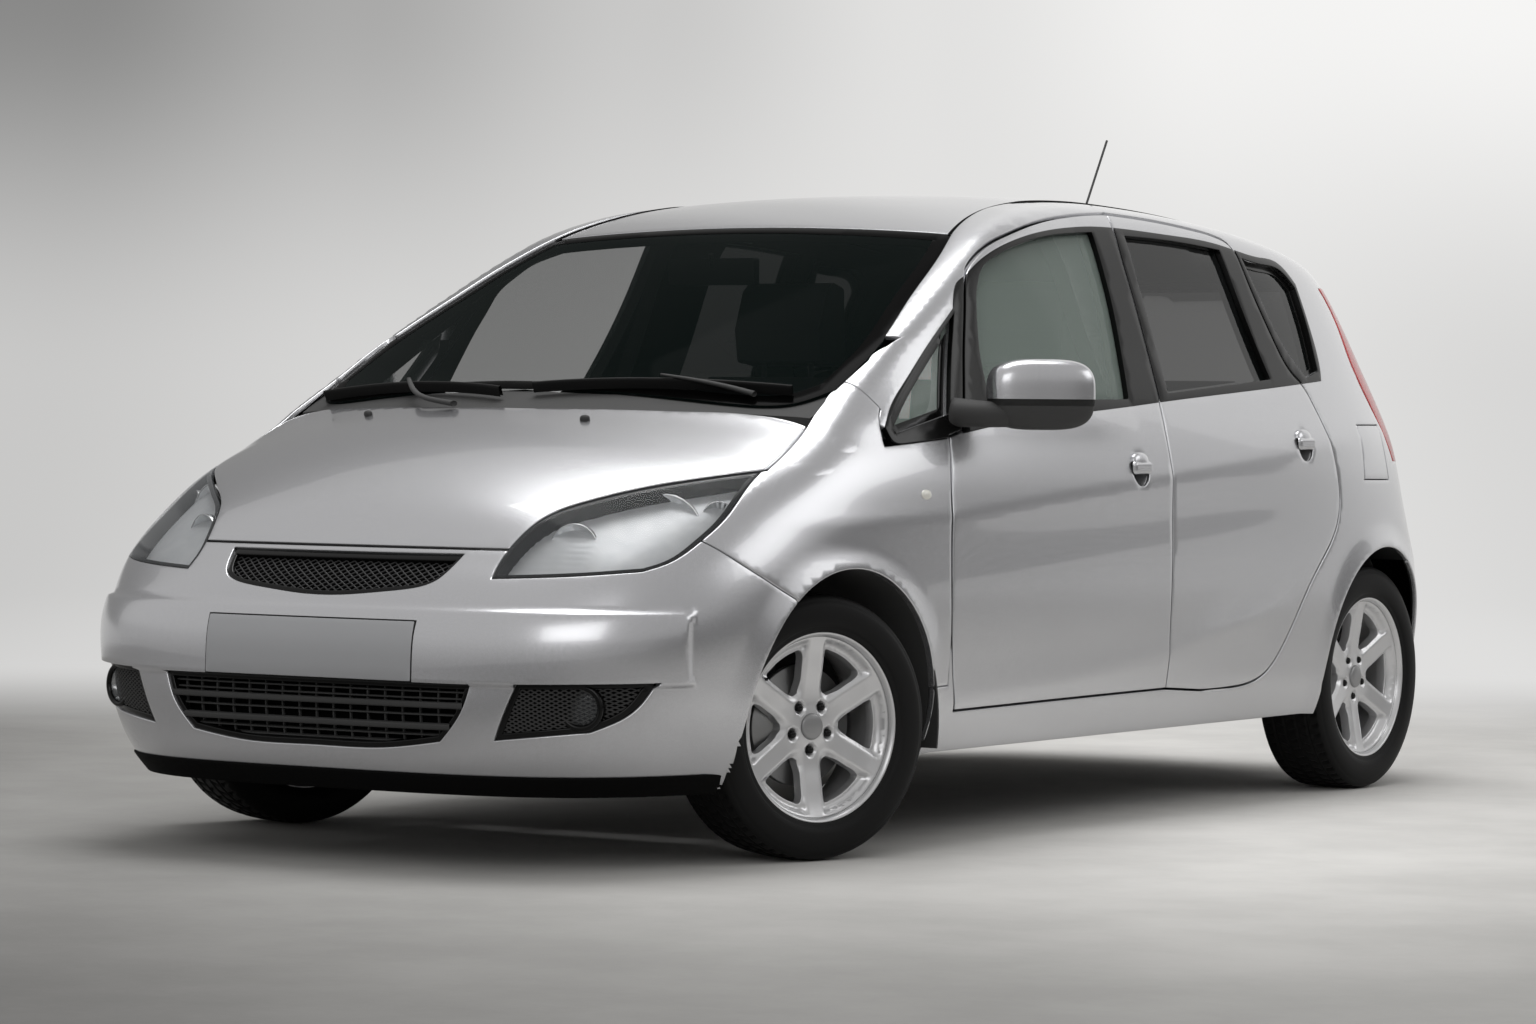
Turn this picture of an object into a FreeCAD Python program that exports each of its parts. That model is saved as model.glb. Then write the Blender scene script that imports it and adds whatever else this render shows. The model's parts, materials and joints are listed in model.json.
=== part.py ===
# Small five-door hatchback car, parked with its front wheels turned to its right.
# Frame: +X is the car's left, +Y its rear and +Z up, millimetres.
# The origin is on the ground, below the middle of the car's box.
import FreeCAD, Part
import os
from math import pi, sin, cos, sqrt, radians

V = FreeCAD.Vector

# Driving dimensions of the whole car
WHEELBASE = 2500.0
FRONT_OVERHANG = 813.0
REAR_OVERHANG = 557.0
NOSE_ROUND = 27.9
WIDTH = 1695.0
HEIGHT = 1472.0
HALF_WIDTH = WIDTH / 2
LENGTH = FRONT_OVERHANG + WHEELBASE + REAR_OVERHANG
FRONT_AXLE_Y = FRONT_OVERHANG - (LENGTH + NOSE_ROUND) / 2
REAR_AXLE_Y = FRONT_AXLE_Y + WHEELBASE

# Wheels, hubs and steering
TYRE_RADIUS = 283.0
TYRE_WIDTH = 186.0
RIM_RADIUS = 203.0
BEAD_RADIUS = 190.0
RIM_WIDTH = 165.0
RIM_WALL = 6.0
SPOKE_COUNT = 6
SPOKE_WIDTH = 52.0
SPOKE_DEPTH = 30.0
HUB_RADIUS = 66.0
CAP_RADIUS = 27.0
DISC_RADIUS = 128.0
DISC_WALL = 20.0
DISC_INSET = 58.0
STUB_RADIUS = 26.0
FRONT_TRACK = 1420.0
REAR_TRACK = 1410.0
KINGPIN_X = 655.0
STEER_DEG = 18.7
RUNNING_GAP = 5.5

# Panels, gaps and glass
WALL_LOW = 100.0
WALL_HIGH = 42.0
SKIN = 6.0
BONNET_WALL = 12.0
ROOF_WALL = 34.0
GATE_WALL = 46.0
GLASS_WALL = 4.0
GLASS_INSET = 12.0
SCREEN_WALL = 6.0
HALF_GAP = 3.0
BONNET_GAP = 5.0
SEAT_GAP = 0.3
PILLAR_GAP = 28.0
PILLAR_WALL = 42.0
FLOOR_Z = 222.0
FLOOR_WALL = 14.0
SILL_Z = 210.0
ARCH_RADIUS_FRONT = 335.0
ARCH_RADIUS_REAR = 331.0
ARCH_SHIFT = 13.0
LINER_WALL = 5.0
LINER_WIDTH = 350.0
LAMP_DEPTH = 70.0
OVERRUN = 400.0

# Body form, as shares of the height, the half width and the station along the car
HALF_WIDTH_SHARES = [
    (0.1019, 0.9086), (0.1461, 0.944), (0.2038, 0.9746), (0.2853, 0.9935), (0.3804, 1.0),
    (0.4755, 0.9959), (0.5571, 0.9841), (0.6114, 0.9652), (0.659, 0.9392), (0.7473, 0.8791),
    (0.8492, 0.8118), (0.9511, 0.7457), (1.019, 0.6962),
]
NOSE_SHARES = [
    (0.1019, -0.8954), (0.1461, -0.9446), (0.2038, -0.9717), (0.2717, -0.9791), (0.3397, -0.9791),
    (0.3804, -0.9631), (0.4212, -0.9422), (0.4565, -0.9053), (0.4891, -0.8585), (0.5435, -0.7601),
    (0.6114, -0.6125), (0.6793, -0.4403), (0.8152, -0.2189), (1.019, -0.0959),
]
TAIL_SHARES = [
    (0.1019, 1.8294), (0.1461, 1.9192), (0.2038, 1.9731), (0.3057, 2.0), (0.3804, 1.991),
    (0.4416, 1.9192), (0.5163, 1.8474), (0.6114, 1.7971), (0.7133, 1.7217), (0.8152, 1.623),
    (0.8832, 1.5422), (0.9511, 1.4165), (1.019, 1.2908),
]
TAPER_SHARES = [
    (0.1019, 0.012), (0.4755, 0.012), (0.5774, 0.03), (0.6793, 0.095), (0.8152, 0.1), (1.019, 0.1),
]
PROFILE_SHARES = [
    (-1.0308, 0.3533), (-0.9323, 0.4212), (-0.8266, 0.462), (-0.7109, 0.5177), (-0.5879, 0.5618),
    (-0.4649, 0.5958), (-0.3419, 0.6216), (-0.2189, 0.6433), (-0.1574, 0.6556), (-0.0713, 0.6739),
    (0.0088, 0.6957), (0.0688, 0.7412), (0.1688, 0.8179), (0.2688, 0.892), (0.3328, 0.9355),
    (0.4008, 0.9674), (0.4808, 0.9905), (0.5688, 1.0), (0.6688, 0.9986), (0.7688, 0.9898),
    (0.8888, 0.9694), (1.0395, 0.9389), (1.4883, 0.9062), (1.7576, 0.8818),
]
SWEEP_SHARES = [
    (-0.9569, 0.0), (-0.4649, 0.0678), (-0.1574, 0.2882), (0.0568, 0.2542), (0.2088, 0.1695),
    (0.3328, 0.1017), (0.4888, 0.0), (1.4883, 0.0848), (1.9372, 0.0848),
]
CROWN_SHARES = [
    (-0.9569, 0.0848), (-0.5879, 0.1271), (-0.2189, 0.0678), (0.0568, 0.0339), (0.2088, 0.0339),
    (0.3328, 0.0339), (0.4488, 0.0508), (0.6088, 0.0678), (1.4883, 0.0848), (1.9372, 0.0848),
]
ROUNDING_SHARES = [
    (-0.9569, 0.0306), (-0.4649, 0.0272), (-0.1574, 0.017), (0.0488, 0.0068), (0.2488, 0.0068),
    (0.4488, 0.0136), (0.8488, 0.0163), (1.5781, 0.0204),
]
SQUARENESS_SHARES = [
    (0.1019, 3.3), (0.2038, 3.7), (0.3804, 3.7), (0.462, 3.3), (0.5774, 2.7), (1.019, 2.6),
]
TAIL_SQUARENESS = 3.8
END_SQUARENESS = 8.0
TAIL_TAPER_SHARE = 0.15
WAIST_SHARE = 0.489
WAIST_RUN_SHARE = 0.52
SLOPE_SHARE = 0.9

# Ray map of the sides: where the rays start to fan out
FAN_FRONT_SHARE = -0.034
FAN_REAR_SHARE = 0.909
FAN_Z_SHARE = 0.577
FAN_TURN_SHARE = 0.944
FAN_RISE_SHARE = 0.4

# Side outlines, as runs of (station, height) shares
DOOR_FRONT_SHARES = [
    (0.1688, 0.2024), (0.1548, 0.2989), (0.1524, 0.4273), (0.156, 0.5156), (0.1716, 0.6087),
]
DOOR_BELT_SHARES = [(0.1716, 0.6087), (0.1928, 0.6162)]
DOOR_PILLAR_SHARES = [
    (0.1928, 0.6162), (0.2116, 0.6637), (0.2384, 0.7391), (0.2652, 0.8152), (0.282, 0.8539),
    (0.302, 0.875), (0.3356, 0.9001), (0.376, 0.9192), (0.4496, 0.945), (0.5128, 0.9586),
    (0.5856, 0.966),
]
DOOR_MIDDLE_SHARES = [
    (0.5856, 0.966), (0.5796, 0.9348), (0.5724, 0.8424), (0.5652, 0.7459), (0.5564, 0.663),
    (0.5512, 0.587), (0.5488, 0.5075), (0.5468, 0.4124), (0.5456, 0.3166), (0.5464, 0.2582),
    (0.55, 0.2065),
]
DOOR_SILL_SHARES = [(0.55, 0.2065), (0.3594, 0.205), (0.1688, 0.2024)]
REAR_TOP_SHARES = [
    (0.5856, 0.966), (0.6728, 0.9599), (0.7488, 0.9497), (0.7956, 0.9389), (0.8144, 0.9246),
    (0.8188, 0.9096),
]
REAR_BACK_SHARES = [
    (0.8188, 0.9096), (0.8232, 0.8438), (0.8344, 0.769), (0.85, 0.7133), (0.8648, 0.6929),
    (0.8752, 0.6603), (0.8856, 0.6012), (0.8948, 0.534), (0.8944, 0.4912), (0.8828, 0.4497),
    (0.8524, 0.4008), (0.8164, 0.3431), (0.7924, 0.2948), (0.7716, 0.2541), (0.7464, 0.2194),
    (0.7188, 0.2045), (0.6904, 0.1997), (0.6204, 0.1984),
]
REAR_SILL_SHARES = [(0.6204, 0.1984), (0.55, 0.2065)]
FRONT_GLASS_SHARES = [
    [(0.2508, 0.6596), (0.2612, 0.7317), (0.2856, 0.8224)],
    [(0.2856, 0.8224), (0.3068, 0.8602), (0.3408, 0.8852), (0.3876, 0.9056), (0.4608, 0.9253),
     (0.536, 0.9341)],
    [(0.536, 0.9341), (0.5268, 0.8139), (0.498, 0.6658)],
    [(0.498, 0.6658), (0.2508, 0.6596)],
]
REAR_GLASS_SHARES = [
    [(0.5964, 0.9314), (0.6888, 0.928), (0.7848, 0.9178)],
    [(0.7848, 0.9178), (0.7888, 0.8179), (0.7988, 0.7011)],
    [(0.7988, 0.7011), (0.5772, 0.676)],
    [(0.5772, 0.676), (0.5872, 0.7948), (0.5964, 0.9314)],
]
QUARTER_GLASS_SHARES = [
    [(0.8262, 0.9062), (0.8688, 0.8981), (0.9132, 0.8852), (0.93, 0.8601)],
    [(0.93, 0.8601), (0.9248, 0.788), (0.9132, 0.716)],
    [(0.9132, 0.716), (0.8798, 0.7044)],
    [(0.8798, 0.7044), (0.8524, 0.76), (0.8378, 0.8257), (0.8262, 0.9062)],
]
SAIL_GLASS_SHARES = [
    [(0.2428, 0.7956), (0.1824, 0.6404)],
    [(0.1824, 0.6404), (0.0888, 0.6107)],
    [(0.0888, 0.6107), (0.0928, 0.634)],
    [(0.0928, 0.634), (0.1312, 0.6773), (0.185, 0.735), (0.2428, 0.7956)],
]
FLAP_SHARES = [
    [(0.9608, 0.6264), (1.1113, 0.6264)], [(1.1113, 0.6264), (1.1293, 0.5312)],
    [(1.1293, 0.5312), (0.9568, 0.5326)], [(0.9568, 0.5326), (0.9608, 0.6264)],
]
FENDER_SHARES = [
    [(0.1524, 0.2418), (0.1499, 0.4273), (0.1535, 0.5156), (0.1691, 0.6057)],
    [(0.1691, 0.6057), (0.0696, 0.5938)],
    [(0.0696, 0.5938), (0.0788, 0.6386), (0.0848, 0.6481)],
    [(0.0848, 0.6481), (0.07, 0.6828), (0.05, 0.75)],
    [(0.05, 0.75), (-0.7, 0.75)],
    [(-0.7, 0.75), (-0.7, 0.51)],
    [(-0.7, 0.51), (-0.5203, 0.464), (-0.4379, 0.4334), (-0.3481, 0.4056), (-0.2632, 0.3804)],
    [(-0.2632, 0.3804), (-0.2, 0.2418)],
    [(-0.2, 0.2418), (0.1524, 0.2418)],
]

# Front outlines, as runs of (half width, height) shares on the car's left
LAMP_SHARES = [
    [(0.4755, 0.4096), (0.4696, 0.4327), (0.4791, 0.4586), (0.5133, 0.4932), (0.5805, 0.5143),
     (0.6761, 0.5333), (0.774, 0.5476), (0.8578, 0.5591)],
    [(0.8578, 0.5591), (0.8673, 0.5312), (0.8743, 0.4925), (0.8661, 0.464), (0.8425, 0.4341),
     (0.8071, 0.4219)],
    [(0.8071, 0.4219), (0.7091, 0.4164), (0.5959, 0.4124), (0.4755, 0.4096)],
]
BONNET_SHARES = [
    [(-0.4732, 0.4511), (0.4732, 0.4511)],
    [(0.4732, 0.4511), (0.4791, 0.462), (0.5133, 0.4959), (0.5805, 0.5177), (0.6761, 0.5367),
     (0.774, 0.551), (0.8578, 0.5625)],
    [(0.8578, 0.5625), (0.8472, 0.5971), (0.8248, 0.6359), (0.8189, 0.75)],
    [(0.8189, 0.75), (-0.8189, 0.75)],
    [(-0.8189, 0.75), (-0.8248, 0.6359), (-0.8472, 0.5971), (-0.8578, 0.5625)],
    [(-0.8578, 0.5625), (-0.774, 0.551), (-0.6761, 0.5367), (-0.5805, 0.5177), (-0.5133, 0.4959),
     (-0.4791, 0.462), (-0.4732, 0.4511)],
]
GRILLE_SHARES = [
    [(-0.3611, 0.4423), (0.3611, 0.4423)],
    [(0.3611, 0.4423), (0.3339, 0.409), (0.2336, 0.3913), (0.0, 0.3811), (-0.2336, 0.3913),
     (-0.3339, 0.409), (-0.3611, 0.4423)],
]
INTAKE_SHARES = [
    [(-0.4743, 0.2656), (0.4743, 0.2656)],
    [(0.4743, 0.2656), (0.4519, 0.2296), (0.3847, 0.1834)],
    [(0.3847, 0.1834), (0.2006, 0.1705), (0.0, 0.1698), (-0.2006, 0.1705), (-0.3847, 0.1834)],
    [(-0.3847, 0.1834), (-0.4519, 0.2296), (-0.4743, 0.2656)],
]
FOG_SHARES = [
    [(0.5912, 0.2677), (0.8578, 0.2711)],
    [(0.8578, 0.2711), (0.8142, 0.2262), (0.741, 0.2011)],
    [(0.741, 0.2011), (0.5286, 0.1875)], [(0.5286, 0.1875), (0.5912, 0.2677)],
]
FOG_LAMP_SHARES = (0.728, 0.236)
FOG_LAMP_RADIUS = 44.0

# Plan outlines, as (half width, station) shares on the car's left
COWL_LINE_SHARES = [
    (0.0, -0.1882), (0.0802, -0.1882), (0.3056, -0.1488), (0.5086, -0.0824), (0.6785, -0.0148),
    (0.8224, 0.0156),
]
SCREEN_BASE_SHARES = [
    (0.0, -0.064), (0.354, -0.0394), (0.59, -0.002), (0.7552, 0.0248), (0.8124, 0.0588),
]
SCREEN_SIDE_SHARES = [
    (0.8124, 0.0588), (0.8024, 0.136), (0.7528, 0.2116), (0.7127, 0.2756), (0.6572, 0.3368),
]
SCREEN_TOP_SHARES = [(0.6572, 0.3368), (0.3363, 0.332), (0.0, 0.3304)]
ROOF_SIDE_SHARES = [
    (0.6572, 0.3368), (0.6136, 0.4028), (0.5994, 0.4488), (0.5935, 0.4944), (0.59, 0.7688),
    (0.5782, 1.3268),
]

# Rear outlines, as (half width, height) shares
GATE_SHARES = [
    [(-0.6, 0.436), (0.6, 0.436)],
    [(0.6, 0.436), (0.66, 0.45), (0.695, 0.5)],
    [(0.695, 0.5), (0.7, 0.58), (0.68, 0.66), (0.645, 0.76), (0.6, 0.86), (0.578, 0.94)],
    [(0.578, 0.94), (-0.578, 0.94)],
    [(-0.578, 0.94), (-0.6, 0.86), (-0.645, 0.76), (-0.68, 0.66), (-0.7, 0.58), (-0.695, 0.5)],
    [(-0.695, 0.5), (-0.66, 0.45), (-0.6, 0.436)],
]
GATE_GLASS_SHARES = [
    [(-0.56, 0.65), (0.56, 0.65)], [(0.56, 0.65), (0.55, 0.74), (0.5, 0.865)],
    [(0.5, 0.865), (-0.5, 0.865)], [(-0.5, 0.865), (-0.55, 0.74), (-0.56, 0.65)],
]
TAIL_LAMP_SHARES = [
    [(0.655, 0.865), (0.665, 0.8), (0.685, 0.7), (0.71, 0.6), (0.73, 0.568)],
    [(0.73, 0.568), (0.82, 0.56), (0.905, 0.564)],
    [(0.905, 0.564), (0.883, 0.6), (0.855, 0.65), (0.826, 0.705), (0.78, 0.78), (0.754, 0.825),
     (0.735, 0.862)],
    [(0.735, 0.862), (0.655, 0.865)],
]


def along(share):
    """The station along the car: 0 at the front axle, 1 at the rear one, -1 and 2 at the ends."""
    if share < 0:
        return FRONT_AXLE_Y + FRONT_OVERHANG * share
    if share <= 1:
        return FRONT_AXLE_Y + WHEELBASE * share
    return REAR_AXLE_Y + REAR_OVERHANG * (share - 1)


def smooth(points):
    """A smooth curve through (place, value) points, straight beyond its ends."""
    places = [p[0] for p in points]
    values = [p[1] for p in points]
    count = len(points)
    steps = [places[i + 1] - places[i] for i in range(count - 1)]
    rises = [(values[i + 1] - values[i]) / steps[i] for i in range(count - 1)]
    slopes = [0.0] * count
    for i in range(1, count - 1):
        slopes[i] = (steps[i] * rises[i - 1] + steps[i - 1] * rises[i]) / (steps[i - 1] + steps[i])
    slopes[0] = (3 * rises[0] - slopes[1]) / 2
    slopes[-1] = (3 * rises[-1] - slopes[-2]) / 2

    def value(place):
        if place <= places[0]:
            return values[0] + slopes[0] * (place - places[0])
        if place >= places[-1]:
            return values[-1] + slopes[-1] * (place - places[-1])
        i = 0
        while place > places[i + 1]:
            i += 1
        s = (place - places[i]) / steps[i]
        return (values[i] * (1 + 2 * s) * (1 - s) ** 2 + steps[i] * slopes[i] * s * (1 - s) ** 2
                + values[i + 1] * s * s * (3 - 2 * s) + steps[i] * slopes[i + 1] * s * s * (s - 1))
    return value


def by_height(shares, scale=None):
    """Curve over the height, its values scaled, or stations where no scale is given."""
    return smooth([(HEIGHT * h, along(v) if scale is None else scale * v) for h, v in shares])


def by_station(shares, scale):
    return smooth([(along(u), scale * v) for u, v in shares])


half_width = by_height(HALF_WIDTH_SHARES, HALF_WIDTH)
nose = by_height(NOSE_SHARES)
tail = by_height(TAIL_SHARES)
taper = by_height(TAPER_SHARES, 1)
profile = by_station(PROFILE_SHARES, HEIGHT)
sweep = by_station(SWEEP_SHARES, HALF_WIDTH)
crown = by_station(CROWN_SHARES, HALF_WIDTH)
rounding = by_station(ROUNDING_SHARES, HEIGHT)
squareness = by_height(SQUARENESS_SHARES, 1)
WAIST_Y = along(WAIST_SHARE)
WAIST_RUN = WHEELBASE * WAIST_RUN_SHARE


def outside(x, y, z):
    """How far a point is outside the body form: a squared plan outline, rounded into the top."""
    run = ((y - WAIST_Y) / WAIST_RUN) ** 2
    if y < WAIST_Y:
        half = half_width(z) * (1 - taper(z) * min(run, 1 + 1 - SLOPE_SHARE / 2))
        reach = WAIST_Y - nose(z)
        power = squareness(z)
    else:
        half = half_width(z) * (1 - taper(z) * TAIL_TAPER_SHARE * run)
        reach = tail(z) - WAIST_Y
        power = TAIL_SQUARENESS
    across = abs(x) / half
    lengthwise = abs(y - WAIST_Y) / reach
    level = across ** power + lengthwise ** END_SQUARENESS
    slope_x = power * across ** (power - 1) / half
    slope_y = END_SQUARENESS * lengthwise ** (END_SQUARENESS - 1) / reach
    side = (level - 1) / (sqrt(slope_x ** 2 + slope_y ** 2) + 1 / (WHEELBASE * WHEELBASE))
    turn = (x / HALF_WIDTH) ** 2
    top = (z - profile(y - sweep(y) * turn) + crown(y) * turn) * SLOPE_SHARE
    if abs(side - top) > LENGTH:
        return max(side, top)
    return (side + top + sqrt((side - top) ** 2 + 4 * rounding(y) ** 2)) / 2


def meet(start, way, reach, march=36, halvings=22):
    """Where a ray that starts inside the form leaves it, as a distance along the ray."""
    near = 0.0
    for k in range(1, march + 1):
        far = reach * k / march
        if outside(start.x + way.x * far, start.y + way.y * far, start.z + way.z * far) > 0:
            break
        near = far
    for k in range(halvings):
        middle = (near + far) / 2
        if outside(start.x + way.x * middle, start.y + way.y * middle,
                   start.z + way.z * middle) > 0:
            far = middle
        else:
            near = middle
    return near


FAN_FRONT = along(FAN_FRONT_SHARE)
FAN_REAR = along(FAN_REAR_SHARE)
FAN_Z = HEIGHT * FAN_Z_SHARE
FAN_TURN = HALF_WIDTH * FAN_TURN_SHARE
FAN_RISE = HEIGHT * FAN_RISE_SHARE


def side_ray(s, v):
    """Ray to the left side: s runs along the car and round its corners, v runs up."""
    y = min(max(s, FAN_FRONT), FAN_REAR)
    azimuth = (s - y) / FAN_TURN
    z = min(v, FAN_Z)
    rise = (v - z) / FAN_RISE
    return V(0, y, z), V(cos(rise) * cos(azimuth), cos(rise) * sin(azimuth), sin(rise))


def end_ray(s, v, sign):
    """Ray to an end of the car: s runs across it from right to left."""
    corner = FAN_FRONT if sign < 0 else FAN_REAR
    quarter = pi / 2 * FAN_TURN
    start, way = side_ray(corner + sign * (quarter - abs(s)), v)
    if s < 0:
        way = V(-way.x, way.y, way.z)
    return start, way


def spread(low, high, count):
    return [low + (high - low) * i / (count - 1) for i in range(count)]


def surface(grid):
    patch = Part.BSplineSurface()
    patch.interpolate(grid)
    return patch.toShape()


def slab(ray, across, upward, outer, inner):
    """A thick curved panel: rays on a grid meet the form, and both faces lie along them."""
    out_grid = []
    in_grid = []
    for s in across:
        out_row = []
        in_row = []
        for v in upward:
            start, way = ray(s, v)
            far = meet(start, way, LENGTH / 2)
            hit = start + way * far
            out_row.append(hit - way * outer(hit))
            in_row.append(hit - way * inner(hit))
        out_grid.append(out_row)
        in_grid.append(in_row)
    outer_face = surface(out_grid)
    inner_face = surface(in_grid)
    rims = [Part.makeRuledSurface(one, two)
            for one, two in zip(outer_face.Edges, inner_face.Edges)]
    shell = Part.Shell([outer_face, inner_face] + rims)
    shell.sewShape()
    solid = Part.Solid(shell)
    if solid.Volume < 0:
        solid.reverse()
    return solid


def flat(value):
    return lambda point: value


def runs_to_points(runs, place):
    """Runs of share pairs to one closed loop of points, with a mark at each run's start."""
    loop = []
    for run in runs:
        for i, pair in enumerate(run[:-1]):
            loop.append((place(pair), i == 0))
    return loop


def grown(loop, offset):
    """The closed loop moved outwards by an offset, its corners mitred."""
    count = len(loop)
    area = sum(loop[i][0][0] * loop[(i + 1) % count][0][1]
               - loop[(i + 1) % count][0][0] * loop[i][0][1] for i in range(count))
    turn = 1 if area > 0 else -1
    moved = []
    for i in range(count):
        a = loop[i - 1][0]
        b = loop[i][0]
        c = loop[(i + 1) % count][0]
        one = unit(b[0] - a[0], b[1] - a[1])
        two = unit(c[0] - b[0], c[1] - b[1])
        normal = (one[1] + two[1], -one[0] - two[0])
        scale = turn * offset / (1 + one[0] * two[0] + one[1] * two[1])
        moved.append(((b[0] + normal[0] * scale, b[1] + normal[1] * scale), loop[i][1]))
    return moved


def unit(x, y):
    size = sqrt(x * x + y * y)
    return x / size, y / size


def wire(loop, lift):
    """A closed wire of smooth runs; lift places a pair of sizes in space."""
    count = len(loop)
    starts = [i for i in range(count) if loop[i][1]]
    edges = []
    for k, first in enumerate(starts):
        last = starts[(k + 1) % len(starts)]
        if last <= first:
            last += count
        points = [lift(loop[i % count][0]) for i in range(first, last + 1)]
        if len(points) == 2:
            edges.append(Part.makeLine(points[0], points[1]))
        else:
            curve = Part.BSplineCurve()
            curve.interpolate(points)
            edges.append(curve.toShape())
    return Part.Wire(edges)


def side_pair(pair):
    return along(pair[0]), HEIGHT * pair[1]


def end_pair(pair):
    return HALF_WIDTH * pair[0], HEIGHT * pair[1]


def side_cut(runs, offset=0.0, lean=0.0, low_x=0.0):
    """A bar along X with a side outline. A lean moves its inner end forwards."""
    loop = grown(runs_to_points(runs, side_pair), offset)
    if lean:
        loop = [((p[0] + lean * (HALF_WIDTH - side_x(p[0], p[1])), p[1]), mark)
                for p, mark in loop]
    depth = HALF_WIDTH + OVERRUN - low_x
    shift = lean * OVERRUN
    face = Part.Face(wire(loop, lambda p: V(HALF_WIDTH + OVERRUN, p[0] + shift, p[1])))
    return face.extrude(V(-depth, -lean * depth, 0))


def side_x(y, z):
    """Where the left side's outer face lies at a station and a height."""
    return meet(V(0, y, z), V(1, 0, 0), WIDTH)


def end_cut(runs, low_y, high_y, offset=0.0):
    """A bar along Y with a front or rear outline."""
    loop = grown(runs_to_points(runs, end_pair), offset)
    face = Part.Face(wire(loop, lambda p: V(p[0], low_y, p[1])))
    return face.extrude(V(0, high_y - low_y, 0))


def plan_cut(runs, offset=0.0):
    """A bar along Z with a plan outline."""
    loop = grown(runs_to_points(runs, lambda p: (HALF_WIDTH * p[0], along(p[1]))), offset)
    face = Part.Face(wire(loop, lambda p: V(p[0], p[1], 0)))
    return face.extrude(V(0, 0, HEIGHT + OVERRUN))


def mirrored(shape):
    return shape.mirror(V(0, 0, 0), V(1, 0, 0))


def block(low, high):
    return Part.makeBox(high[0] - low[0], high[1] - low[1], high[2] - low[2], V(*low))


def rod(radius, length, start, way):
    return Part.makeCylinder(radius, length, start, way)


def join(shapes):
    first = shapes[0]
    return first.fuse(shapes[1:]) if len(shapes) > 1 else first


def save(name, shape):
    solids = [s for s in shape.Solids if s.Volume > SKIN ** 3]
    whole = solids[0] if len(solids) == 1 else Part.makeCompound(solids)
    os.makedirs("parts", exist_ok=True)
    whole.exportStep("parts/" + name + ".step")
    print(name, len(solids), round(sum(s.Volume for s in solids) / 1e6, 2), whole.isValid())
    return whole


# The side wall, from which side frame and doors are cut
BELT_LOW_SHARE = 0.575
BELT_HIGH_SHARE = 0.68
CORNER_DEG = 58.0
ROOF_EDGE_DEG = 50.0
LEAN = 0.2
PILLAR_SHARES = (0.515, 0.6)
HINGE_PILLAR_SHARE = 0.107
FRONT_LIMIT_SHARE = 0.05
BAY_TOP_SHARE = 0.625
REAR_SEAM_SHARES = [
    [(1.2, 0.38), (1.45, 0.413), (1.75, 0.432), (2.4, 0.436)],
    [(2.4, 0.436), (2.4, 0.0)], [(2.4, 0.0), (1.2, 0.0)], [(1.2, 0.0), (1.2, 0.38)],
]


def wall(hit):
    """Depth of the side wall: full below the belt, thin beside the glass."""
    low = HEIGHT * BELT_LOW_SHARE
    t = min(max((hit.z - low) / (HEIGHT * BELT_HIGH_SHARE - low), 0), 1)
    return WALL_LOW + (WALL_HIGH - WALL_LOW) * t * t * (3 - 2 * t)


def heights(low, high_deg, low_count, high_count):
    """Places up the side: level rays up to the fan's height, then rays that rise."""
    rising = spread(FAN_Z, FAN_Z + FAN_RISE * radians(high_deg), high_count)
    return spread(low, FAN_Z, low_count) + rising[1:]


LENGTHWISE = (spread(along(FRONT_LIMIT_SHARE), FAN_REAR, 32)
              + spread(FAN_REAR, FAN_REAR + FAN_TURN * radians(CORNER_DEG), 16)[1:])
FRONT_DOOR = [DOOR_FRONT_SHARES, DOOR_BELT_SHARES, DOOR_PILLAR_SHARES, DOOR_MIDDLE_SHARES,
              DOOR_SILL_SHARES]
REAR_DOOR = [REAR_TOP_SHARES, REAR_BACK_SHARES, REAR_SILL_SHARES, DOOR_MIDDLE_SHARES[::-1]]


def both(runs):
    """A left half outline, from the centre line out and back, closed by its mirror image."""
    other = [[(-x, h) for x, h in run[::-1]] for run in runs[::-1]]
    return runs + other


SCREEN_RUNS = both([SCREEN_BASE_SHARES, SCREEN_SIDE_SHARES, SCREEN_TOP_SHARES])
ROOF_TOP = [(0.0, 0.3304), (0.3363, 0.332), (0.6572, 0.3368)]
ROOF_BACK = [(0.5782, 1.3268), (0.3, 1.36), (0.0, 1.37)]
ROOF_RUNS = both([ROOF_TOP, ROOF_SIDE_SHARES, ROOF_BACK])
SCREEN_CUT = plan_cut(SCREEN_RUNS)
ROOF_CUT = plan_cut(ROOF_RUNS)


def arch(centre_y, radius, inner_x):
    """The space of a wheel, as a bar along X with an open bottom."""
    round_bar = rod(radius, HALF_WIDTH + OVERRUN - inner_x, V(inner_x, centre_y, TYRE_RADIUS),
                    V(1, 0, 0))
    below = block((inner_x, centre_y - radius, -OVERRUN),
                  (HALF_WIDTH + OVERRUN, centre_y + radius, TYRE_RADIUS))
    return round_bar.fuse(below).removeSplitter()


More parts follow.
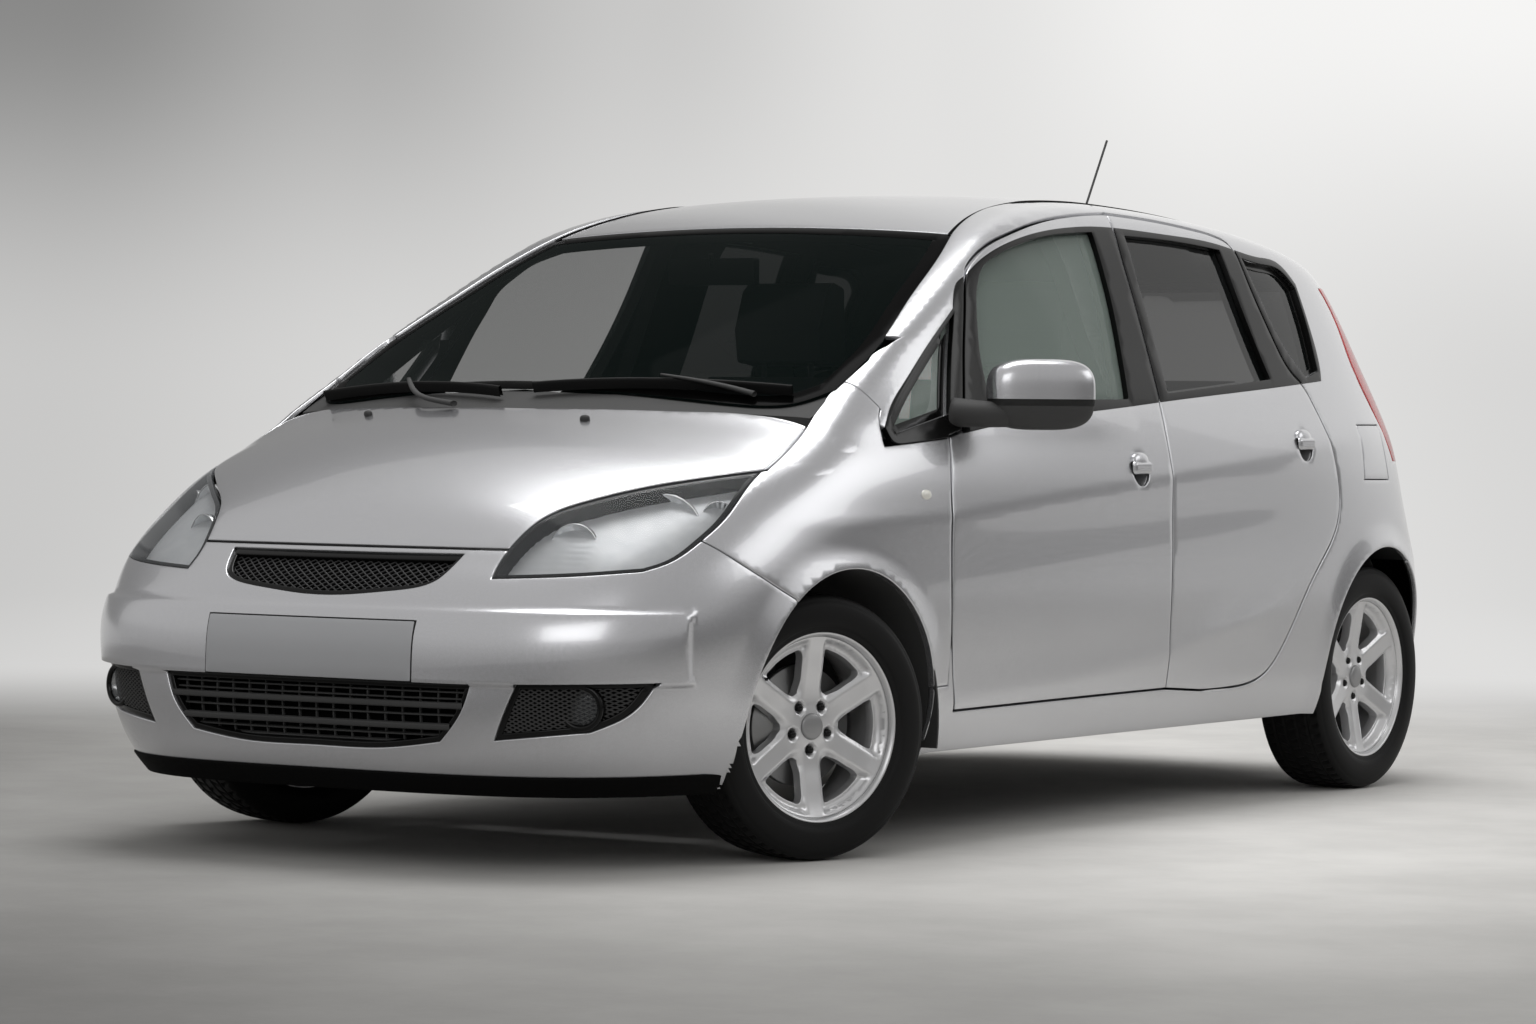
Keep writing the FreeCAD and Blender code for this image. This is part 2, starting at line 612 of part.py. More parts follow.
FRONT_ARCH_Y = FRONT_AXLE_Y - ARCH_SHIFT
FRONT_LINER_X = HALF_WIDTH - LINER_WIDTH - TYRE_WIDTH / 3
REAR_LINER_X = HALF_WIDTH - LINER_WIDTH
front_space = arch(FRONT_ARCH_Y, ARCH_RADIUS_FRONT, FRONT_LINER_X)
rear_space = arch(REAR_AXLE_Y, ARCH_RADIUS_REAR, REAR_LINER_X)
front_liner_space = arch(FRONT_ARCH_Y, ARCH_RADIUS_FRONT + LINER_WALL, FRONT_LINER_X)
HOUSE_WALL = LINER_WALL + SEAT_GAP
front_house = arch(FRONT_ARCH_Y, ARCH_RADIUS_FRONT + HOUSE_WALL, FRONT_LINER_X - HOUSE_WALL)
rear_house = arch(REAR_AXLE_Y, ARCH_RADIUS_REAR + HOUSE_WALL, REAR_LINER_X - HOUSE_WALL)
houses = [front_house, mirrored(front_house), rear_house, mirrored(rear_house)]

REAR_Y = LENGTH / 2 + OVERRUN
lamp_cut = end_cut(LAMP_SHARES, -REAR_Y, FRONT_AXLE_Y)
bonnet_cut = end_cut(BONNET_SHARES, -REAR_Y, WAIST_Y)
bonnet_opening = end_cut(BONNET_SHARES, -REAR_Y, WAIST_Y, BONNET_GAP)
tail_lamp_cut = end_cut(TAIL_LAMP_SHARES, along(1), REAR_Y)
gate_cut = end_cut(GATE_SHARES, along(1), REAR_Y)
gate_opening = end_cut(GATE_SHARES, along(1), REAR_Y, BONNET_GAP)
fender_cut = side_cut(FENDER_SHARES)
fender_edge = side_cut(FENDER_SHARES, HALF_GAP)
rear_seam_cut = side_cut(REAR_SEAM_SHARES)

side_wall = slab(side_ray, LENGTHWISE, heights(SILL_Z, ROOF_EDGE_DEG, 13, 12), flat(0), wall)

# Front fenders
FENDER_FRONT_DEG = 50.0
FENDER_TOP_DEG = 20.0
FENDER_LOW_SHARE = 0.2
fender_places = (spread(FAN_FRONT - FAN_TURN * radians(FENDER_FRONT_DEG), FAN_FRONT, 15)
                 + spread(FAN_FRONT, along(DOOR_FRONT_SHARES[0][0]), 10)[1:])
fender_heights = heights(HEIGHT * FENDER_LOW_SHARE, FENDER_TOP_DEG, 12, 5)
fender_skin = slab(side_ray, fender_places, fender_heights, flat(0), flat(SKIN))
fender_space = slab(side_ray, fender_places, fender_heights, flat(-SKIN), flat(SKIN))
fender_left = (fender_skin.common(fender_cut).cut(front_space).cut(lamp_cut)
               .cut(bonnet_opening))
save("front_fenders", Part.makeCompound([fender_left, mirrored(fender_left)]))

# Side frames: sill, hinge pillar, windscreen pillar, roof rail and rear quarter
door_opening = side_cut(FRONT_DOOR, HALF_GAP, LEAN)
rear_opening = side_cut(REAR_DOOR, HALF_GAP, LEAN)
quarter_cut = side_cut(QUARTER_GLASS_SHARES)
sail_cut = side_cut(SAIL_GLASS_SHARES)
flap_cut = side_cut(FLAP_SHARES)
engine_side = block((0, -REAR_Y, 0),
                    (HALF_WIDTH + OVERRUN, along(HINGE_PILLAR_SHARE), HEIGHT * BAY_TOP_SHARE))
side_left = side_wall
for cutter in (door_opening, rear_opening, SCREEN_CUT, ROOF_CUT, engine_side, front_liner_space,
               rear_space, quarter_cut, sail_cut, gate_opening, tail_lamp_cut, rear_seam_cut,
               fender_space.common(fender_edge), bonnet_opening):
    side_left = side_left.cut(cutter)


def deep_wall(depth):
    return lambda hit: wall(hit) + depth


pillar_places = spread(along(PILLAR_SHARES[0]), along(PILLAR_SHARES[1]), 4)
pillar = slab(side_ray, pillar_places, heights(SILL_Z, ROOF_EDGE_DEG, 8, 8),
              deep_wall(PILLAR_GAP), deep_wall(PILLAR_GAP + PILLAR_WALL))
DOOR_TOP_DEG = 44.9
DOOR_LOW_SHARE = 0.196
foot = slab(side_ray, pillar_places, spread(SILL_Z, HEIGHT * DOOR_LOW_SHARE, 4),
            deep_wall(-PILLAR_GAP), deep_wall(PILLAR_GAP + PILLAR_WALL))
head_heights = spread(FAN_Z + FAN_RISE * radians(DOOR_TOP_DEG + 1),
                      FAN_Z + FAN_RISE * radians(ROOF_EDGE_DEG), 4)
head = slab(side_ray, pillar_places, head_heights,
            deep_wall(-PILLAR_GAP), deep_wall(PILLAR_GAP + PILLAR_WALL))
for cutter in (ROOF_CUT, door_opening, rear_opening):
    head = head.cut(cutter)
side_left = join([side_left, pillar, foot.cut(door_opening).cut(rear_opening), head])
side_left = max(side_left.Solids, key=lambda s: s.Volume)
side_right = mirrored(side_left)
FLAP_PLACES = spread(along(0.94), along(1.16), 5)
FLAP_HEIGHTS = spread(HEIGHT * 0.52, HEIGHT * 0.64, 5)
POCKET_DEPTH = 34.0
pocket = slab(side_ray, FLAP_PLACES, FLAP_HEIGHTS, flat(-SKIN), flat(POCKET_DEPTH))
save("side_frame_left", side_left.cut(pocket.common(flap_cut)))
save("side_frame_right", side_right)
roof_edge = plan_cut(ROOF_RUNS, BONNET_GAP)
screen_edge = plan_cut(SCREEN_RUNS, BONNET_GAP)

# Fuel flap, in its pocket on the left rear quarter
flap_skin = slab(side_ray, FLAP_PLACES, FLAP_HEIGHTS, flat(0), flat(SKIN))
save("fuel_flap", flap_skin.common(side_cut(FLAP_SHARES, -HALF_GAP)))

# Doors, their glass, handles and mirrors
HANDLE_SHARES = ((0.49, 0.556), (0.8276, 0.592))
HANDLE_LENGTH = 84.0
HANDLE_HEIGHT = 30.0
CUP_RADIUS = 42.0
CUP_DEPTH = 30.0
CUP_STANDOFF = 16.0


def handle(door, share):
    """The round cup pressed into a door, with its pull bar across it."""
    y, z = side_pair(share)
    x = side_x(y, z)
    ball = CUP_RADIUS ** 2 / (2 * CUP_DEPTH) + CUP_DEPTH / 2
    cup = Part.makeSphere(ball, V(x + ball - CUP_DEPTH, y, z))
    bar = block((x - CUP_DEPTH / 2, y - HANDLE_LENGTH / 2, z - HANDLE_HEIGHT / 3),
                (x + CUP_STANDOFF, y + HANDLE_LENGTH / 2, z + HANDLE_HEIGHT * 2 / 3))
    long_edges = [e for e in bar.Edges if abs(e.BoundBox.XMax - x - CUP_STANDOFF) < SEAT_GAP]
    return door.cut(cup).fuse(bar.makeFillet(HANDLE_HEIGHT / 3, long_edges))


front_door = handle(side_wall.common(side_cut(FRONT_DOOR, -HALF_GAP, LEAN)).cut(roof_edge)
                    .cut(screen_edge).cut(side_cut(FRONT_GLASS_SHARES)), HANDLE_SHARES[0])
rear_door = handle(side_wall.common(side_cut(REAR_DOOR, -HALF_GAP, LEAN)).cut(roof_edge)
                   .cut(side_cut(REAR_GLASS_SHARES)), HANDLE_SHARES[1])
glass_sheet = slab(side_ray, spread(along(0.07), FAN_REAR + FAN_TURN * radians(8), 26),
                   heights(HEIGHT * 0.55, ROOF_EDGE_DEG, 3, 14),
                   flat(GLASS_INSET), flat(GLASS_INSET + GLASS_WALL))
front_glass = glass_sheet.common(side_cut(FRONT_GLASS_SHARES))
rear_glass = glass_sheet.common(side_cut(REAR_GLASS_SHARES))
fixed_glass = Part.makeCompound([glass_sheet.common(quarter_cut), glass_sheet.common(sail_cut)])

# Door mirrors: a rounded housing, swept back, on a foot at the door's front corner
MIRROR_SHARES = (1.077, 0.2332, 0.6793)
MIRROR_HALVES = (122.0, 52.0, 68.0)
MIRROR_SWEEP_DEG = 38.3
MIRROR_RINGS = ((-1.0, 0.5), (-0.92, 0.76), (-0.7, 0.93), (-0.3, 1.0), (0.3, 1.0), (0.7, 0.93),
                (0.92, 0.76), (1.0, 0.5))
MIRROR_FOOT_SHARES = ((0.9, 0.2164, 0.637), (1.05, 0.2236, 0.652))
MIRROR_FOOT_RADIUS = 22.0


def mirror_body():
    """Ellipses across the housing's length are lofted and turned to its sweep."""
    long_half, deep_half, high_half = MIRROR_HALVES
    rings = []
    for place, size in MIRROR_RINGS:
        ring = Part.Ellipse(V(0, 0, 0), high_half * size, deep_half * size)
        edge = ring.toShape()
        edge.rotate(V(0, 0, 0), V(0, 1, 0), 90)
        edge.translate(V(long_half * place, 0, 0))
        rings.append(Part.Wire([edge]))
    shell = Part.makeLoft(rings, True)
    shell.rotate(V(0, 0, 0), V(0, 0, 1), 90 - MIRROR_SWEEP_DEG)
    x, y, z = MIRROR_SHARES
    shell.translate(V(HALF_WIDTH * x, along(y), HEIGHT * z))
    low, high = MIRROR_FOOT_SHARES
    start = V(HALF_WIDTH * low[0], along(low[1]), HEIGHT * low[2])
    end = V(HALF_WIDTH * high[0], along(high[1]), HEIGHT * high[2])
    way = end - start
    made = shell.fuse(rod(MIRROR_FOOT_RADIUS, way.Length, start, way)).cut(front_door)
    return max(made.Solids, key=lambda s: s.Volume)


mirror_left = mirror_body()
for side, turn in (("left", lambda s: s), ("right", mirrored)):
    save("front_door_" + side, turn(front_door))
    save("rear_door_" + side, turn(rear_door))
    save("front_door_glass_" + side, turn(front_glass))
    save("rear_door_glass_" + side, turn(rear_glass))
    save("door_mirror_" + side, turn(mirror_left))
save("fixed_side_glass", Part.makeCompound([fixed_glass, mirrored(fixed_glass)]))


# Roof, windscreen and cowl, from upright rays
def upright_ray(x, y):
    return V(x, y, FAN_Z * SLOPE_SHARE), V(0, 0, 1)


def plate(half, low, high, across_count, along_count, outer, inner):
    """A curved panel seen from above, as wide as half on each side."""
    return slab(upright_ray, spread(-half, half, across_count), spread(low, high, along_count),
                flat(outer), flat(inner))


roof = plate(HALF_WIDTH * 0.68, along(0.3), along(1.4), 13, 24, 0, ROOF_WALL).common(ROOF_CUT)
save("roof_panel", roof)
screen = plate(HALF_WIDTH * 0.84, along(-0.1), along(0.36), 15, 14, 0, SCREEN_WALL)
windscreen = screen.common(SCREEN_CUT).cut(roof)

COWL_RUNS = both([COWL_LINE_SHARES, [(0.8224, 0.0156), (0.8324, 0.06)],
                  [(0.8324, 0.06), (0.7552, 0.042), (0.59, 0.02), (0.354, -0.022), (0.0, -0.045)]])
cowl = plate(HALF_WIDTH * 0.86, along(-0.25), along(0.09), 15, 9, SCREEN_WALL,
             SCREEN_WALL + GLASS_WALL)
cowl = cowl.common(plan_cut(COWL_RUNS, -BONNET_GAP))
side_right = mirrored(side_left)
for neighbour in (side_left, side_right, fender_left, mirrored(fender_left), windscreen):
    cowl = cowl.cut(neighbour)
for neighbour in (side_left, side_right, fender_left, mirrored(fender_left)):
    windscreen = windscreen.cut(neighbour)
save("windscreen", windscreen)

# Bonnet: its grid narrows towards the nose
BONNET_FRONT_SHARE = -0.835
BONNET_REAR_SHARE = 0.04
BONNET_HALF_SHARES = [
    (-0.84, 0.53), (-0.7786, 0.53), (-0.6888, 0.6), (-0.6125, 0.68), (-0.5117, 0.77),
    (-0.3911, 0.86), (-0.2374, 0.9), (0.04, 0.9),
]
bonnet_half = by_station(BONNET_HALF_SHARES, HALF_WIDTH)


def bonnet_ray(a, y):
    return V(a * bonnet_half(y), y, HEIGHT * 0.34), V(0, 0, 1)


BONNET_PLAN = both([[(0.0, -1.2), (0.9, -1.2)], [(0.9, -1.2), (0.9, 0.0006)],
                    [(0.9, 0.0006), (0.6785, -0.0248), (0.5086, -0.0924), (0.3056, -0.1588),
                     (0.0802, -0.1982), (0.0, -0.1982)]])
bonnet = slab(bonnet_ray, spread(-1, 1, 17),
              spread(along(BONNET_FRONT_SHARE), along(BONNET_REAR_SHARE), 20),
              flat(0), flat(BONNET_WALL))
bonnet = bonnet.common(bonnet_cut).common(plan_cut(BONNET_PLAN))
save("bonnet", bonnet)
save("cowl_panel", cowl.cut(bonnet))

# Front bumper, its grilles and the lamps set in it
BUMPER_LOW_SHARE = 0.1107
BUMPER_HIGH_SHARE = 0.482
BUMPER_ROUND_DEG = 80.0
GRILLE_INSET = 4.0
GRILLE_DEPTH = 30.0
NOSE_RUN = FAN_TURN * radians(BUMPER_ROUND_DEG)


def nose_slab(outer, inner, low=BUMPER_LOW_SHARE, high=BUMPER_HIGH_SHARE, across=37, up=13):
    return slab(lambda s, v: end_ray(s, v, -1), spread(-NOSE_RUN, NOSE_RUN, across),
                spread(HEIGHT * low, HEIGHT * high, up), flat(outer), flat(inner))


def nose_cut(runs, offset=0.0):
    return end_cut(runs, -REAR_Y, FRONT_AXLE_Y, offset)


grille_cut = nose_cut(GRILLE_SHARES)
intake_cut = nose_cut(INTAKE_SHARES)
fog_cut = nose_cut(FOG_SHARES)
nose_skin = nose_slab(0, SKIN)
bumper = nose_skin
for cutter in (bonnet_opening, lamp_cut, mirrored(lamp_cut), fender_edge, mirrored(fender_edge),
               front_space, mirrored(front_space), grille_cut, intake_cut, fog_cut,
               mirrored(fog_cut)):
    bumper = bumper.cut(cutter)
save("front_bumper", bumper)
grille_slab = nose_slab(GRILLE_INSET, GRILLE_DEPTH)
fog_x, fog_z = end_pair(FOG_LAMP_SHARES)
fog_bar = rod(FOG_LAMP_RADIUS, REAR_Y, V(fog_x, -REAR_Y, fog_z), V(0, 1, 0))
fog_insert = grille_slab.common(fog_cut).cut(fog_bar)
save("front_grilles", Part.makeCompound(
    [grille_slab.common(grille_cut), grille_slab.common(intake_cut), fog_insert,
     mirrored(fog_insert)]))
front_end = slab(lambda s, v: end_ray(s, v, -1), spread(0, NOSE_RUN, 30),
                 heights(HEIGHT * 0.39, 3, 10, 3), flat(0), flat(LAMP_DEPTH))
headlamp = front_end.common(end_cut(LAMP_SHARES, -REAR_Y, FRONT_AXLE_Y, -1.0))
save("headlamps", Part.makeCompound([headlamp, mirrored(headlamp)]))
fog_lamp = nose_slab(GRILLE_INSET, LAMP_DEPTH).common(
    rod(FOG_LAMP_RADIUS, REAR_Y, V(fog_x, -REAR_Y, fog_z), V(0, 1, 0)))
save("fog_lamps", Part.makeCompound([fog_lamp, mirrored(fog_lamp)]))

# Rear bumper, tail lamps and tailgate
REAR_LOW_SHARE = 0.112
TAIL_RUN = FAN_TURN * radians(72)


def tail_slab(outer, inner, half, low, high_deg, across=33, up=10, rising=8):
    places = heights(HEIGHT * low, high_deg, up, rising) if high_deg else \
        spread(HEIGHT * low, HEIGHT * 0.46, up)
    return slab(lambda s, v: end_ray(s, v, 1), spread(-half, half, across), places,
                flat(outer), flat(inner))


rear_bumper = tail_slab(0, SKIN, TAIL_RUN, REAR_LOW_SHARE, 0)
rear_keep = side_cut(REAR_SEAM_SHARES, -HALF_GAP)
rear_keep = rear_keep.fuse(mirrored(rear_keep))
rear_bumper = rear_bumper.common(rear_keep).cut(gate_opening)
rear_bumper = rear_bumper.cut(rear_space).cut(mirrored(rear_space))
save("rear_bumper", rear_bumper)
lamp_corner = slab(side_ray, LENGTHWISE[-17:], heights(HEIGHT * 0.54, 42, 5, 10), flat(-SKIN),
                   flat(WALL_HIGH))
tail_lamp = lamp_corner.common(tail_lamp_cut).cut(gate_opening)
save("tail_lamps", Part.makeCompound([tail_lamp, mirrored(tail_lamp)]))
gate = tail_slab(0, GATE_WALL, FAN_TURN * radians(56), 0.42, 46).common(gate_cut)
gate_glass_cut = end_cut(GATE_GLASS_SHARES, along(1), REAR_Y)
gate_glass = tail_slab(GLASS_INSET, GLASS_INSET + GLASS_WALL, FAN_TURN * radians(56), 0.42,
                       46).common(gate_glass_cut)
gate = gate.cut(gate_glass_cut).cut(roof_edge)
save("tailgate", gate)
save("tailgate_glass", gate_glass)

# Floor, bulkhead and wheel-house liners
INNER_HALF = HALF_WIDTH - WALL_LOW / 2
BULKHEAD_SHARE = 0.09
REAR_STEP_SHARE = 0.85
BOOT_RISE = 108.0
BULKHEAD_TOP_SHARE = 0.605
BOOT_END_SHARE = 1.8
BOOT_HALF_SHARE = 0.72
JACK_X = 600.0
JACK_PLACES = (-450.0, 700.0)
JACK_LENGTH = 80.0
JACK_WIDTH = 50.0
JACK_DROP = 8.0
bulkhead_y = along(BULKHEAD_SHARE)
step_y = along(REAR_STEP_SHARE)
boot_end = along(BOOT_END_SHARE)
jack_pads = [
    block((x - JACK_WIDTH / 2, y - JACK_LENGTH / 2, FLOOR_Z - JACK_DROP),
          (x + JACK_WIDTH / 2, y + JACK_LENGTH / 2, FLOOR_Z + FLOOR_WALL))
    for x in (-JACK_X, JACK_X) for y in JACK_PLACES
]
floor = join(jack_pads + [
    block((-INNER_HALF, bulkhead_y, FLOOR_Z), (INNER_HALF, step_y, FLOOR_Z + FLOOR_WALL)),
    block((-INNER_HALF, bulkhead_y - FLOOR_WALL, FLOOR_Z),
          (INNER_HALF, bulkhead_y, HEIGHT * BULKHEAD_TOP_SHARE)),
    block((-INNER_HALF, step_y, FLOOR_Z), (INNER_HALF, step_y + FLOOR_WALL, FLOOR_Z + BOOT_RISE)),
    block((-INNER_HALF, step_y, FLOOR_Z + BOOT_RISE),
          (INNER_HALF, REAR_AXLE_Y, FLOOR_Z + BOOT_RISE + FLOOR_WALL)),
    block((-HALF_WIDTH * BOOT_HALF_SHARE, REAR_AXLE_Y, FLOOR_Z + BOOT_RISE),
          (HALF_WIDTH * BOOT_HALF_SHARE, boot_end, FLOOR_Z + BOOT_RISE + FLOOR_WALL)),
]).removeSplitter()
both_sides = [side_left, side_right]
for cutter in houses + [fender_space, mirrored(fender_space)] + both_sides:
    floor = floor.cut(cutter)
floor = max(floor.Solids, key=lambda s: s.Volume)
save("floor_pan", floor)


def liner(centre_y, radius, inner_x, neighbours):
    """A wheel-house: a half-round shell over the wheel, closed on its inner side."""
    start = V(inner_x, centre_y, TYRE_RADIUS)
    width = HALF_WIDTH - inner_x
    shell = rod(radius + LINER_WALL, width, start, V(1, 0, 0))
    shell = shell.cut(rod(radius, width, start, V(1, 0, 0)))
    plate_x = inner_x - LINER_WALL
    plate_disc = rod(radius + LINER_WALL, LINER_WALL, V(plate_x, centre_y, TYRE_RADIUS), V(1, 0, 0))
    arms_gap = block((plate_x, centre_y - radius * 2 / 3, 0),
                     (inner_x, centre_y + radius * 2 / 3, TYRE_RADIUS + radius / 3))
    house = shell.fuse(plate_disc.cut(arms_gap))
    house = house.cut(block((0, -REAR_Y, -OVERRUN), (WIDTH, REAR_Y, FLOOR_Z)))
    for neighbour in neighbours:
        house = house.cut(neighbour)
    return max(house.Solids, key=lambda s: s.Volume)


liner_front = liner(FRONT_ARCH_Y, ARCH_RADIUS_FRONT, FRONT_LINER_X,
                    [fender_space, nose_slab(-SKIN, SKIN)])
liner_rear = liner(REAR_AXLE_Y, ARCH_RADIUS_REAR, REAR_LINER_X, [side_wall, rear_bumper])
save("wheel_house_liners", Part.makeCompound(
    [liner_front, mirrored(liner_front), liner_rear, mirrored(liner_rear)]))

# Engine, subframe, rear axle, exhaust
ENGINE_LOW = (-300.0, -1500.0, 262.0)
ENGINE_HIGH = (360.0, -1075.0, 770.0)
FRAME_LOW = (-400.0, -1240.0, 196.0)
FRAME_HIGH = (400.0, -1010.0, 262.0)
FRAME_LEG_WIDTH = 70.0
FRAME_LEG_BACK = 230.0
ARM_TIP_X = KINGPIN_X
ARM_RADIUS = 24.0
ARM_WALL = 22.0
BALL_TOP = 214.0
save("engine_block", block(ENGINE_LOW, ENGINE_HIGH))
subframe = [block(FRAME_LOW, FRAME_HIGH)]
for sign in (-1, 1):
    leg_x = sign * (FRAME_HIGH[0] - FRAME_LEG_WIDTH / 2)
    subframe.append(block((leg_x - FRAME_LEG_WIDTH / 2, FRAME_HIGH[1], FRAME_LOW[2]),
                          (leg_x + FRAME_LEG_WIDTH / 2, FRAME_HIGH[1] + FRAME_LEG_BACK, FLOOR_Z)))
    tip = V(sign * ARM_TIP_X, FRONT_AXLE_Y, BALL_TOP - ARM_WALL)
    subframe.append(rod(ARM_RADIUS, ARM_WALL, tip, V(0, 0, 1)))
    arm = Part.Face(Part.makePolygon([
        V(sign * (FRAME_HIGH[0] - ARM_WALL), FRAME_LOW[1] + ARM_WALL, tip.z),
        V(sign * ARM_TIP_X, FRONT_AXLE_Y - ARM_RADIUS, tip.z),
        V(sign * ARM_TIP_X, FRONT_AXLE_Y + ARM_RADIUS, tip.z),
        V(sign * (FRAME_HIGH[0] - ARM_WALL), FRAME_HIGH[1] - ARM_WALL, tip.z),
        V(sign * (FRAME_HIGH[0] - ARM_WALL), FRAME_LOW[1] + ARM_WALL, tip.z)]))
    subframe.append(arm.extrude(V(0, 0, ARM_WALL)))
save("front_subframe", join(subframe).removeSplitter())

AXLE_ARM_X = 520.0
AXLE_ARM_WIDTH = 60.0
AXLE_ARM_LOW = 184.0
AXLE_ARM_FRONT = 930.0
BEAM_Y = 1190.0
BEAM_DEPTH = 70.0
AXLE_PLATE_WALL = 16.0
AXLE_PLATE_HALF = 60.0
STUB_END = REAR_TRACK / 2 - DISC_INSET
rear_parts = [block((-AXLE_ARM_X, BEAM_Y - BEAM_DEPTH / 2, AXLE_ARM_LOW),
                    (AXLE_ARM_X, BEAM_Y + BEAM_DEPTH / 2, FLOOR_Z))]
for sign in (-1, 1):
    low_x, high_x = sorted((sign * AXLE_ARM_X, sign * (AXLE_ARM_X + AXLE_ARM_WIDTH)))
    rear_parts.append(block((low_x, AXLE_ARM_FRONT, AXLE_ARM_LOW),
                            (high_x, REAR_AXLE_Y + AXLE_PLATE_HALF, FLOOR_Z)))
    outer_x = sign * (AXLE_ARM_X + AXLE_ARM_WIDTH)
    plate_low, plate_high = sorted((outer_x, outer_x - sign * AXLE_PLATE_WALL))
    rear_parts.append(block((plate_low, REAR_AXLE_Y - AXLE_PLATE_HALF, AXLE_ARM_LOW),
                            (plate_high, REAR_AXLE_Y + AXLE_PLATE_HALF,
                             TYRE_RADIUS + AXLE_PLATE_HALF)))
    rear_parts.append(rod(STUB_RADIUS, STUB_END - abs(outer_x) - RUNNING_GAP,
                          V(outer_x, REAR_AXLE_Y, TYRE_RADIUS), V(sign, 0, 0)))
save("rear_axle", join(rear_parts).removeSplitter())

PIPE_RADIUS = 24.0
PIPE_Z = 196.0
PIPE_X = -150.0
SILENCER_RADIUS = 78.0
SILENCER_LENGTH = 380.0
TAIL_PIPE_INSET = 160.0
SILENCER_Y = 1480.0
SILENCER_Z = 250.0
TAIL_PIPE_X = -420.0
PIPE_HIGH_Z = 264.0
pipe_front = along(0.06)
link_start = V(PIPE_X, step_y + FLOOR_WALL * 2, PIPE_Z)
link_end = V(PIPE_X, BEAM_Y - BEAM_DEPTH / 2 - PIPE_RADIUS, PIPE_HIGH_Z)
pipe = rod(PIPE_RADIUS, link_start.y - pipe_front, V(PIPE_X, pipe_front, PIPE_Z), V(0, 1, 0))
rise = rod(PIPE_RADIUS, (link_end - link_start).Length, link_start, link_end - link_start)
upper = rod(PIPE_RADIUS, SILENCER_Y - link_end.y, link_end, V(0, 1, 0))
elbows = [Part.makeSphere(PIPE_RADIUS, link_start), Part.makeSphere(PIPE_RADIUS, link_end)]
silencer = rod(SILENCER_RADIUS, SILENCER_LENGTH, V(PIPE_X + PIPE_RADIUS, SILENCER_Y, SILENCER_Z),
               V(-1, 0, 0))
SILENCER_TOP = FLOOR_Z + BOOT_RISE
hanger = block((PIPE_X - SILENCER_LENGTH / 2, SILENCER_Y - ARM_WALL / 2, SILENCER_Z),
               (PIPE_X - SILENCER_LENGTH / 2 + ARM_WALL, SILENCER_Y + ARM_WALL / 2, SILENCER_TOP))
outlet = rod(PIPE_RADIUS, LENGTH / 2 - TAIL_PIPE_INSET - SILENCER_Y,
             V(TAIL_PIPE_X, SILENCER_Y, PIPE_Z), V(0, 1, 0))
front_hanger = block((PIPE_X - ARM_WALL / 2, 0, PIPE_Z), (PIPE_X + ARM_WALL / 2, ARM_WALL, FLOOR_Z))
save("exhaust", join([pipe, rise, upper, silencer, hanger, outlet, front_hanger] + elbows))


# Wheels, in their own frame: the axle along +X, outwards
def ring(points, centre, way):
    """A closed profile of (radius, offset) pairs turned round the axle."""
    side = V(0, 0, 1)
    corners = [centre + way * offset + side * radius for radius, offset in points]
    face = Part.Face(Part.makePolygon(corners + [corners[0]]))
    return face.revolve(centre, way, 360)


TYRE_WALL = 13.0
half_tyre = TYRE_WIDTH / 2
half_rim = RIM_WIDTH / 2
TYRE_SHARES = [(0.0, 0.93), (0.13, 1.0), (0.55, 1.0), (0.8, 0.96), (0.95, 0.86), (1.0, 0.7)]
FACE_SHARE = 0.64


def tyre(centre, way):
    rise = TYRE_RADIUS - BEAD_RADIUS
    outer = [(BEAD_RADIUS + rise * r, half_tyre * x) for r, x in TYRE_SHARES]
    bead = half_rim - RIM_WALL - SEAT_GAP
    outer[0:2] = [(BEAD_RADIUS + SEAT_GAP, bead), (RIM_RADIUS + SEAT_GAP, bead),
                  (RIM_RADIUS + SEAT_GAP, half_rim), (RIM_RADIUS + RIM_WALL, half_tyre)]
    loop = outer + [(r, -x) for r, x in outer[::-1]]
    core = [(BEAD_RADIUS, half_rim - TYRE_WALL - RIM_WALL),
            (TYRE_RADIUS - TYRE_WALL, half_tyre - TYRE_WALL * 2)]
    core = core + [(r, -x) for r, x in core[::-1]]
    return ring(loop, centre, way).cut(ring(core, centre, way))


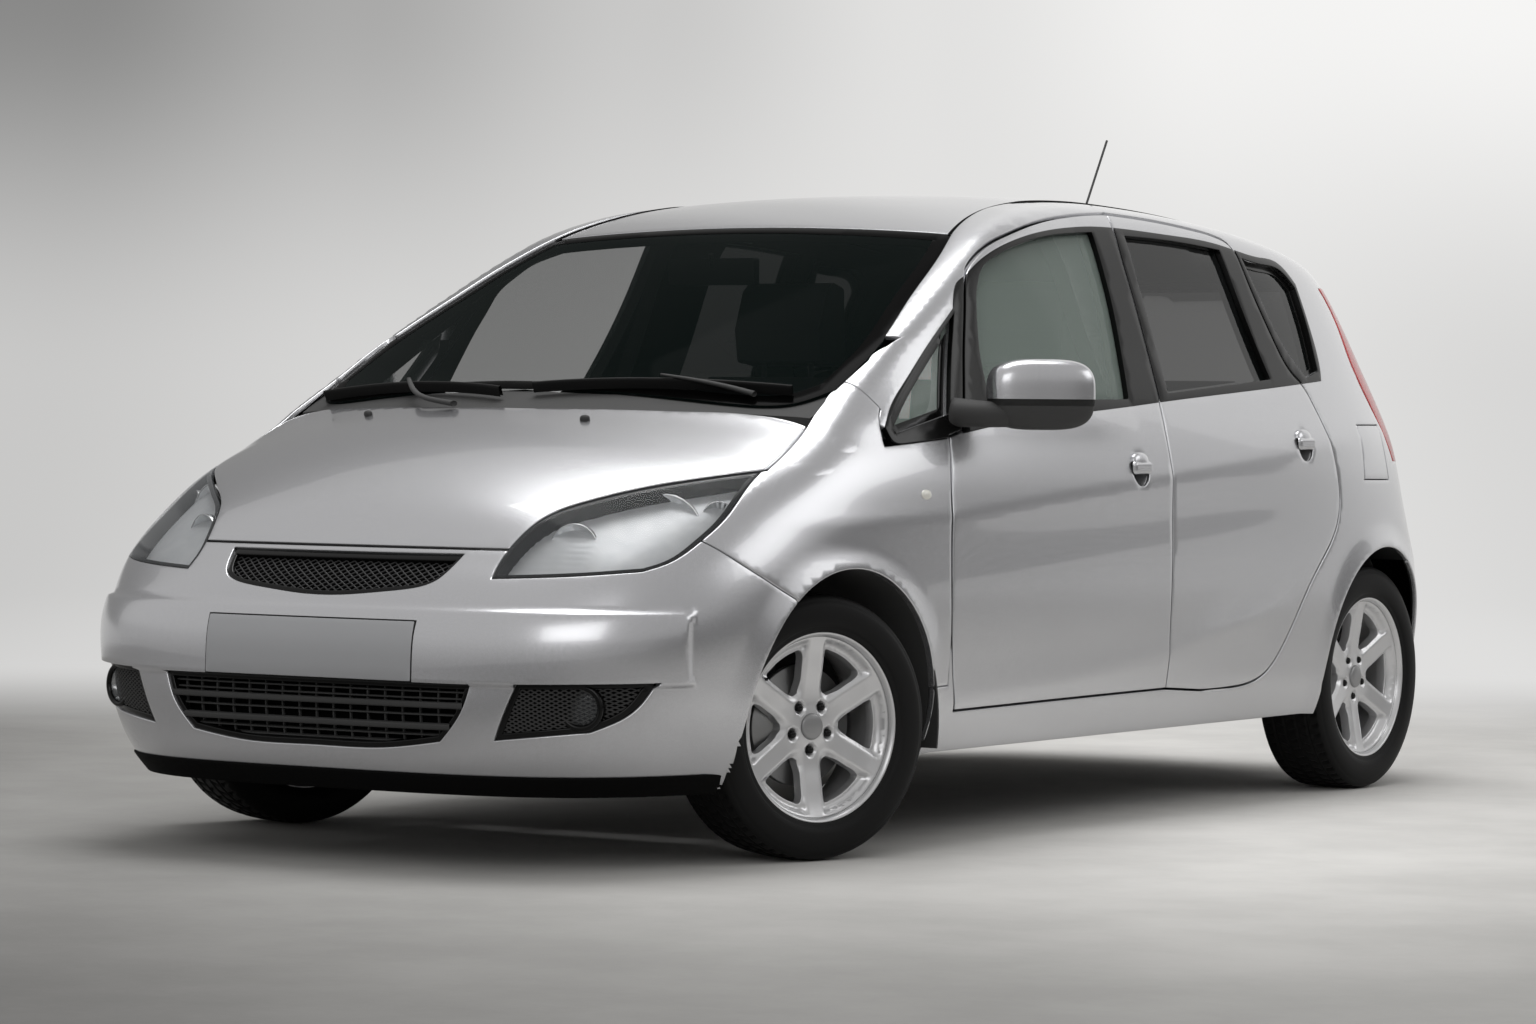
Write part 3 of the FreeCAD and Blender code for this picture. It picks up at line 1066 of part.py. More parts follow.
def wheel(centre, way):
    """Rim, six spokes, hub and brake disc in one casting-like piece."""
    barrel = ring([(BEAD_RADIUS - RIM_WALL, -half_rim), (RIM_RADIUS, -half_rim),
                   (RIM_RADIUS, -half_rim + RIM_WALL), (BEAD_RADIUS, -half_rim + RIM_WALL),
                   (BEAD_RADIUS, half_rim - RIM_WALL), (RIM_RADIUS, half_rim - RIM_WALL),
                   (RIM_RADIUS, half_rim), (BEAD_RADIUS - RIM_WALL, half_rim)], centre, way)
    face = half_rim * FACE_SHARE
    back = face - SPOKE_DEPTH
    pieces = [barrel, ring([(0, back), (HUB_RADIUS, back), (HUB_RADIUS, face - SPOKE_DEPTH / 3),
                            (CAP_RADIUS, face), (0, face)], centre, way)]
    edge = half_rim - RIM_WALL
    profile_points = [(HUB_RADIUS / 2, back), (HUB_RADIUS / 2, face), (BEAD_RADIUS * FACE_SHARE, face),
                      (BEAD_RADIUS - RIM_WALL / 2, edge), (BEAD_RADIUS - RIM_WALL / 2, edge - SPOKE_DEPTH),
                      (BEAD_RADIUS * FACE_SHARE, back)]
    across = V(0, 1, 0) if abs(way.y) < abs(way.x) / 100 else way.cross(V(0, 0, 1)).normalize()
    corners = [centre + way * o + V(0, 0, 1) * r - across * (SPOKE_WIDTH / 2) for r, o in profile_points]
    spoke = Part.Face(Part.makePolygon(corners + [corners[0]])).extrude(across * SPOKE_WIDTH)
    for k in range(SPOKE_COUNT):
        copy = spoke.copy()
        copy.rotate(centre, way, 360 / SPOKE_COUNT * (k + 0.5))
        pieces.append(copy)
    disc_face = face - SPOKE_DEPTH
    pieces.append(ring([(0, disc_face - DISC_INSET), (HUB_RADIUS, disc_face - DISC_INSET),
                        (HUB_RADIUS, disc_face - DISC_WALL * 2), (DISC_RADIUS, disc_face - DISC_WALL * 2),
                        (DISC_RADIUS, disc_face - DISC_WALL), (HUB_RADIUS, disc_face - DISC_WALL),
                        (HUB_RADIUS, disc_face), (0, disc_face)], centre, way))
    return join(pieces)


def knuckle(sign, centre, way):
    """Hub carrier with its ball boss, steering arm and brake caliper."""
    face = half_rim * FACE_SHARE - SPOKE_DEPTH
    inner = face - DISC_INSET - RUNNING_GAP
    carrier_end = centre + way * inner
    carrier = rod(HUB_RADIUS * 2 / 3, DISC_INSET, carrier_end - way * DISC_INSET, way)
    pin = V(sign * KINGPIN_X, FRONT_AXLE_Y, BALL_TOP + SEAT_GAP)
    boss = rod(ARM_RADIUS / 2, centre.z - BALL_TOP + ARM_RADIUS / 2, pin, V(0, 0, 1))
    saddle_start = V(pin.x, pin.y, centre.z) - way * ARM_RADIUS
    saddle = rod(ARM_RADIUS, (carrier_end - saddle_start).Length - DISC_INSET / 4, saddle_start,
                 carrier_end - saddle_start)
    back = V(-way.y * sign, way.x * sign, 0)
    caliper_y = back * (DISC_RADIUS - ARM_RADIUS / 2)
    disc_mid = centre + way * (face - DISC_WALL * 3 / 2)
    pad_start = disc_mid + caliper_y - way * (DISC_WALL * 5 / 2 + RUNNING_GAP)
    outer_pad = rod(ARM_RADIUS * 3 / 2, DISC_WALL * 2, pad_start, way)
    link = rod(ARM_RADIUS / 2, DISC_RADIUS - ARM_RADIUS / 3, carrier_end - way * (ARM_RADIUS * 2 / 3),
               back)
    return join([carrier, boss, saddle, outer_pad, link])


steer = radians(STEER_DEG)
for sign, name in ((1, "left"), (-1, "right")):
    front_way = V(sign * cos(steer), -sign * sin(steer), 0)
    pin = V(sign * KINGPIN_X, FRONT_AXLE_Y, TYRE_RADIUS)
    front_centre = pin + front_way * (FRONT_TRACK / 2 - KINGPIN_X)
    rear_centre = V(sign * REAR_TRACK / 2, REAR_AXLE_Y, TYRE_RADIUS)
    save("tyre_front_" + name, tyre(front_centre, front_way))
    save("wheel_front_" + name, wheel(front_centre, front_way))
    save("tyre_rear_" + name, tyre(rear_centre, V(sign, 0, 0)))
    save("wheel_rear_" + name, wheel(rear_centre, V(sign, 0, 0)))
    save("front_knuckle_" + name, knuckle(sign, front_centre, front_way))

# Cabin: dashboard, steering wheel, seats and mirror
CABIN_HALF = 665.0
DASH_SHARES = [(0.0905, 0.60), (0.2, 0.635), (0.24, 0.63), (0.262, 0.585), (0.25, 0.5),
               (0.2, 0.43), (0.18, 0.34), (0.0905, 0.34)]
DRIVER_X = -345.0


def profile_bar(shares, low_x, high_x, radius=0.0):
    """A side outline of straight runs, drawn out across the car and eased on its long edges."""
    points = [V(low_x, along(u), HEIGHT * h) for u, h in shares]
    bar = Part.Face(Part.makePolygon(points + [points[0]])).extrude(V(high_x - low_x, 0, 0))
    if radius:
        edges = [e for e in bar.Edges if e.BoundBox.XLength > (high_x - low_x) / 2]
        bar = bar.makeFillet(radius, edges)
    return bar


dash = profile_bar(DASH_SHARES, -CABIN_HALF, CABIN_HALF)
dash_front = block((-INNER_HALF, bulkhead_y, HEIGHT * 0.5),
                   (INNER_HALF, along(0.13), HEIGHT * 0.58))
dash = dash.fuse(dash_front)
HOOD_HALF = 150.0
hood = profile_bar([(0.2, 0.62), (0.235, 0.66), (0.262, 0.655), (0.262, 0.585)],
                   DRIVER_X - HOOD_HALF, DRIVER_X + HOOD_HALF)
dash = dash.fuse(hood)
for cutter in both_sides + houses[:2]:
    dash = dash.cut(cutter)
dash = max(dash.Solids, key=lambda s: s.Volume)
STEER_RADIUS = 183.0
STEER_GRIP = 14.0
STEER_HUB = 62.0
STEER_HUB_WALL = 34.0
COLUMN_RADIUS = 26.0
COLUMN_TILT = 26.0
steer_centre = V(DRIVER_X, along(0.312), HEIGHT * 0.568)
column_way = V(0, -cos(radians(COLUMN_TILT)), -sin(radians(COLUMN_TILT)))
column_gap = STEER_HUB_WALL / 2 + SEAT_GAP
column = rod(COLUMN_RADIUS, STEER_RADIUS, steer_centre + column_way * column_gap, column_way)
dash = dash.fuse(column)
save("dashboard", dash)
grip = Part.makeTorus(STEER_RADIUS, STEER_GRIP, steer_centre, column_way)
steer_hub = rod(STEER_HUB, STEER_HUB_WALL, steer_centre - column_way * (STEER_HUB_WALL / 2),
                column_way)
steer_parts = [grip, steer_hub]
for turn in (0, 90, 180):
    bar = Part.makeBox(STEER_RADIUS, STEER_GRIP * 2, STEER_GRIP, V(0, -STEER_GRIP, -STEER_GRIP / 2))
    bar.rotate(V(0, 0, 0), V(0, 0, 1), turn)
    bar.rotate(V(0, 0, 0), V(1, 0, 0), COLUMN_TILT - 90)
    bar.translate(steer_centre)
    steer_parts.append(bar)
save("steering_wheel", join(steer_parts))

SEAT_X = 345.0
SEAT_HALF = 235.0
SEAT_CUSHION_SHARES = [(0.345, 0.19), (0.33, 0.275), (0.345, 0.325), (0.37, 0.33), (0.545, 0.285),
                       (0.56, 0.19)]
SEAT_BACK_SHARES = [(0.515, 0.285), (0.505, 0.33), (0.58, 0.68), (0.6, 0.7), (0.62, 0.695),
                    (0.628, 0.66), (0.575, 0.25), (0.545, 0.25)]
SEAT_HEAD_SHARES = [(0.597, 0.725), (0.592, 0.78), (0.606, 0.845), (0.618, 0.86), (0.638, 0.85),
                    (0.64, 0.73), (0.628, 0.718)]
HEAD_HALF = 125.0
POST_RADIUS = 7.0
POST_SPACING = 70.0
SOFT_RADIUS = 22.0


def seat(middle_x):
    low_x = middle_x - SEAT_HALF
    high_x = middle_x + SEAT_HALF
    parts = [profile_bar(SEAT_CUSHION_SHARES, low_x, high_x, SOFT_RADIUS),
             profile_bar(SEAT_BACK_SHARES, low_x + SOFT_RADIUS, high_x - SOFT_RADIUS, SOFT_RADIUS / 2),
             profile_bar(SEAT_HEAD_SHARES, middle_x - HEAD_HALF, middle_x + HEAD_HALF,
                         SOFT_RADIUS / 2),
             block((low_x + SOFT_RADIUS * 2, along(0.36), FLOOR_Z + FLOOR_WALL),
                   (high_x - SOFT_RADIUS * 2, along(0.55), HEIGHT * 0.2))]
    for sign in (-1, 1):
        foot_point = V(middle_x + sign * POST_SPACING, along(0.613), HEIGHT * 0.67)
        parts.append(rod(POST_RADIUS, HEIGHT * 0.08, foot_point, V(0, 0, 1)))
    return join(parts)


save("front_seats", Part.makeCompound([seat(-SEAT_X), seat(SEAT_X)]))
BENCH_HALF = 560.0
BENCH_SEAT_SHARES = [(0.688, 0.172), (0.676, 0.27), (0.69, 0.318), (0.72, 0.322), (0.86, 0.285),
                     (0.86, 0.235), (0.845, 0.235), (0.845, 0.172)]
BENCH_BACK_SHARES = [(0.83, 0.29), (0.835, 0.32), (0.915, 0.6), (0.925, 0.61), (0.945, 0.605),
                     (0.95, 0.58), (0.885, 0.29), (0.87, 0.2347), (0.86, 0.2347)]
BENCH_HEAD_SHARES = [(0.918, 0.6), (0.925, 0.69), (0.932, 0.7), (0.95, 0.7), (0.957, 0.69),
                     (0.95, 0.6)]
BENCH_HEAD_X = (-340.0, 0.0, 340.0)
bench = [profile_bar(BENCH_SEAT_SHARES, -BENCH_HALF, BENCH_HALF),
         profile_bar(BENCH_BACK_SHARES, -BENCH_HALF, BENCH_HALF)]
for x in BENCH_HEAD_X:
    bench.append(profile_bar(BENCH_HEAD_SHARES, x - HEAD_HALF, x + HEAD_HALF))
bench = join(bench)
for cutter in both_sides + [floor] + houses[2:]:
    bench = bench.cut(cutter)
save("rear_bench", max(bench.Solids, key=lambda s: s.Volume))

# Small fixed pieces: inside mirror, aerial and wipers
MIRROR_GLASS_HALF = 120.0
MIRROR_GLASS_HIGH = 62.0
MIRROR_GLASS_WALL = 22.0
INSIDE_MIRROR_SHARES = (0.272, 0.862)
mirror_y, mirror_z = side_pair(INSIDE_MIRROR_SHARES)
inside_mirror = block((-MIRROR_GLASS_HALF, mirror_y, mirror_z - MIRROR_GLASS_HIGH / 2),
                      (MIRROR_GLASS_HALF, mirror_y + MIRROR_GLASS_WALL,
                       mirror_z + MIRROR_GLASS_HIGH / 2))
inside_mirror = inside_mirror.makeFillet(MIRROR_GLASS_WALL / 3, [
    e for e in inside_mirror.Edges if e.BoundBox.YLength > MIRROR_GLASS_WALL / 2])
stem = rod(POST_RADIUS, HEIGHT / 4, V(0, mirror_y + MIRROR_GLASS_WALL / 2, mirror_z), V(0, -0.3, 1))
under_screen = plate(HALF_WIDTH * 0.84, along(-0.1), along(0.36), 15, 14, SCREEN_WALL,
                     HEIGHT / 3)
stem = stem.common(under_screen)
save("inside_mirror", inside_mirror.fuse(stem))
AERIAL_SHARE = 0.947
AERIAL_LENGTH = 297.0
AERIAL_LEAN = 0.613
AERIAL_RADIUS = 3.0
AERIAL_FOOT = 16.0
aerial_y = along(AERIAL_SHARE)
aerial_z = profile(aerial_y)
aerial = rod(AERIAL_FOOT, AERIAL_FOOT * 2, V(0, aerial_y, aerial_z - AERIAL_FOOT), V(0, 0, 1))
aerial = aerial.fuse(rod(AERIAL_RADIUS, AERIAL_LENGTH, V(0, aerial_y, aerial_z),
                         V(0, AERIAL_LEAN, 1)))
save("roof_aerial", aerial.cut(roof))
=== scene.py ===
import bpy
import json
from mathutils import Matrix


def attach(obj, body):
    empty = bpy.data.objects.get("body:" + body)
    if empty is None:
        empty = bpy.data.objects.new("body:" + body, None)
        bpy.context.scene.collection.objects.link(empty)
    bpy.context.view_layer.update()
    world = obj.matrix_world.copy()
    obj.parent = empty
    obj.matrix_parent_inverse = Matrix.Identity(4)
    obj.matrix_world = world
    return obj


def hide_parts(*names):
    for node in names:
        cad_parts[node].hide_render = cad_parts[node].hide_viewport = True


bl_info = {
    "name": "Small hatchback car",
    "version": (1, 0, 0),
    "blender": (4, 5, 0),
    "location": "3D View > Sidebar > Hatchback",
    "description": "Dresses the packed model of a small hatchback car: paint, glass and lamps",
    "category": "Object",
}

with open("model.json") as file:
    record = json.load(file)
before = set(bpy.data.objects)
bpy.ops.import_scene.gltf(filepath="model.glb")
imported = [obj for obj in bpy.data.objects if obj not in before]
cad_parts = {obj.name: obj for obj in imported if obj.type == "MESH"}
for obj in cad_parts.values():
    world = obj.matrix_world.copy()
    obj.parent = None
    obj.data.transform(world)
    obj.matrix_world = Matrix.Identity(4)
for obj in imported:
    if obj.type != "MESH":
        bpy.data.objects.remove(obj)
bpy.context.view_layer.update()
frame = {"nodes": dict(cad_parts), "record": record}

import json
from math import cos, pi, radians, sin

import bpy
import numpy as np
from mathutils import Matrix, Vector
from mathutils.geometry import delaunay_2d_cdt

# Main sizes of the car, in metres
WHEELBASE = 2.5
FRONT_OVERHANG = 0.813
REAR_OVERHANG = 0.557
NOSE_ROUND = 0.0279
HALF_WIDTH = 0.8475
HEIGHT = 1.472
LENGTH = FRONT_OVERHANG + WHEELBASE + REAR_OVERHANG
FRONT_AXLE_Y = FRONT_OVERHANG - (LENGTH + NOSE_ROUND) / 2
REAR_AXLE_Y = FRONT_AXLE_Y + WHEELBASE
HALF_GAP = 0.003
BONNET_GAP = 0.005
GLASS_INSET = 0.012
TYRE_RADIUS = 0.283

# Body form, as shares of the height, the half width and the station along the car
HALF_WIDTH_SHARES = [
    (0.1019, 0.9086), (0.1461, 0.944), (0.2038, 0.9746), (0.2853, 0.9935), (0.3804, 1.0),
    (0.4755, 0.9959), (0.5571, 0.9841), (0.6114, 0.9652), (0.659, 0.9392), (0.7473, 0.8791),
    (0.8492, 0.8118), (0.9511, 0.7457), (1.019, 0.6962),
]
NOSE_SHARES = [
    (0.1019, -0.8954), (0.1461, -0.9446), (0.2038, -0.9717), (0.2717, -0.9791), (0.3397, -0.9791),
    (0.3804, -0.9631), (0.4212, -0.9422), (0.4565, -0.9053), (0.4891, -0.8585), (0.5435, -0.7601),
    (0.6114, -0.6125), (0.6793, -0.4403), (0.8152, -0.2189), (1.019, -0.0959),
]
TAIL_SHARES = [
    (0.1019, 1.8294), (0.1461, 1.9192), (0.2038, 1.9731), (0.3057, 2.0), (0.3804, 1.991),
    (0.4416, 1.9192), (0.5163, 1.8474), (0.6114, 1.7971), (0.7133, 1.7217), (0.8152, 1.623),
    (0.8832, 1.5422), (0.9511, 1.4165), (1.019, 1.2908),
]
TAPER_SHARES = [
    (0.1019, 0.012), (0.4755, 0.012), (0.5774, 0.03), (0.6793, 0.095), (0.8152, 0.1), (1.019, 0.1),
]
PROFILE_SHARES = [
    (-1.0308, 0.3533), (-0.9323, 0.4212), (-0.8266, 0.462), (-0.7109, 0.5177), (-0.5879, 0.5618),
    (-0.4649, 0.5958), (-0.3419, 0.6216), (-0.2189, 0.6433), (-0.1574, 0.6556), (-0.0713, 0.6739),
    (0.0088, 0.6957), (0.0688, 0.7412), (0.1688, 0.8179), (0.2688, 0.892), (0.3328, 0.9355),
    (0.4008, 0.9674), (0.4808, 0.9905), (0.5688, 1.0), (0.6688, 0.9986), (0.7688, 0.9898),
    (0.8888, 0.9694), (1.0395, 0.9389), (1.4883, 0.9062), (1.7576, 0.8818),
]
SWEEP_SHARES = [
    (-0.9569, 0.0), (-0.4649, 0.0678), (-0.1574, 0.2882), (0.0568, 0.2542), (0.2088, 0.1695),
    (0.3328, 0.1017), (0.4888, 0.0), (1.4883, 0.0848), (1.9372, 0.0848),
]
CROWN_SHARES = [
    (-0.9569, 0.0848), (-0.5879, 0.1271), (-0.2189, 0.0678), (0.0568, 0.0339), (0.2088, 0.0339),
    (0.3328, 0.0339), (0.4488, 0.0508), (0.6088, 0.0678), (1.4883, 0.0848), (1.9372, 0.0848),
]
ROUNDING_SHARES = [
    (-0.9569, 0.0306), (-0.4649, 0.0272), (-0.1574, 0.017), (0.0488, 0.0068), (0.2488, 0.0068),
    (0.4488, 0.0136), (0.8488, 0.0163), (1.5781, 0.0204),
]
SQUARENESS_SHARES = [
    (0.1019, 3.3), (0.2038, 3.7), (0.3804, 3.7), (0.462, 3.3), (0.5774, 2.7), (1.019, 2.6),
]
TAIL_SQUARENESS = 3.8
END_SQUARENESS = 8.0
TAIL_TAPER_SHARE = 0.15
WAIST_SHARE = 0.489
WAIST_RUN_SHARE = 0.52
SLOPE_SHARE = 0.9

# Ray map of the sides: where the rays start to fan out
FAN_FRONT_SHARE = -0.034
FAN_REAR_SHARE = 0.909
FAN_Z_SHARE = 0.577
FAN_TURN_SHARE = 0.944
FAN_RISE_SHARE = 0.4

# Side outlines, as runs of (station, height) shares
DOOR_FRONT_SHARES = [
    (0.1688, 0.2024), (0.1548, 0.2989), (0.1524, 0.4273), (0.156, 0.5156), (0.1716, 0.6087),
]
DOOR_BELT_SHARES = [(0.1716, 0.6087), (0.1928, 0.6162)]
DOOR_PILLAR_SHARES = [
    (0.1928, 0.6162), (0.2116, 0.6637), (0.2384, 0.7391), (0.2652, 0.8152), (0.282, 0.8539),
    (0.302, 0.875), (0.3356, 0.9001), (0.376, 0.9192), (0.4496, 0.945), (0.5128, 0.9586),
    (0.5856, 0.966),
]
DOOR_MIDDLE_SHARES = [
    (0.5856, 0.966), (0.5796, 0.9348), (0.5724, 0.8424), (0.5652, 0.7459), (0.5564, 0.663),
    (0.5512, 0.587), (0.5488, 0.5075), (0.5468, 0.4124), (0.5456, 0.3166), (0.5464, 0.2582),
    (0.55, 0.2065),
]
DOOR_SILL_SHARES = [(0.55, 0.2065), (0.3594, 0.205), (0.1688, 0.2024)]
REAR_TOP_SHARES = [
    (0.5856, 0.966), (0.6728, 0.9599), (0.7488, 0.9497), (0.7956, 0.9389), (0.8144, 0.9246),
    (0.8188, 0.9096),
]
REAR_BACK_SHARES = [
    (0.8188, 0.9096), (0.8232, 0.8438), (0.8344, 0.769), (0.85, 0.7133), (0.8648, 0.6929),
    (0.8752, 0.6603), (0.8856, 0.6012), (0.8948, 0.534), (0.8944, 0.4912), (0.8828, 0.4497),
    (0.8524, 0.4008), (0.8164, 0.3431), (0.7924, 0.2948), (0.7716, 0.2541), (0.7464, 0.2194),
    (0.7188, 0.2045), (0.6904, 0.1997), (0.6204, 0.1984),
]
REAR_SILL_SHARES = [(0.6204, 0.1984), (0.55, 0.2065)]
FRONT_GLASS_SHARES = [
    [(0.2508, 0.6596), (0.2612, 0.7317), (0.2856, 0.8224)],
    [(0.2856, 0.8224), (0.3068, 0.8602), (0.3408, 0.8852), (0.3876, 0.9056), (0.4608, 0.9253),
     (0.536, 0.9341)],
    [(0.536, 0.9341), (0.5268, 0.8139), (0.498, 0.6658)],
    [(0.498, 0.6658), (0.2508, 0.6596)],
]
REAR_GLASS_SHARES = [
    [(0.5964, 0.9314), (0.6888, 0.928), (0.7848, 0.9178)],
    [(0.7848, 0.9178), (0.7888, 0.8179), (0.7988, 0.7011)],
    [(0.7988, 0.7011), (0.5772, 0.676)],
    [(0.5772, 0.676), (0.5872, 0.7948), (0.5964, 0.9314)],
]
QUARTER_GLASS_SHARES = [
    [(0.8262, 0.9062), (0.8688, 0.8981), (0.9132, 0.8852), (0.93, 0.8601)],
    [(0.93, 0.8601), (0.9248, 0.788), (0.9132, 0.716)],
    [(0.9132, 0.716), (0.8798, 0.7044)],
    [(0.8798, 0.7044), (0.8524, 0.76), (0.8378, 0.8257), (0.8262, 0.9062)],
]
SAIL_GLASS_SHARES = [
    [(0.2428, 0.7956), (0.1824, 0.6404)],
    [(0.1824, 0.6404), (0.0888, 0.6107)],
    [(0.0888, 0.6107), (0.0928, 0.634)],
    [(0.0928, 0.634), (0.1312, 0.6773), (0.185, 0.735), (0.2428, 0.7956)],
]
FLAP_SHARES = [
    [(0.9608, 0.6264), (1.1113, 0.6264)], [(1.1113, 0.6264), (1.1293, 0.5312)],
    [(1.1293, 0.5312), (0.9568, 0.5326)], [(0.9568, 0.5326), (0.9608, 0.6264)],
]
FENDER_SHARES = [
    [(0.1524, 0.2418), (0.1499, 0.4273), (0.1535, 0.5156), (0.1691, 0.6057)],
    [(0.1691, 0.6057), (0.0696, 0.5938)],
    [(0.0696, 0.5938), (0.0788, 0.6386), (0.0848, 0.6481)],
    [(0.0848, 0.6481), (0.07, 0.6828), (0.05, 0.75)],
    [(0.05, 0.75), (-0.7, 0.75)],
    [(-0.7, 0.75), (-0.7, 0.51)],
    [(-0.7, 0.51), (-0.5203, 0.464), (-0.4379, 0.4334), (-0.3481, 0.4056), (-0.2632, 0.3804)],
    [(-0.2632, 0.3804), (-0.2, 0.2418)],
    [(-0.2, 0.2418), (0.1524, 0.2418)],
]

# Front outlines, as runs of (half width, height) shares on the car's left
LAMP_SHARES = [
    [(0.4755, 0.4096), (0.4696, 0.4327), (0.4791, 0.4586), (0.5133, 0.4932), (0.5805, 0.5143),
     (0.6761, 0.5333), (0.774, 0.5476), (0.8578, 0.5591)],
    [(0.8578, 0.5591), (0.8673, 0.5312), (0.8743, 0.4925), (0.8661, 0.464), (0.8425, 0.4341),
     (0.8071, 0.4219)],
    [(0.8071, 0.4219), (0.7091, 0.4164), (0.5959, 0.4124), (0.4755, 0.4096)],
]
BONNET_SHARES = [
    [(-0.4732, 0.4511), (0.4732, 0.4511)],
    [(0.4732, 0.4511), (0.4791, 0.462), (0.5133, 0.4959), (0.5805, 0.5177), (0.6761, 0.5367),
     (0.774, 0.551), (0.8578, 0.5625)],
    [(0.8578, 0.5625), (0.8472, 0.5971), (0.8248, 0.6359), (0.8189, 0.75)],
    [(0.8189, 0.75), (-0.8189, 0.75)],
    [(-0.8189, 0.75), (-0.8248, 0.6359), (-0.8472, 0.5971), (-0.8578, 0.5625)],
    [(-0.8578, 0.5625), (-0.774, 0.551), (-0.6761, 0.5367), (-0.5805, 0.5177), (-0.5133, 0.4959),
     (-0.4791, 0.462), (-0.4732, 0.4511)],
]
GRILLE_SHARES = [
    [(-0.3611, 0.4423), (0.3611, 0.4423)],
    [(0.3611, 0.4423), (0.3339, 0.409), (0.2336, 0.3913), (0.0, 0.3811), (-0.2336, 0.3913),
     (-0.3339, 0.409), (-0.3611, 0.4423)],
]
INTAKE_SHARES = [
    [(-0.4743, 0.2656), (0.4743, 0.2656)],
    [(0.4743, 0.2656), (0.4519, 0.2296), (0.3847, 0.1834)],
    [(0.3847, 0.1834), (0.2006, 0.1705), (0.0, 0.1698), (-0.2006, 0.1705), (-0.3847, 0.1834)],
    [(-0.3847, 0.1834), (-0.4519, 0.2296), (-0.4743, 0.2656)],
]
FOG_SHARES = [
    [(0.5912, 0.2677), (0.8578, 0.2711)],
    [(0.8578, 0.2711), (0.8142, 0.2262), (0.741, 0.2011)],
    [(0.741, 0.2011), (0.5286, 0.1875)], [(0.5286, 0.1875), (0.5912, 0.2677)],
]

# Plan outlines, as (half width, station) shares on the car's left
SCREEN_BASE_SHARES = [
    (0.0, -0.064), (0.354, -0.0394), (0.59, -0.002), (0.7552, 0.0248), (0.8124, 0.0588),
]
SCREEN_SIDE_SHARES = [
    (0.8124, 0.0588), (0.8024, 0.136), (0.7528, 0.2116), (0.7127, 0.2756), (0.6572, 0.3368),
]
SCREEN_TOP_SHARES = [(0.6572, 0.3368), (0.3363, 0.332), (0.0, 0.3304)]
ROOF_SIDE_SHARES = [
    (0.6572, 0.3368), (0.6136, 0.4028), (0.5994, 0.4488), (0.5935, 0.4944), (0.59, 0.7688),
    (0.5782, 1.3268),
]

# Rear outlines, as (half width, height) shares
GATE_SHARES = [
    [(-0.6, 0.436), (0.6, 0.436)],
    [(0.6, 0.436), (0.66, 0.45), (0.695, 0.5)],
    [(0.695, 0.5), (0.7, 0.58), (0.68, 0.66), (0.645, 0.76), (0.6, 0.86), (0.578, 0.94)],
    [(0.578, 0.94), (-0.578, 0.94)],
    [(-0.578, 0.94), (-0.6, 0.86), (-0.645, 0.76), (-0.68, 0.66), (-0.7, 0.58), (-0.695, 0.5)],
    [(-0.695, 0.5), (-0.66, 0.45), (-0.6, 0.436)],
]
GATE_GLASS_SHARES = [
    [(-0.56, 0.65), (0.56, 0.65)], [(0.56, 0.65), (0.55, 0.74), (0.5, 0.865)],
    [(0.5, 0.865), (-0.5, 0.865)], [(-0.5, 0.865), (-0.55, 0.74), (-0.56, 0.65)],
]
TAIL_LAMP_SHARES = [
    [(0.655, 0.865), (0.665, 0.8), (0.685, 0.7), (0.71, 0.6), (0.73, 0.568)],
    [(0.73, 0.568), (0.82, 0.56), (0.918, 0.564)],
    [(0.918, 0.564), (0.912, 0.6), (0.888, 0.65), (0.853, 0.705), (0.794, 0.78), (0.758, 0.825),
     (0.735, 0.862)],
    [(0.735, 0.862), (0.655, 0.865)],
]

# Numbers that come again and again
HERMITE = 3
QUARTER = pi / 2


def along(share):
    """Station along the car: 0 at the front axle, 1 at the rear one, -1 and 2 at the ends."""
    share = np.asarray(share, float)
    behind = REAR_AXLE_Y + REAR_OVERHANG * (share - 1)
    return np.where(share < 0, FRONT_AXLE_Y + FRONT_OVERHANG * share,
                    np.where(share <= 1, FRONT_AXLE_Y + WHEELBASE * share, behind))


def smooth(places, values):
    """Curve through the points: cubic between them, its slope at each the mean of the rises
    on both sides weighted by the other side's step, and straight beyond the ends."""
    places, values = np.asarray(places, float), np.asarray(values, float)
    steps = np.diff(places)
    rises = np.diff(values) / steps
    slopes = np.zeros_like(places)
    slopes[1:-1] = (steps[1:] * rises[:-1] + steps[:-1] * rises[1:]) / (steps[:-1] + steps[1:])
    slopes[0] = (HERMITE * rises[0] - slopes[1]) / 2
    slopes[-1] = (HERMITE * rises[-1] - slopes[-2]) / 2

    def value(place):
        place = np.asarray(place, float)
        i = np.clip(np.searchsorted(places, place) - 1, 0, len(steps) - 1)
        s = np.clip((place - places[i]) / steps[i], 0, 1)
        inner = (values[i] * (1 + 2 * s) * (1 - s) ** 2 + steps[i] * slopes[i] * s * (1 - s) ** 2
                 + values[i + 1] * s * s * (3 - 2 * s)
                 + steps[i] * slopes[i + 1] * s * s * (s - 1))
        below = slopes[0] * np.minimum(place - places[0], 0)
        above = slopes[-1] * np.maximum(place - places[-1], 0)
        return inner + below + above
    return value


def by_height(shares, scale=None):
    table = np.array(shares)
    values = along(table[:, 1]) if scale is None else scale * table[:, 1]
    return smooth(HEIGHT * table[:, 0], values)


def by_station(shares, scale):
    table = np.array(shares)
    return smooth(along(table[:, 0]), scale * table[:, 1])


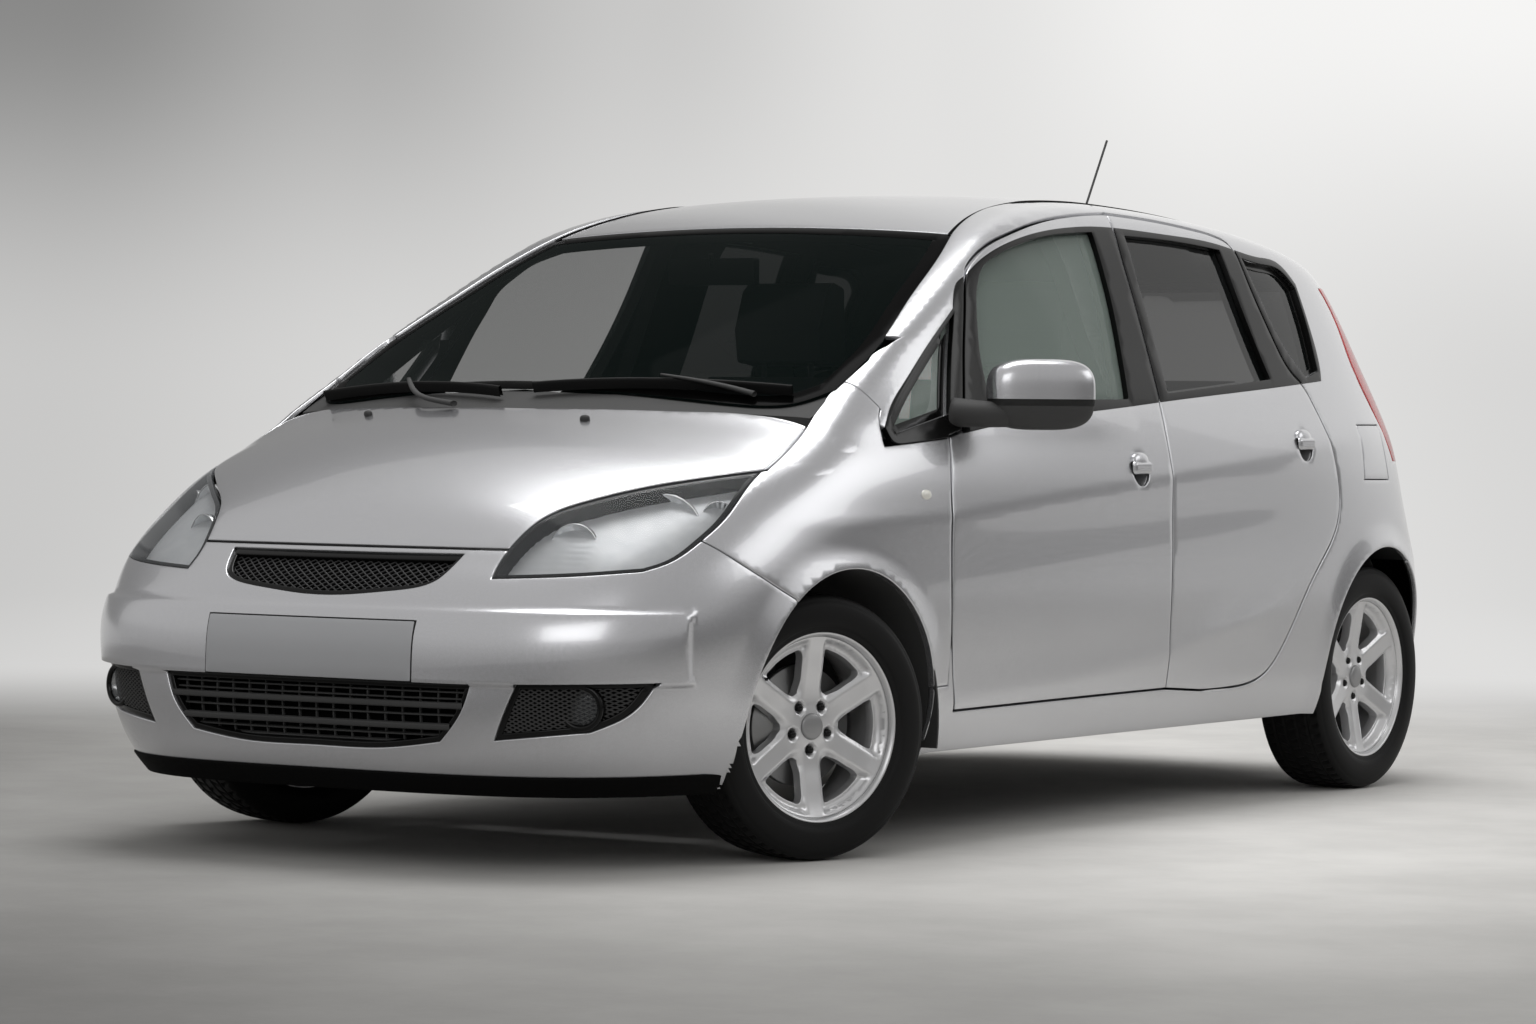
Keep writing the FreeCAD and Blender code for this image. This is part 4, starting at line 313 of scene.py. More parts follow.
half_width = by_height(HALF_WIDTH_SHARES, HALF_WIDTH)
nose = by_height(NOSE_SHARES)
tail = by_height(TAIL_SHARES)
taper = by_height(TAPER_SHARES, 1)
profile = by_station(PROFILE_SHARES, HEIGHT)
sweep = by_station(SWEEP_SHARES, HALF_WIDTH)
crown = by_station(CROWN_SHARES, HALF_WIDTH)
rounding = by_station(ROUNDING_SHARES, HEIGHT)
squareness = by_height(SQUARENESS_SHARES, 1)
WAIST_Y = float(along(WAIST_SHARE))
WAIST_RUN = WHEELBASE * WAIST_RUN_SHARE
FAN_FRONT = float(along(FAN_FRONT_SHARE))
FAN_REAR = float(along(FAN_REAR_SHARE))
FAN_Z = HEIGHT * FAN_Z_SHARE
FAN_TURN = HALF_WIDTH * FAN_TURN_SHARE
FAN_RISE = HEIGHT * FAN_RISE_SHARE


def outside(p):
    """How far each point lies outside the body form. The sides are a squared oval in plan,
    |x/half|^n + |y/reach|^8 = 1, and the top a swept profile; a rounded maximum joins them."""
    x, y, z = p[..., 0], p[..., 1], p[..., 2]
    run = ((y - WAIST_Y) / WAIST_RUN) ** 2
    front = y < WAIST_Y
    half = half_width(z) * (1 - taper(z) * np.where(
        front, np.minimum(run, 2 - SLOPE_SHARE / 2), TAIL_TAPER_SHARE * run))
    reach = np.where(front, WAIST_Y - nose(z), tail(z) - WAIST_Y)
    power = np.where(front, squareness(z), TAIL_SQUARENESS)
    across = np.maximum(np.abs(x) / half, 1e-9)
    lengthwise = np.abs(y - WAIST_Y) / reach
    level = across ** power + lengthwise ** END_SQUARENESS
    slope_x = power * across ** (power - 1) / half
    slope_y = END_SQUARENESS * lengthwise ** (END_SQUARENESS - 1) / reach
    side = (level - 1) / (np.hypot(slope_x, slope_y) + 1e-4)
    turn = (x / HALF_WIDTH) ** 2
    top = (z - profile(y - sweep(y) * turn) + crown(y) * turn) * SLOPE_SHARE
    return (side + top + np.sqrt((side - top) ** 2 + 4 * rounding(y) ** 2)) / 2


def meet(start, way, reach=LENGTH / 2, halvings=22):
    """Where rays that start inside the form leave it, found by halving their reach."""
    near = np.zeros(len(start))
    far = np.full(len(start), reach)
    for _ in range(halvings):
        middle = (near + far) / 2
        beyond = outside(start + way * middle[:, None]) > 0
        far = np.where(beyond, middle, far)
        near = np.where(beyond, near, middle)
    return start + way * near[:, None]


UP, LEFT, AHEAD, BACK = (0, 0, 1.0), (1.0, 0, 0), (0, -1.0, 0), (0, 1.0, 0)
NOSE_REACH = LENGTH * 0.56
INSIDE_Z = HEIGHT * 0.34
INSIDE_Y = WAIST_Y * 0.3


def cast(x, y, z, way, reach=LENGTH / 2):
    """Where rays one way from these places leave the form; x, y and z are numbers or arrays."""
    start = np.stack(np.broadcast_arrays(*np.atleast_1d(x, y, z)), -1).astype(float)
    return meet(start, np.broadcast_to(np.array(way), start.shape), reach)


def slope(p, step=0.0005):
    """Outward unit normals of the form, from central differences of its formula."""
    axes = np.eye(3) * step
    rise = np.stack([outside(p + a) - outside(p - a) for a in axes], -1)
    return rise / np.linalg.norm(rise, axis=-1, keepdims=True)


class SideMap:
    """Left side: s runs along the car and round its corners, v runs up the side."""

    def rays(self, s, v):
        y = np.clip(s, FAN_FRONT, FAN_REAR)
        azimuth = (s - y) / FAN_TURN
        z = np.minimum(v, FAN_Z)
        rise = (v - z) / FAN_RISE
        start = np.stack([np.zeros_like(y), y, z], -1)
        way = np.stack([np.cos(rise) * np.cos(azimuth), np.cos(rise) * np.sin(azimuth),
                        np.sin(rise)], -1)
        return start, way

    def place(self, p):
        x, y, z = p[..., 0], p[..., 1], p[..., 2]
        near = np.clip(y, FAN_FRONT, FAN_REAR)
        s = near + np.arctan2(y - near, x) * FAN_TURN
        rise = np.arctan2(z - FAN_Z, np.hypot(x, y - near))
        return s, np.where(z <= FAN_Z, z, FAN_Z + rise * FAN_RISE)


class EndMap:
    """An end of the car: s runs across it from right to left; sign is -1 at the front."""

    def __init__(self, sign):
        self.sign = sign
        self.corner = FAN_FRONT if sign < 0 else FAN_REAR
        self.quarter = QUARTER * FAN_TURN

    def rays(self, s, v):
        start, way = SIDE.rays(self.corner + self.sign * (self.quarter - np.abs(s)), v)
        way[..., 0] *= np.where(s < 0, -1, 1)
        return start, way

    def place(self, p):
        q = p * np.array([1.0, 1, 1])
        q[..., 0] = np.abs(p[..., 0])
        s, v = SIDE.place(q)
        return np.sign(p[..., 0]) * (self.quarter - (s - self.corner) * self.sign), v


class TopMap:
    """Roof, bonnet and windscreen: upright rays, s across and v along the car."""

    def rays(self, s, v):
        start = np.stack([s, v, np.full_like(s, INSIDE_Z)], -1)
        return start, np.broadcast_to(np.array(UP), start.shape)

    def place(self, p):
        return p[..., 0], p[..., 1]


SIDE, NOSE_END, TAIL_END, TOP = SideMap(), EndMap(-1), EndMap(1), TopMap()


def spline(points, spacing=0.006):
    """Points evenly along a natural cubic spline through the given ones, by chord length."""
    p = np.asarray(points, float)
    if len(p) == 2:
        count = max(2, int(np.linalg.norm(p[1] - p[0]) / spacing) + 1)
        return p[0] + (p[1] - p[0]) * np.linspace(0, 1, count)[:, None]
    t = np.concatenate([[0], np.cumsum(np.linalg.norm(np.diff(p, axis=0), axis=1))])
    n, h = len(p), np.diff(t)
    a = np.eye(n)
    rhs = np.zeros_like(p)
    for i in range(1, n - 1):
        a[i, i - 1:i + 2] = h[i - 1], 2 * (h[i - 1] + h[i]), h[i]
        rhs[i] = 6 * ((p[i + 1] - p[i]) / h[i] - (p[i] - p[i - 1]) / h[i - 1])
    m = np.linalg.solve(a, rhs)
    u = np.linspace(0, t[-1], max(3, int(t[-1] / spacing) + 1))
    i = np.clip(np.searchsorted(t, u) - 1, 0, n - 2)
    left, right, step = (u - t[i])[:, None], (t[i + 1] - u)[:, None], h[i][:, None]
    return (m[i] * right ** 3 / (6 * step) + m[i + 1] * left ** 3 / (6 * step)
            + (p[i] / step - m[i] * step / 6) * right
            + (p[i + 1] / step - m[i + 1] * step / 6) * left)


def loop_of(runs, place, offset=0.0):
    """Closed outline from runs of shares, moved outwards by an offset, corners mitred."""
    loop = np.concatenate([spline([place(q) for q in run])[:-1] for run in runs])
    before, after = np.roll(loop, 1, 0), np.roll(loop, -1, 0)
    area = np.sum(loop[:, 0] * after[:, 1] - after[:, 0] * loop[:, 1])
    one, two = loop - before, after - loop
    one /= np.linalg.norm(one, axis=1, keepdims=True) + 1e-12
    two /= np.linalg.norm(two, axis=1, keepdims=True) + 1e-12
    size = 1 + np.maximum(np.sum(one * two, 1), -0.7)
    normal = np.stack([one[:, 1] + two[:, 1], -one[:, 0] - two[:, 0]], -1)
    return loop + normal * (np.sign(area) * offset / size)[:, None]


def side_pair(pair):
    return float(along(pair[0])), HEIGHT * pair[1]


def end_pair(pair):
    return HALF_WIDTH * pair[0], HEIGHT * pair[1]


def plan_pair(pair):
    return HALF_WIDTH * pair[0], float(along(pair[1]))


def inside(loop, q):
    """Which points of a plane lie inside a closed outline, by counting crossings."""
    result = np.zeros(len(q), bool)
    a, b = loop, np.roll(loop, -1, 0)
    for k in range(0, len(q), 4096):
        x, y = q[k:k + 4096, 0][:, None], q[k:k + 4096, 1][:, None]
        crosses = (a[:, 1] > y) != (b[:, 1] > y)
        rise = np.where(b[:, 1] == a[:, 1], 1e-12, b[:, 1] - a[:, 1])
        where = a[:, 0] + (y - a[:, 1]) * (b[:, 0] - a[:, 0]) / rise
        result[k:k + 4096] = (np.sum(crosses & (x < where), 1) % 2) == 1
    return result


class Cutter:
    """An outline in one of three views: side (y, z), front or rear (x, z), plan (x, y)."""

    def __init__(self, view, loop, keep=False, half=1):
        self.view, self.keep, self.half = view, keep, half
        self.loop = loop * np.array([-1.0, 1]) if half < 0 and view != "side" else loop

    def on_form(self):
        """The outline laid on the form: 3-D points, and which of them reach it."""
        a, b = self.loop[:, 0], self.loop[:, 1]
        zero = np.zeros_like(a)
        start, way = {"side": ((zero, a, b), LEFT), "plan": ((a, b, zero + INSIDE_Z), UP),
                      "front": ((a, zero + INSIDE_Y, b), AHEAD),
                      "rear": ((a, zero + INSIDE_Y, b), BACK)}[self.view]
        good = outside(np.stack(start, -1)) < 0
        points = cast(*start, way, NOSE_REACH)
        if self.view == "side":
            points[:, 0] *= self.half
        return points, good

    def test(self, p):
        pair = {"side": (1, 2), "plan": (0, 1)}.get(self.view, (0, 2))
        hit = inside(self.loop, p[:, pair])
        if self.view == "front":
            hit &= p[:, 1] < 0
        if self.view == "rear":
            hit &= p[:, 1] > 0
        if self.view == "side" and self.keep:
            return hit | (p[:, 0] * self.half < 0)
        if self.view == "side":
            return ~(hit & (p[:, 0] * self.half > 0))
        return hit == self.keep


class Guide(Cutter):
    """A rectangle of corners laid on the form from in front; it cuts nothing, but the panel
    gets edges along it, so that a step between two of them is crisp."""

    def __init__(self, left, right, low, high, count=300, rungs=12):
        x, z = np.linspace(left, right, count), np.linspace(low, high, rungs)
        runs = [(x, np.full(count, low)), (np.full(rungs, right), z),
                (x[::-1], np.full(count, high)), (np.full(rungs, left), z[::-1])]
        super().__init__("front", np.concatenate([np.stack(run, -1)[:-1] for run in runs]))

    def test(self, p):
        return np.ones(len(p), bool)


def panel(ray_map, s_range, v_range, cutters, step=0.014, lift=0.0, detail=None):
    """A patch of the form between outlines. Grid points and the outlines are laid in the
    ray map's plane, joined into triangles there, and each corner goes out along its ray."""
    s_count = max(2, int((s_range[1] - s_range[0]) / step) + 1)
    v_count = max(2, int((v_range[1] - v_range[0]) / step) + 1)
    s, v = np.meshgrid(np.linspace(*s_range, s_count), np.linspace(*v_range, v_count))
    grid = np.stack([s.ravel(), v.ravel()], -1)
    lines, edges, count = [], [], 0
    for cutter in cutters:
        points, good = cutter.on_form()
        flat_s, flat_v = ray_map.place(points)
        q = np.stack([flat_s, flat_v], -1)
        good &= ((q[:, 0] > s_range[0] - 0.05) & (q[:, 0] < s_range[1] + 0.05)
                 & (q[:, 1] > v_range[0] - 0.05) & (q[:, 1] < v_range[1] + 0.05))
        following = np.roll(np.arange(len(q)), -1)
        gap = np.linalg.norm(q[following] - q, axis=1)
        both = good & good[following] & (gap < 0.06)
        index = np.cumsum(good) - 1 + count
        edges.append(np.stack([index[both], index[following][both]], -1))
        lines.append(q[good])
        count += int(good.sum())
    border = np.concatenate(lines) if lines else np.zeros((0, 2))
    edges = np.concatenate(edges) if edges else np.zeros((0, 2), int)
    if len(border):
        far = np.ones(len(grid), bool)
        for k in range(0, len(grid), 2048):
            gap = np.abs(grid[k:k + 2048, None, :] - border[None]).max(-1).min(1)
            far[k:k + 2048] = gap > step * 0.35
        on_rim = ((grid[:, 0] <= s_range[0]) | (grid[:, 0] >= s_range[1])
                  | (grid[:, 1] <= v_range[0]) | (grid[:, 1] >= v_range[1]))
        grid = grid[far | on_rim]
    flat = np.concatenate([border, grid])
    made = delaunay_2d_cdt([Vector(q) for q in flat], [tuple(map(int, e)) for e in edges], [], 0,
                           1e-6, False)
    q = np.array([tuple(p) for p in made[0]])
    faces = np.array(made[2])
    start, way = ray_map.rays(q[:, 0], q[:, 1])
    points = meet(start, way)
    middle = points[faces].mean(1)
    centre = q[faces].mean(1)
    keep = ((centre[:, 0] > s_range[0]) & (centre[:, 0] < s_range[1])
            & (centre[:, 1] > v_range[0]) & (centre[:, 1] < v_range[1]))
    for cutter in cutters:
        keep &= cutter.test(middle)
    faces = faces[keep]
    used, faces = np.unique(faces, return_inverse=True)
    faces = faces.reshape(-1, 3)
    points = points[used]
    normals = slope(points)
    a, b, c = (points[faces[:, k]] for k in range(3))
    area = np.linalg.norm(np.cross(b - a, c - a), axis=1)
    good = area > 1e-9
    faces = faces[good]
    facing = np.sum(np.cross(b - a, c - a)[good] * normals[faces[:, 0]], 1) < 0
    faces[facing] = faces[facing][:, ::-1]
    if detail is not None:
        points = points + normals * detail(points)[:, None]
    return points + normals * lift, faces, normals


def hemmed(points, faces, normals, radius=0.0025, depth=0.01, rings=4):
    """Adds a rounded edge: from each rim corner an arc of that radius turns inwards, then a
    straight wall of that depth. Ring k lies at out*r*sin(a) - normal*r*(1-cos(a))."""
    edges = np.concatenate([faces[:, [0, 1]], faces[:, [1, 2]], faces[:, [2, 0]]])
    key = edges[:, 0] * len(points) + edges[:, 1]
    back = edges[:, 1] * len(points) + edges[:, 0]
    rim = edges[~np.isin(key, back)]
    out = np.zeros_like(points)
    way = points[rim[:, 1]] - points[rim[:, 0]]
    side = np.cross(way, normals[rim[:, 0]] + normals[rim[:, 1]])
    side /= np.linalg.norm(side, axis=1, keepdims=True) + 1e-12
    np.add.at(out, rim[:, 0], side)
    np.add.at(out, rim[:, 1], side)
    corners = np.unique(rim)
    size = np.linalg.norm(out[corners], axis=1, keepdims=True)
    outward = out[corners] / (size + 1e-12)
    place = np.full(len(points), -1)
    place[corners] = np.arange(len(corners))
    angles = np.linspace(0, QUARTER, rings + 1)[1:]
    rows = [points[corners] + outward * radius * sin(a) - normals[corners] * radius * (1 - cos(a))
            for a in angles]
    rows.append(rows[-1] - normals[corners] * depth)
    total = np.concatenate([points] + rows)
    quads = []
    first, second = place[rim[:, 0]], place[rim[:, 1]]
    for k in range(len(rows)):
        low = len(points) + (k - 1) * len(corners)
        high = len(points) + k * len(corners)
        a = rim[:, 0] if k == 0 else low + first
        b = rim[:, 1] if k == 0 else low + second
        quads.append(np.stack([b, a, high + first, high + second], -1))
    return total, faces, np.concatenate(quads)


def build(name, points, triangles=None, quads=None, material=None, body="car_body", slot=None,
          mirror=False):
    """One smooth-shaded piece from corner points, triangles and quads; mirror flips it in X."""
    points = np.array(points, float)
    triangles = np.zeros((0, 3), int) if triangles is None else np.array(triangles)
    quads = np.zeros((0, 4), int) if quads is None else np.array(quads)
    if mirror:
        points = points * np.array([-1.0, 1, 1])
        triangles, quads = triangles[:, ::-1], quads[:, ::-1]
    mesh = bpy.data.meshes.new(name)
    mesh.vertices.add(len(points))
    mesh.vertices.foreach_set("co", points.ravel())
    corners = np.concatenate([triangles.ravel(), quads.ravel()]).astype(np.int32)
    mesh.loops.add(len(corners))
    mesh.loops.foreach_set("vertex_index", corners)
    sizes = np.concatenate([np.full(len(triangles), 3), np.full(len(quads), 4)])
    starts = np.concatenate([[0], np.cumsum(sizes)[:-1]]).astype(np.int32)
    mesh.polygons.add(len(sizes))
    mesh.polygons.foreach_set("loop_start", starts)
    mesh.update(calc_edges=True)
    mesh.validate()
    mesh.shade_smooth()
    piece = bpy.data.objects.new(name, mesh)
    bpy.context.scene.collection.objects.link(piece)
    if material:
        mesh.materials.append(bpy.data.materials[material])
    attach(piece, body)
    return piece


def add(parts):
    """Joins several (points, triangles, quads) into one."""
    points, triangles, quads, count = [], [], [], 0
    for p, t, q in parts:
        points.append(np.asarray(p, float).reshape(-1, 3))
        if t is not None and len(t):
            triangles.append(np.asarray(t) + count)
        if q is not None and len(q):
            quads.append(np.asarray(q) + count)
        count += len(points[-1])
    return (np.concatenate(points), np.concatenate(triangles) if triangles else None,
            np.concatenate(quads) if quads else None)


# Finishes
def node(tree, kind, **values):
    made = tree.nodes.new(kind)
    for key, value in values.items():
        if hasattr(made, key):
            setattr(made, key, value)
        else:
            made.inputs[key.replace("_", " ")].default_value = value
    return made


def finish(name, colour, metallic=0.0, rough=(0.4, 0.5), coat=0.0, coat_rough=0.03, grain=0.0,
           size=400.0, other=None, vary=3.0, alpha=1.0, ior=1.5, sheen=0.0, specular=0.5,
           dense=1.0):
    """A material: colour drifts between two tones, roughness follows a finer noise, and the
    same noise gives the grain's bump. Glass grows denser towards grazing angles."""
    material = bpy.data.materials.new(name)
    material.use_nodes = True
    tree = material.node_tree
    shader = tree.nodes["Principled BSDF"]
    shader.inputs["Metallic"].default_value = metallic
    shader.inputs["IOR"].default_value = ior
    shader.inputs["Coat Weight"].default_value = coat
    shader.inputs["Coat Roughness"].default_value = coat_rough
    shader.inputs["Sheen Weight"].default_value = sheen
    shader.inputs["Specular IOR Level"].default_value = specular
    place = node(tree, "ShaderNodeTexCoord").outputs["Object"]
    drift = node(tree, "ShaderNodeTexNoise", Scale=vary, Detail=3.0)
    fine = node(tree, "ShaderNodeTexNoise", Scale=size, Detail=2.0)
    tree.links.new(place, drift.inputs["Vector"])
    tree.links.new(place, fine.inputs["Vector"])
    mix = node(tree, "ShaderNodeMix", data_type="RGBA")
    second = other or [min(1.0, c * 0.9) for c in colour]
    mix.inputs[6].default_value = (*colour, 1)
    mix.inputs[7].default_value = (*second, 1)
    tree.links.new(drift.outputs["Fac"], mix.inputs[0])
    tree.links.new(mix.outputs[2], shader.inputs["Base Color"])
    spread = node(tree, "ShaderNodeMapRange")
    spread.inputs["To Min"].default_value, spread.inputs["To Max"].default_value = rough
    tree.links.new(fine.outputs["Fac"], spread.inputs["Value"])
    tree.links.new(spread.outputs["Result"], shader.inputs["Roughness"])
    if grain:
        bump = node(tree, "ShaderNodeBump", Strength=grain, Distance=0.00012)
        tree.links.new(fine.outputs["Fac"], bump.inputs["Height"])
        tree.links.new(bump.outputs["Normal"], shader.inputs["Normal"])
    if alpha < 1:
        fresnel = node(tree, "ShaderNodeFresnel", IOR=1.5)
        density = node(tree, "ShaderNodeMapRange")
        density.inputs["To Min"].default_value = alpha
        density.inputs["To Max"].default_value = dense
        tree.links.new(fresnel.outputs["Fac"], density.inputs["Value"])
        tree.links.new(density.outputs["Result"], shader.inputs["Alpha"])
    return material


def shell(name, paint, lining):
    """Paint on the faces that point away from the car's middle, dark lining on the others:
    the object normal is set against the slope of an ellipsoid about the car."""
    material = finish(name, paint, metallic=0.85, rough=(0.24, 0.3), coat=1.0, grain=0.02,
                      size=2500.0, vary=1.2)
    tree = material.node_tree
    shader = tree.nodes["Principled BSDF"]
    coordinates = node(tree, "ShaderNodeTexCoord")
    way = node(tree, "ShaderNodeVectorMath", operation="SUBTRACT")
    tree.links.new(coordinates.outputs["Object"], way.inputs[0])
    way.inputs[1].default_value = (0.0, 0.1, 0.72)
    scaled = node(tree, "ShaderNodeVectorMath", operation="MULTIPLY")
    tree.links.new(way.outputs[0], scaled.inputs[0])
    scaled.inputs[1].default_value = (1.4, 0.28, 1.6)
    unit = node(tree, "ShaderNodeVectorMath", operation="NORMALIZE")
    tree.links.new(scaled.outputs[0], unit.inputs[0])
    dot = node(tree, "ShaderNodeVectorMath", operation="DOT_PRODUCT")
    tree.links.new(coordinates.outputs["Normal"], dot.inputs[0])
    tree.links.new(unit.outputs[0], dot.inputs[1])
    step = node(tree, "ShaderNodeMath", operation="GREATER_THAN")
    step.inputs[1].default_value = 0.16
    tree.links.new(dot.outputs["Value"], step.inputs[0])
    inner = node(tree, "ShaderNodeBsdfPrincipled")
    inner.inputs["Base Color"].default_value = (*lining, 1)
    inner.inputs["Roughness"].default_value = 0.7
    inner.inputs["Specular IOR Level"].default_value = 0.15
    mix = node(tree, "ShaderNodeMixShader")
    tree.links.new(step.outputs[0], mix.inputs[0])
    tree.links.new(inner.outputs[0], mix.inputs[1])
    tree.links.new(shader.outputs[0], mix.inputs[2])
    tree.links.new(mix.outputs[0], tree.nodes["Material Output"].inputs["Surface"])
    return material


def make_finishes(colours):
    paint = tuple(colours.paint)
    finish("silver_paint", paint, metallic=0.85, rough=(0.24, 0.3), coat=1.0, grain=0.02,
           size=2500.0, vary=1.2)
    shell("shell_paint", paint, (0.006, 0.006, 0.006))
    finish("green_glass", (0.006, 0.013, 0.011), rough=(0.01, 0.02), alpha=0.45, dense=0.8,
           specular=0.2)
    finish("screen_glass", (0.003, 0.006, 0.0055), rough=(0.01, 0.02), alpha=0.62, dense=0.8,
           specular=0.01)
    finish("screen_black", (0.002, 0.002, 0.002), specular=0.01, rough=(0.1, 0.2))
    finish("dark_glass", (0.004, 0.005, 0.005), rough=(0.01, 0.02), alpha=0.72, dense=0.95,
           specular=0.4)
    finish("clear_glass", (0.5, 0.52, 0.54), rough=(0.01, 0.02), alpha=0.05, dense=0.6)
    finish("red_glass", (0.36, 0.006, 0.012), rough=(0.03, 0.05), coat=1.0, alpha=0.93)
    finish("black_plastic", (0.003, 0.003, 0.0032), specular=0.12, rough=(0.45, 0.6),
           grain=0.25, size=900.0, other=(0.006, 0.006, 0.006))
    # Matte near-black: the roof strips' own colour, and painted shade on the sheets behind the
    # grille, intake and fog openings.
    finish("matte_black_and_painted_shade", (0.0015, 0.0015, 0.0015), specular=0.03, rough=(0.7, 0.8))
    finish("mesh_grey", (0.02, 0.02, 0.021), specular=0.4, rough=(0.3, 0.4))
    finish("plate_grey", (0.42, 0.425, 0.44), metallic=0.5, rough=(0.35, 0.42), size=900.0,
           vary=2.0)
    finish("gloss_black", (0.003, 0.003, 0.003), specular=0.22, rough=(0.12, 0.2), size=120.0)
    finish("rubber", (0.004, 0.004, 0.0042), specular=0.16, rough=(0.5, 0.65), grain=0.3,
           size=700.0, other=(0.008, 0.008, 0.008))
    finish("wheel_silver", (0.66, 0.66, 0.67), metallic=0.7, rough=(0.28, 0.36), coat=0.6,
           grain=0.02, size=1500.0)
    finish("grey_iron", (0.05, 0.048, 0.045), metallic=0.7, rough=(0.4, 0.6), grain=0.3,
           size=300.0, other=(0.03, 0.027, 0.025))
    finish("bright_iron", (0.3, 0.3, 0.3), metallic=0.9, rough=(0.3, 0.42), grain=0.1,
           size=200.0)
    finish("dark_under", (0.003, 0.003, 0.003), specular=0.05, rough=(0.6, 0.8), grain=0.3,
           size=150.0)
    finish("cast_alloy", (0.22, 0.22, 0.225), metallic=0.8, rough=(0.45, 0.6), grain=0.3,
           size=250.0)
    finish("dull_steel", (0.2, 0.185, 0.17), metallic=0.8, rough=(0.4, 0.6), grain=0.2,
           size=200.0, other=(0.13, 0.1, 0.08))
    finish("seat_cloth", (0.012, 0.012, 0.014), specular=0.1, rough=(0.8, 0.95), grain=0.6,
           size=1200.0, other=(0.018, 0.018, 0.021), sheen=0.2)
    finish("cabin_plastic", (0.008, 0.0085, 0.009), specular=0.1, rough=(0.5, 0.65), grain=0.4,
           size=800.0)
    finish("cap_grey", (0.3, 0.3, 0.305), metallic=0.6, rough=(0.35, 0.45), coat=0.4, size=300.0)
    finish("lamp_chrome", (0.86, 0.87, 0.88), metallic=0.9, rough=(0.1, 0.2), size=60.0,
           grain=0.1)
    finish("lamp_silver", (0.7, 0.71, 0.72), metallic=0.35, rough=(0.25, 0.4), size=60.0,
           other=(0.5, 0.52, 0.54), vary=25.0)
    finish("amber", (0.8, 0.26, 0.05), rough=(0.1, 0.2), coat=0.5)
    finish("lamp_white", (0.75, 0.74, 0.68), rough=(0.15, 0.25), coat=0.5)


CAD_FINISHES = {
    "body_paint": "shell_paint", "green_glass": "green_glass", "privacy_glass": "dark_glass",
    "black_plastic": "black_plastic", "lamp_glass": "clear_glass", "red_glass": "red_glass",
    "dark_floor": "dark_under", "engine_alloy": "cast_alloy", "chassis_iron": "grey_iron",
    "exhaust_steel": "dull_steel", "knuckle_iron": "grey_iron", "tyre": "rubber",
    "wheel_alloy": "wheel_silver", "grip_leather": "cabin_plastic", "seat_cloth": "seat_cloth",
    "mirror_plastic": "gloss_black",
}


# Outlines shared by the panels
RIM = 0.002
ARCH_SHIFT = 0.013
ARCH_RADIUS_FRONT = 0.335
ARCH_RADIUS_REAR = 0.331
FRONT_DOOR = [DOOR_FRONT_SHARES, DOOR_BELT_SHARES, DOOR_PILLAR_SHARES, DOOR_MIDDLE_SHARES,
              DOOR_SILL_SHARES]
REAR_DOOR = [REAR_TOP_SHARES, REAR_BACK_SHARES, REAR_SILL_SHARES, DOOR_MIDDLE_SHARES[::-1]]
REAR_SEAM_SHARES = [
    [(1.2, 0.38), (1.45, 0.413), (1.75, 0.432), (2.4, 0.436)],
    [(2.4, 0.436), (2.4, 0.0)], [(2.4, 0.0), (1.2, 0.0)], [(1.2, 0.0), (1.2, 0.38)],
]
ROOF_TOP = [(0.0, 0.3304), (0.3363, 0.332), (0.6572, 0.3368)]
ROOF_BACK = [(0.5782, 1.3268), (0.3, 1.36), (0.0, 1.37)]
BONNET_PLAN_SHARES = [[(0.0, -1.2), (0.9, -1.2)], [(0.9, -1.2), (0.9, 0.0006)],
                      [(0.9, 0.0006), (0.6785, -0.0248), (0.5086, -0.0924), (0.3056, -0.1588),
                       (0.0802, -0.1982), (0.0, -0.1982)]]
HANDLE_SHARES = {"front": (0.49, 0.556), "rear": (0.8276, 0.592)}
CUP_RADIUS = 0.042
SILL_Z = 0.21
CORNER_DEG = 58.0
ROOF_EDGE_DEG = 50.0


WINDOW_LINE = [
    [(0.2428, 0.8), (0.262, 0.838), (0.2756, 0.848), (0.3, 0.8665), (0.3356, 0.8895),
     (0.3856, 0.9115), (0.4608, 0.932), (0.536, 0.942), (0.5964, 0.942), (0.6888, 0.9365),
     (0.7848, 0.9265), (0.8262, 0.9165), (0.8688, 0.9085), (0.9172, 0.895), (0.935, 0.866)],
    [(0.935, 0.866), (0.931, 0.8), (0.9186, 0.716), (0.9124, 0.7011)],
    [(0.9124, 0.7011), (0.7968, 0.6882), (0.5584, 0.663), (0.4212, 0.6467), (0.2596, 0.6264),
     (0.1732, 0.6087)],
    [(0.1732, 0.6087), (0.1, 0.5995), (0.084, 0.604), (0.0805, 0.622)],
    [(0.0805, 0.622), (0.0928, 0.641), (0.1312, 0.6843), (0.185, 0.742), (0.2428, 0.8)],
]


def both(runs):
    """A left half outline closed by its mirror image."""
    return runs + [[(-x, h) for x, h in run[::-1]] for run in runs[::-1]]


ROOF_RUNS = both([ROOF_TOP, ROOF_SIDE_SHARES, ROOF_BACK])
SCREEN_RUNS = both([SCREEN_BASE_SHARES, SCREEN_SIDE_SHARES, SCREEN_TOP_SHARES])
DOORS = (("front", FRONT_DOOR, FRONT_GLASS_SHARES), ("rear", REAR_DOOR, REAR_GLASS_SHARES))
SIDES = ((False, "left"), (True, "right"))


def circle(y, z, radius, count=96):
    angle = np.linspace(0, 2 * pi, count, endpoint=False)
    return np.stack([y + radius * np.cos(angle), z + radius * np.sin(angle)], -1)


def arch_loop(centre_y, radius):
    """A wheel arch in side view: half a circle over the wheel's centre, open below."""
    angle = np.linspace(0, pi, 100)
    arc = np.stack([centre_y + radius * np.cos(angle), TYRE_RADIUS + radius * np.sin(angle)], -1)
    low = np.array([[centre_y - radius, 0.0], [centre_y + radius, 0.0]])
    return np.concatenate([arc, low])


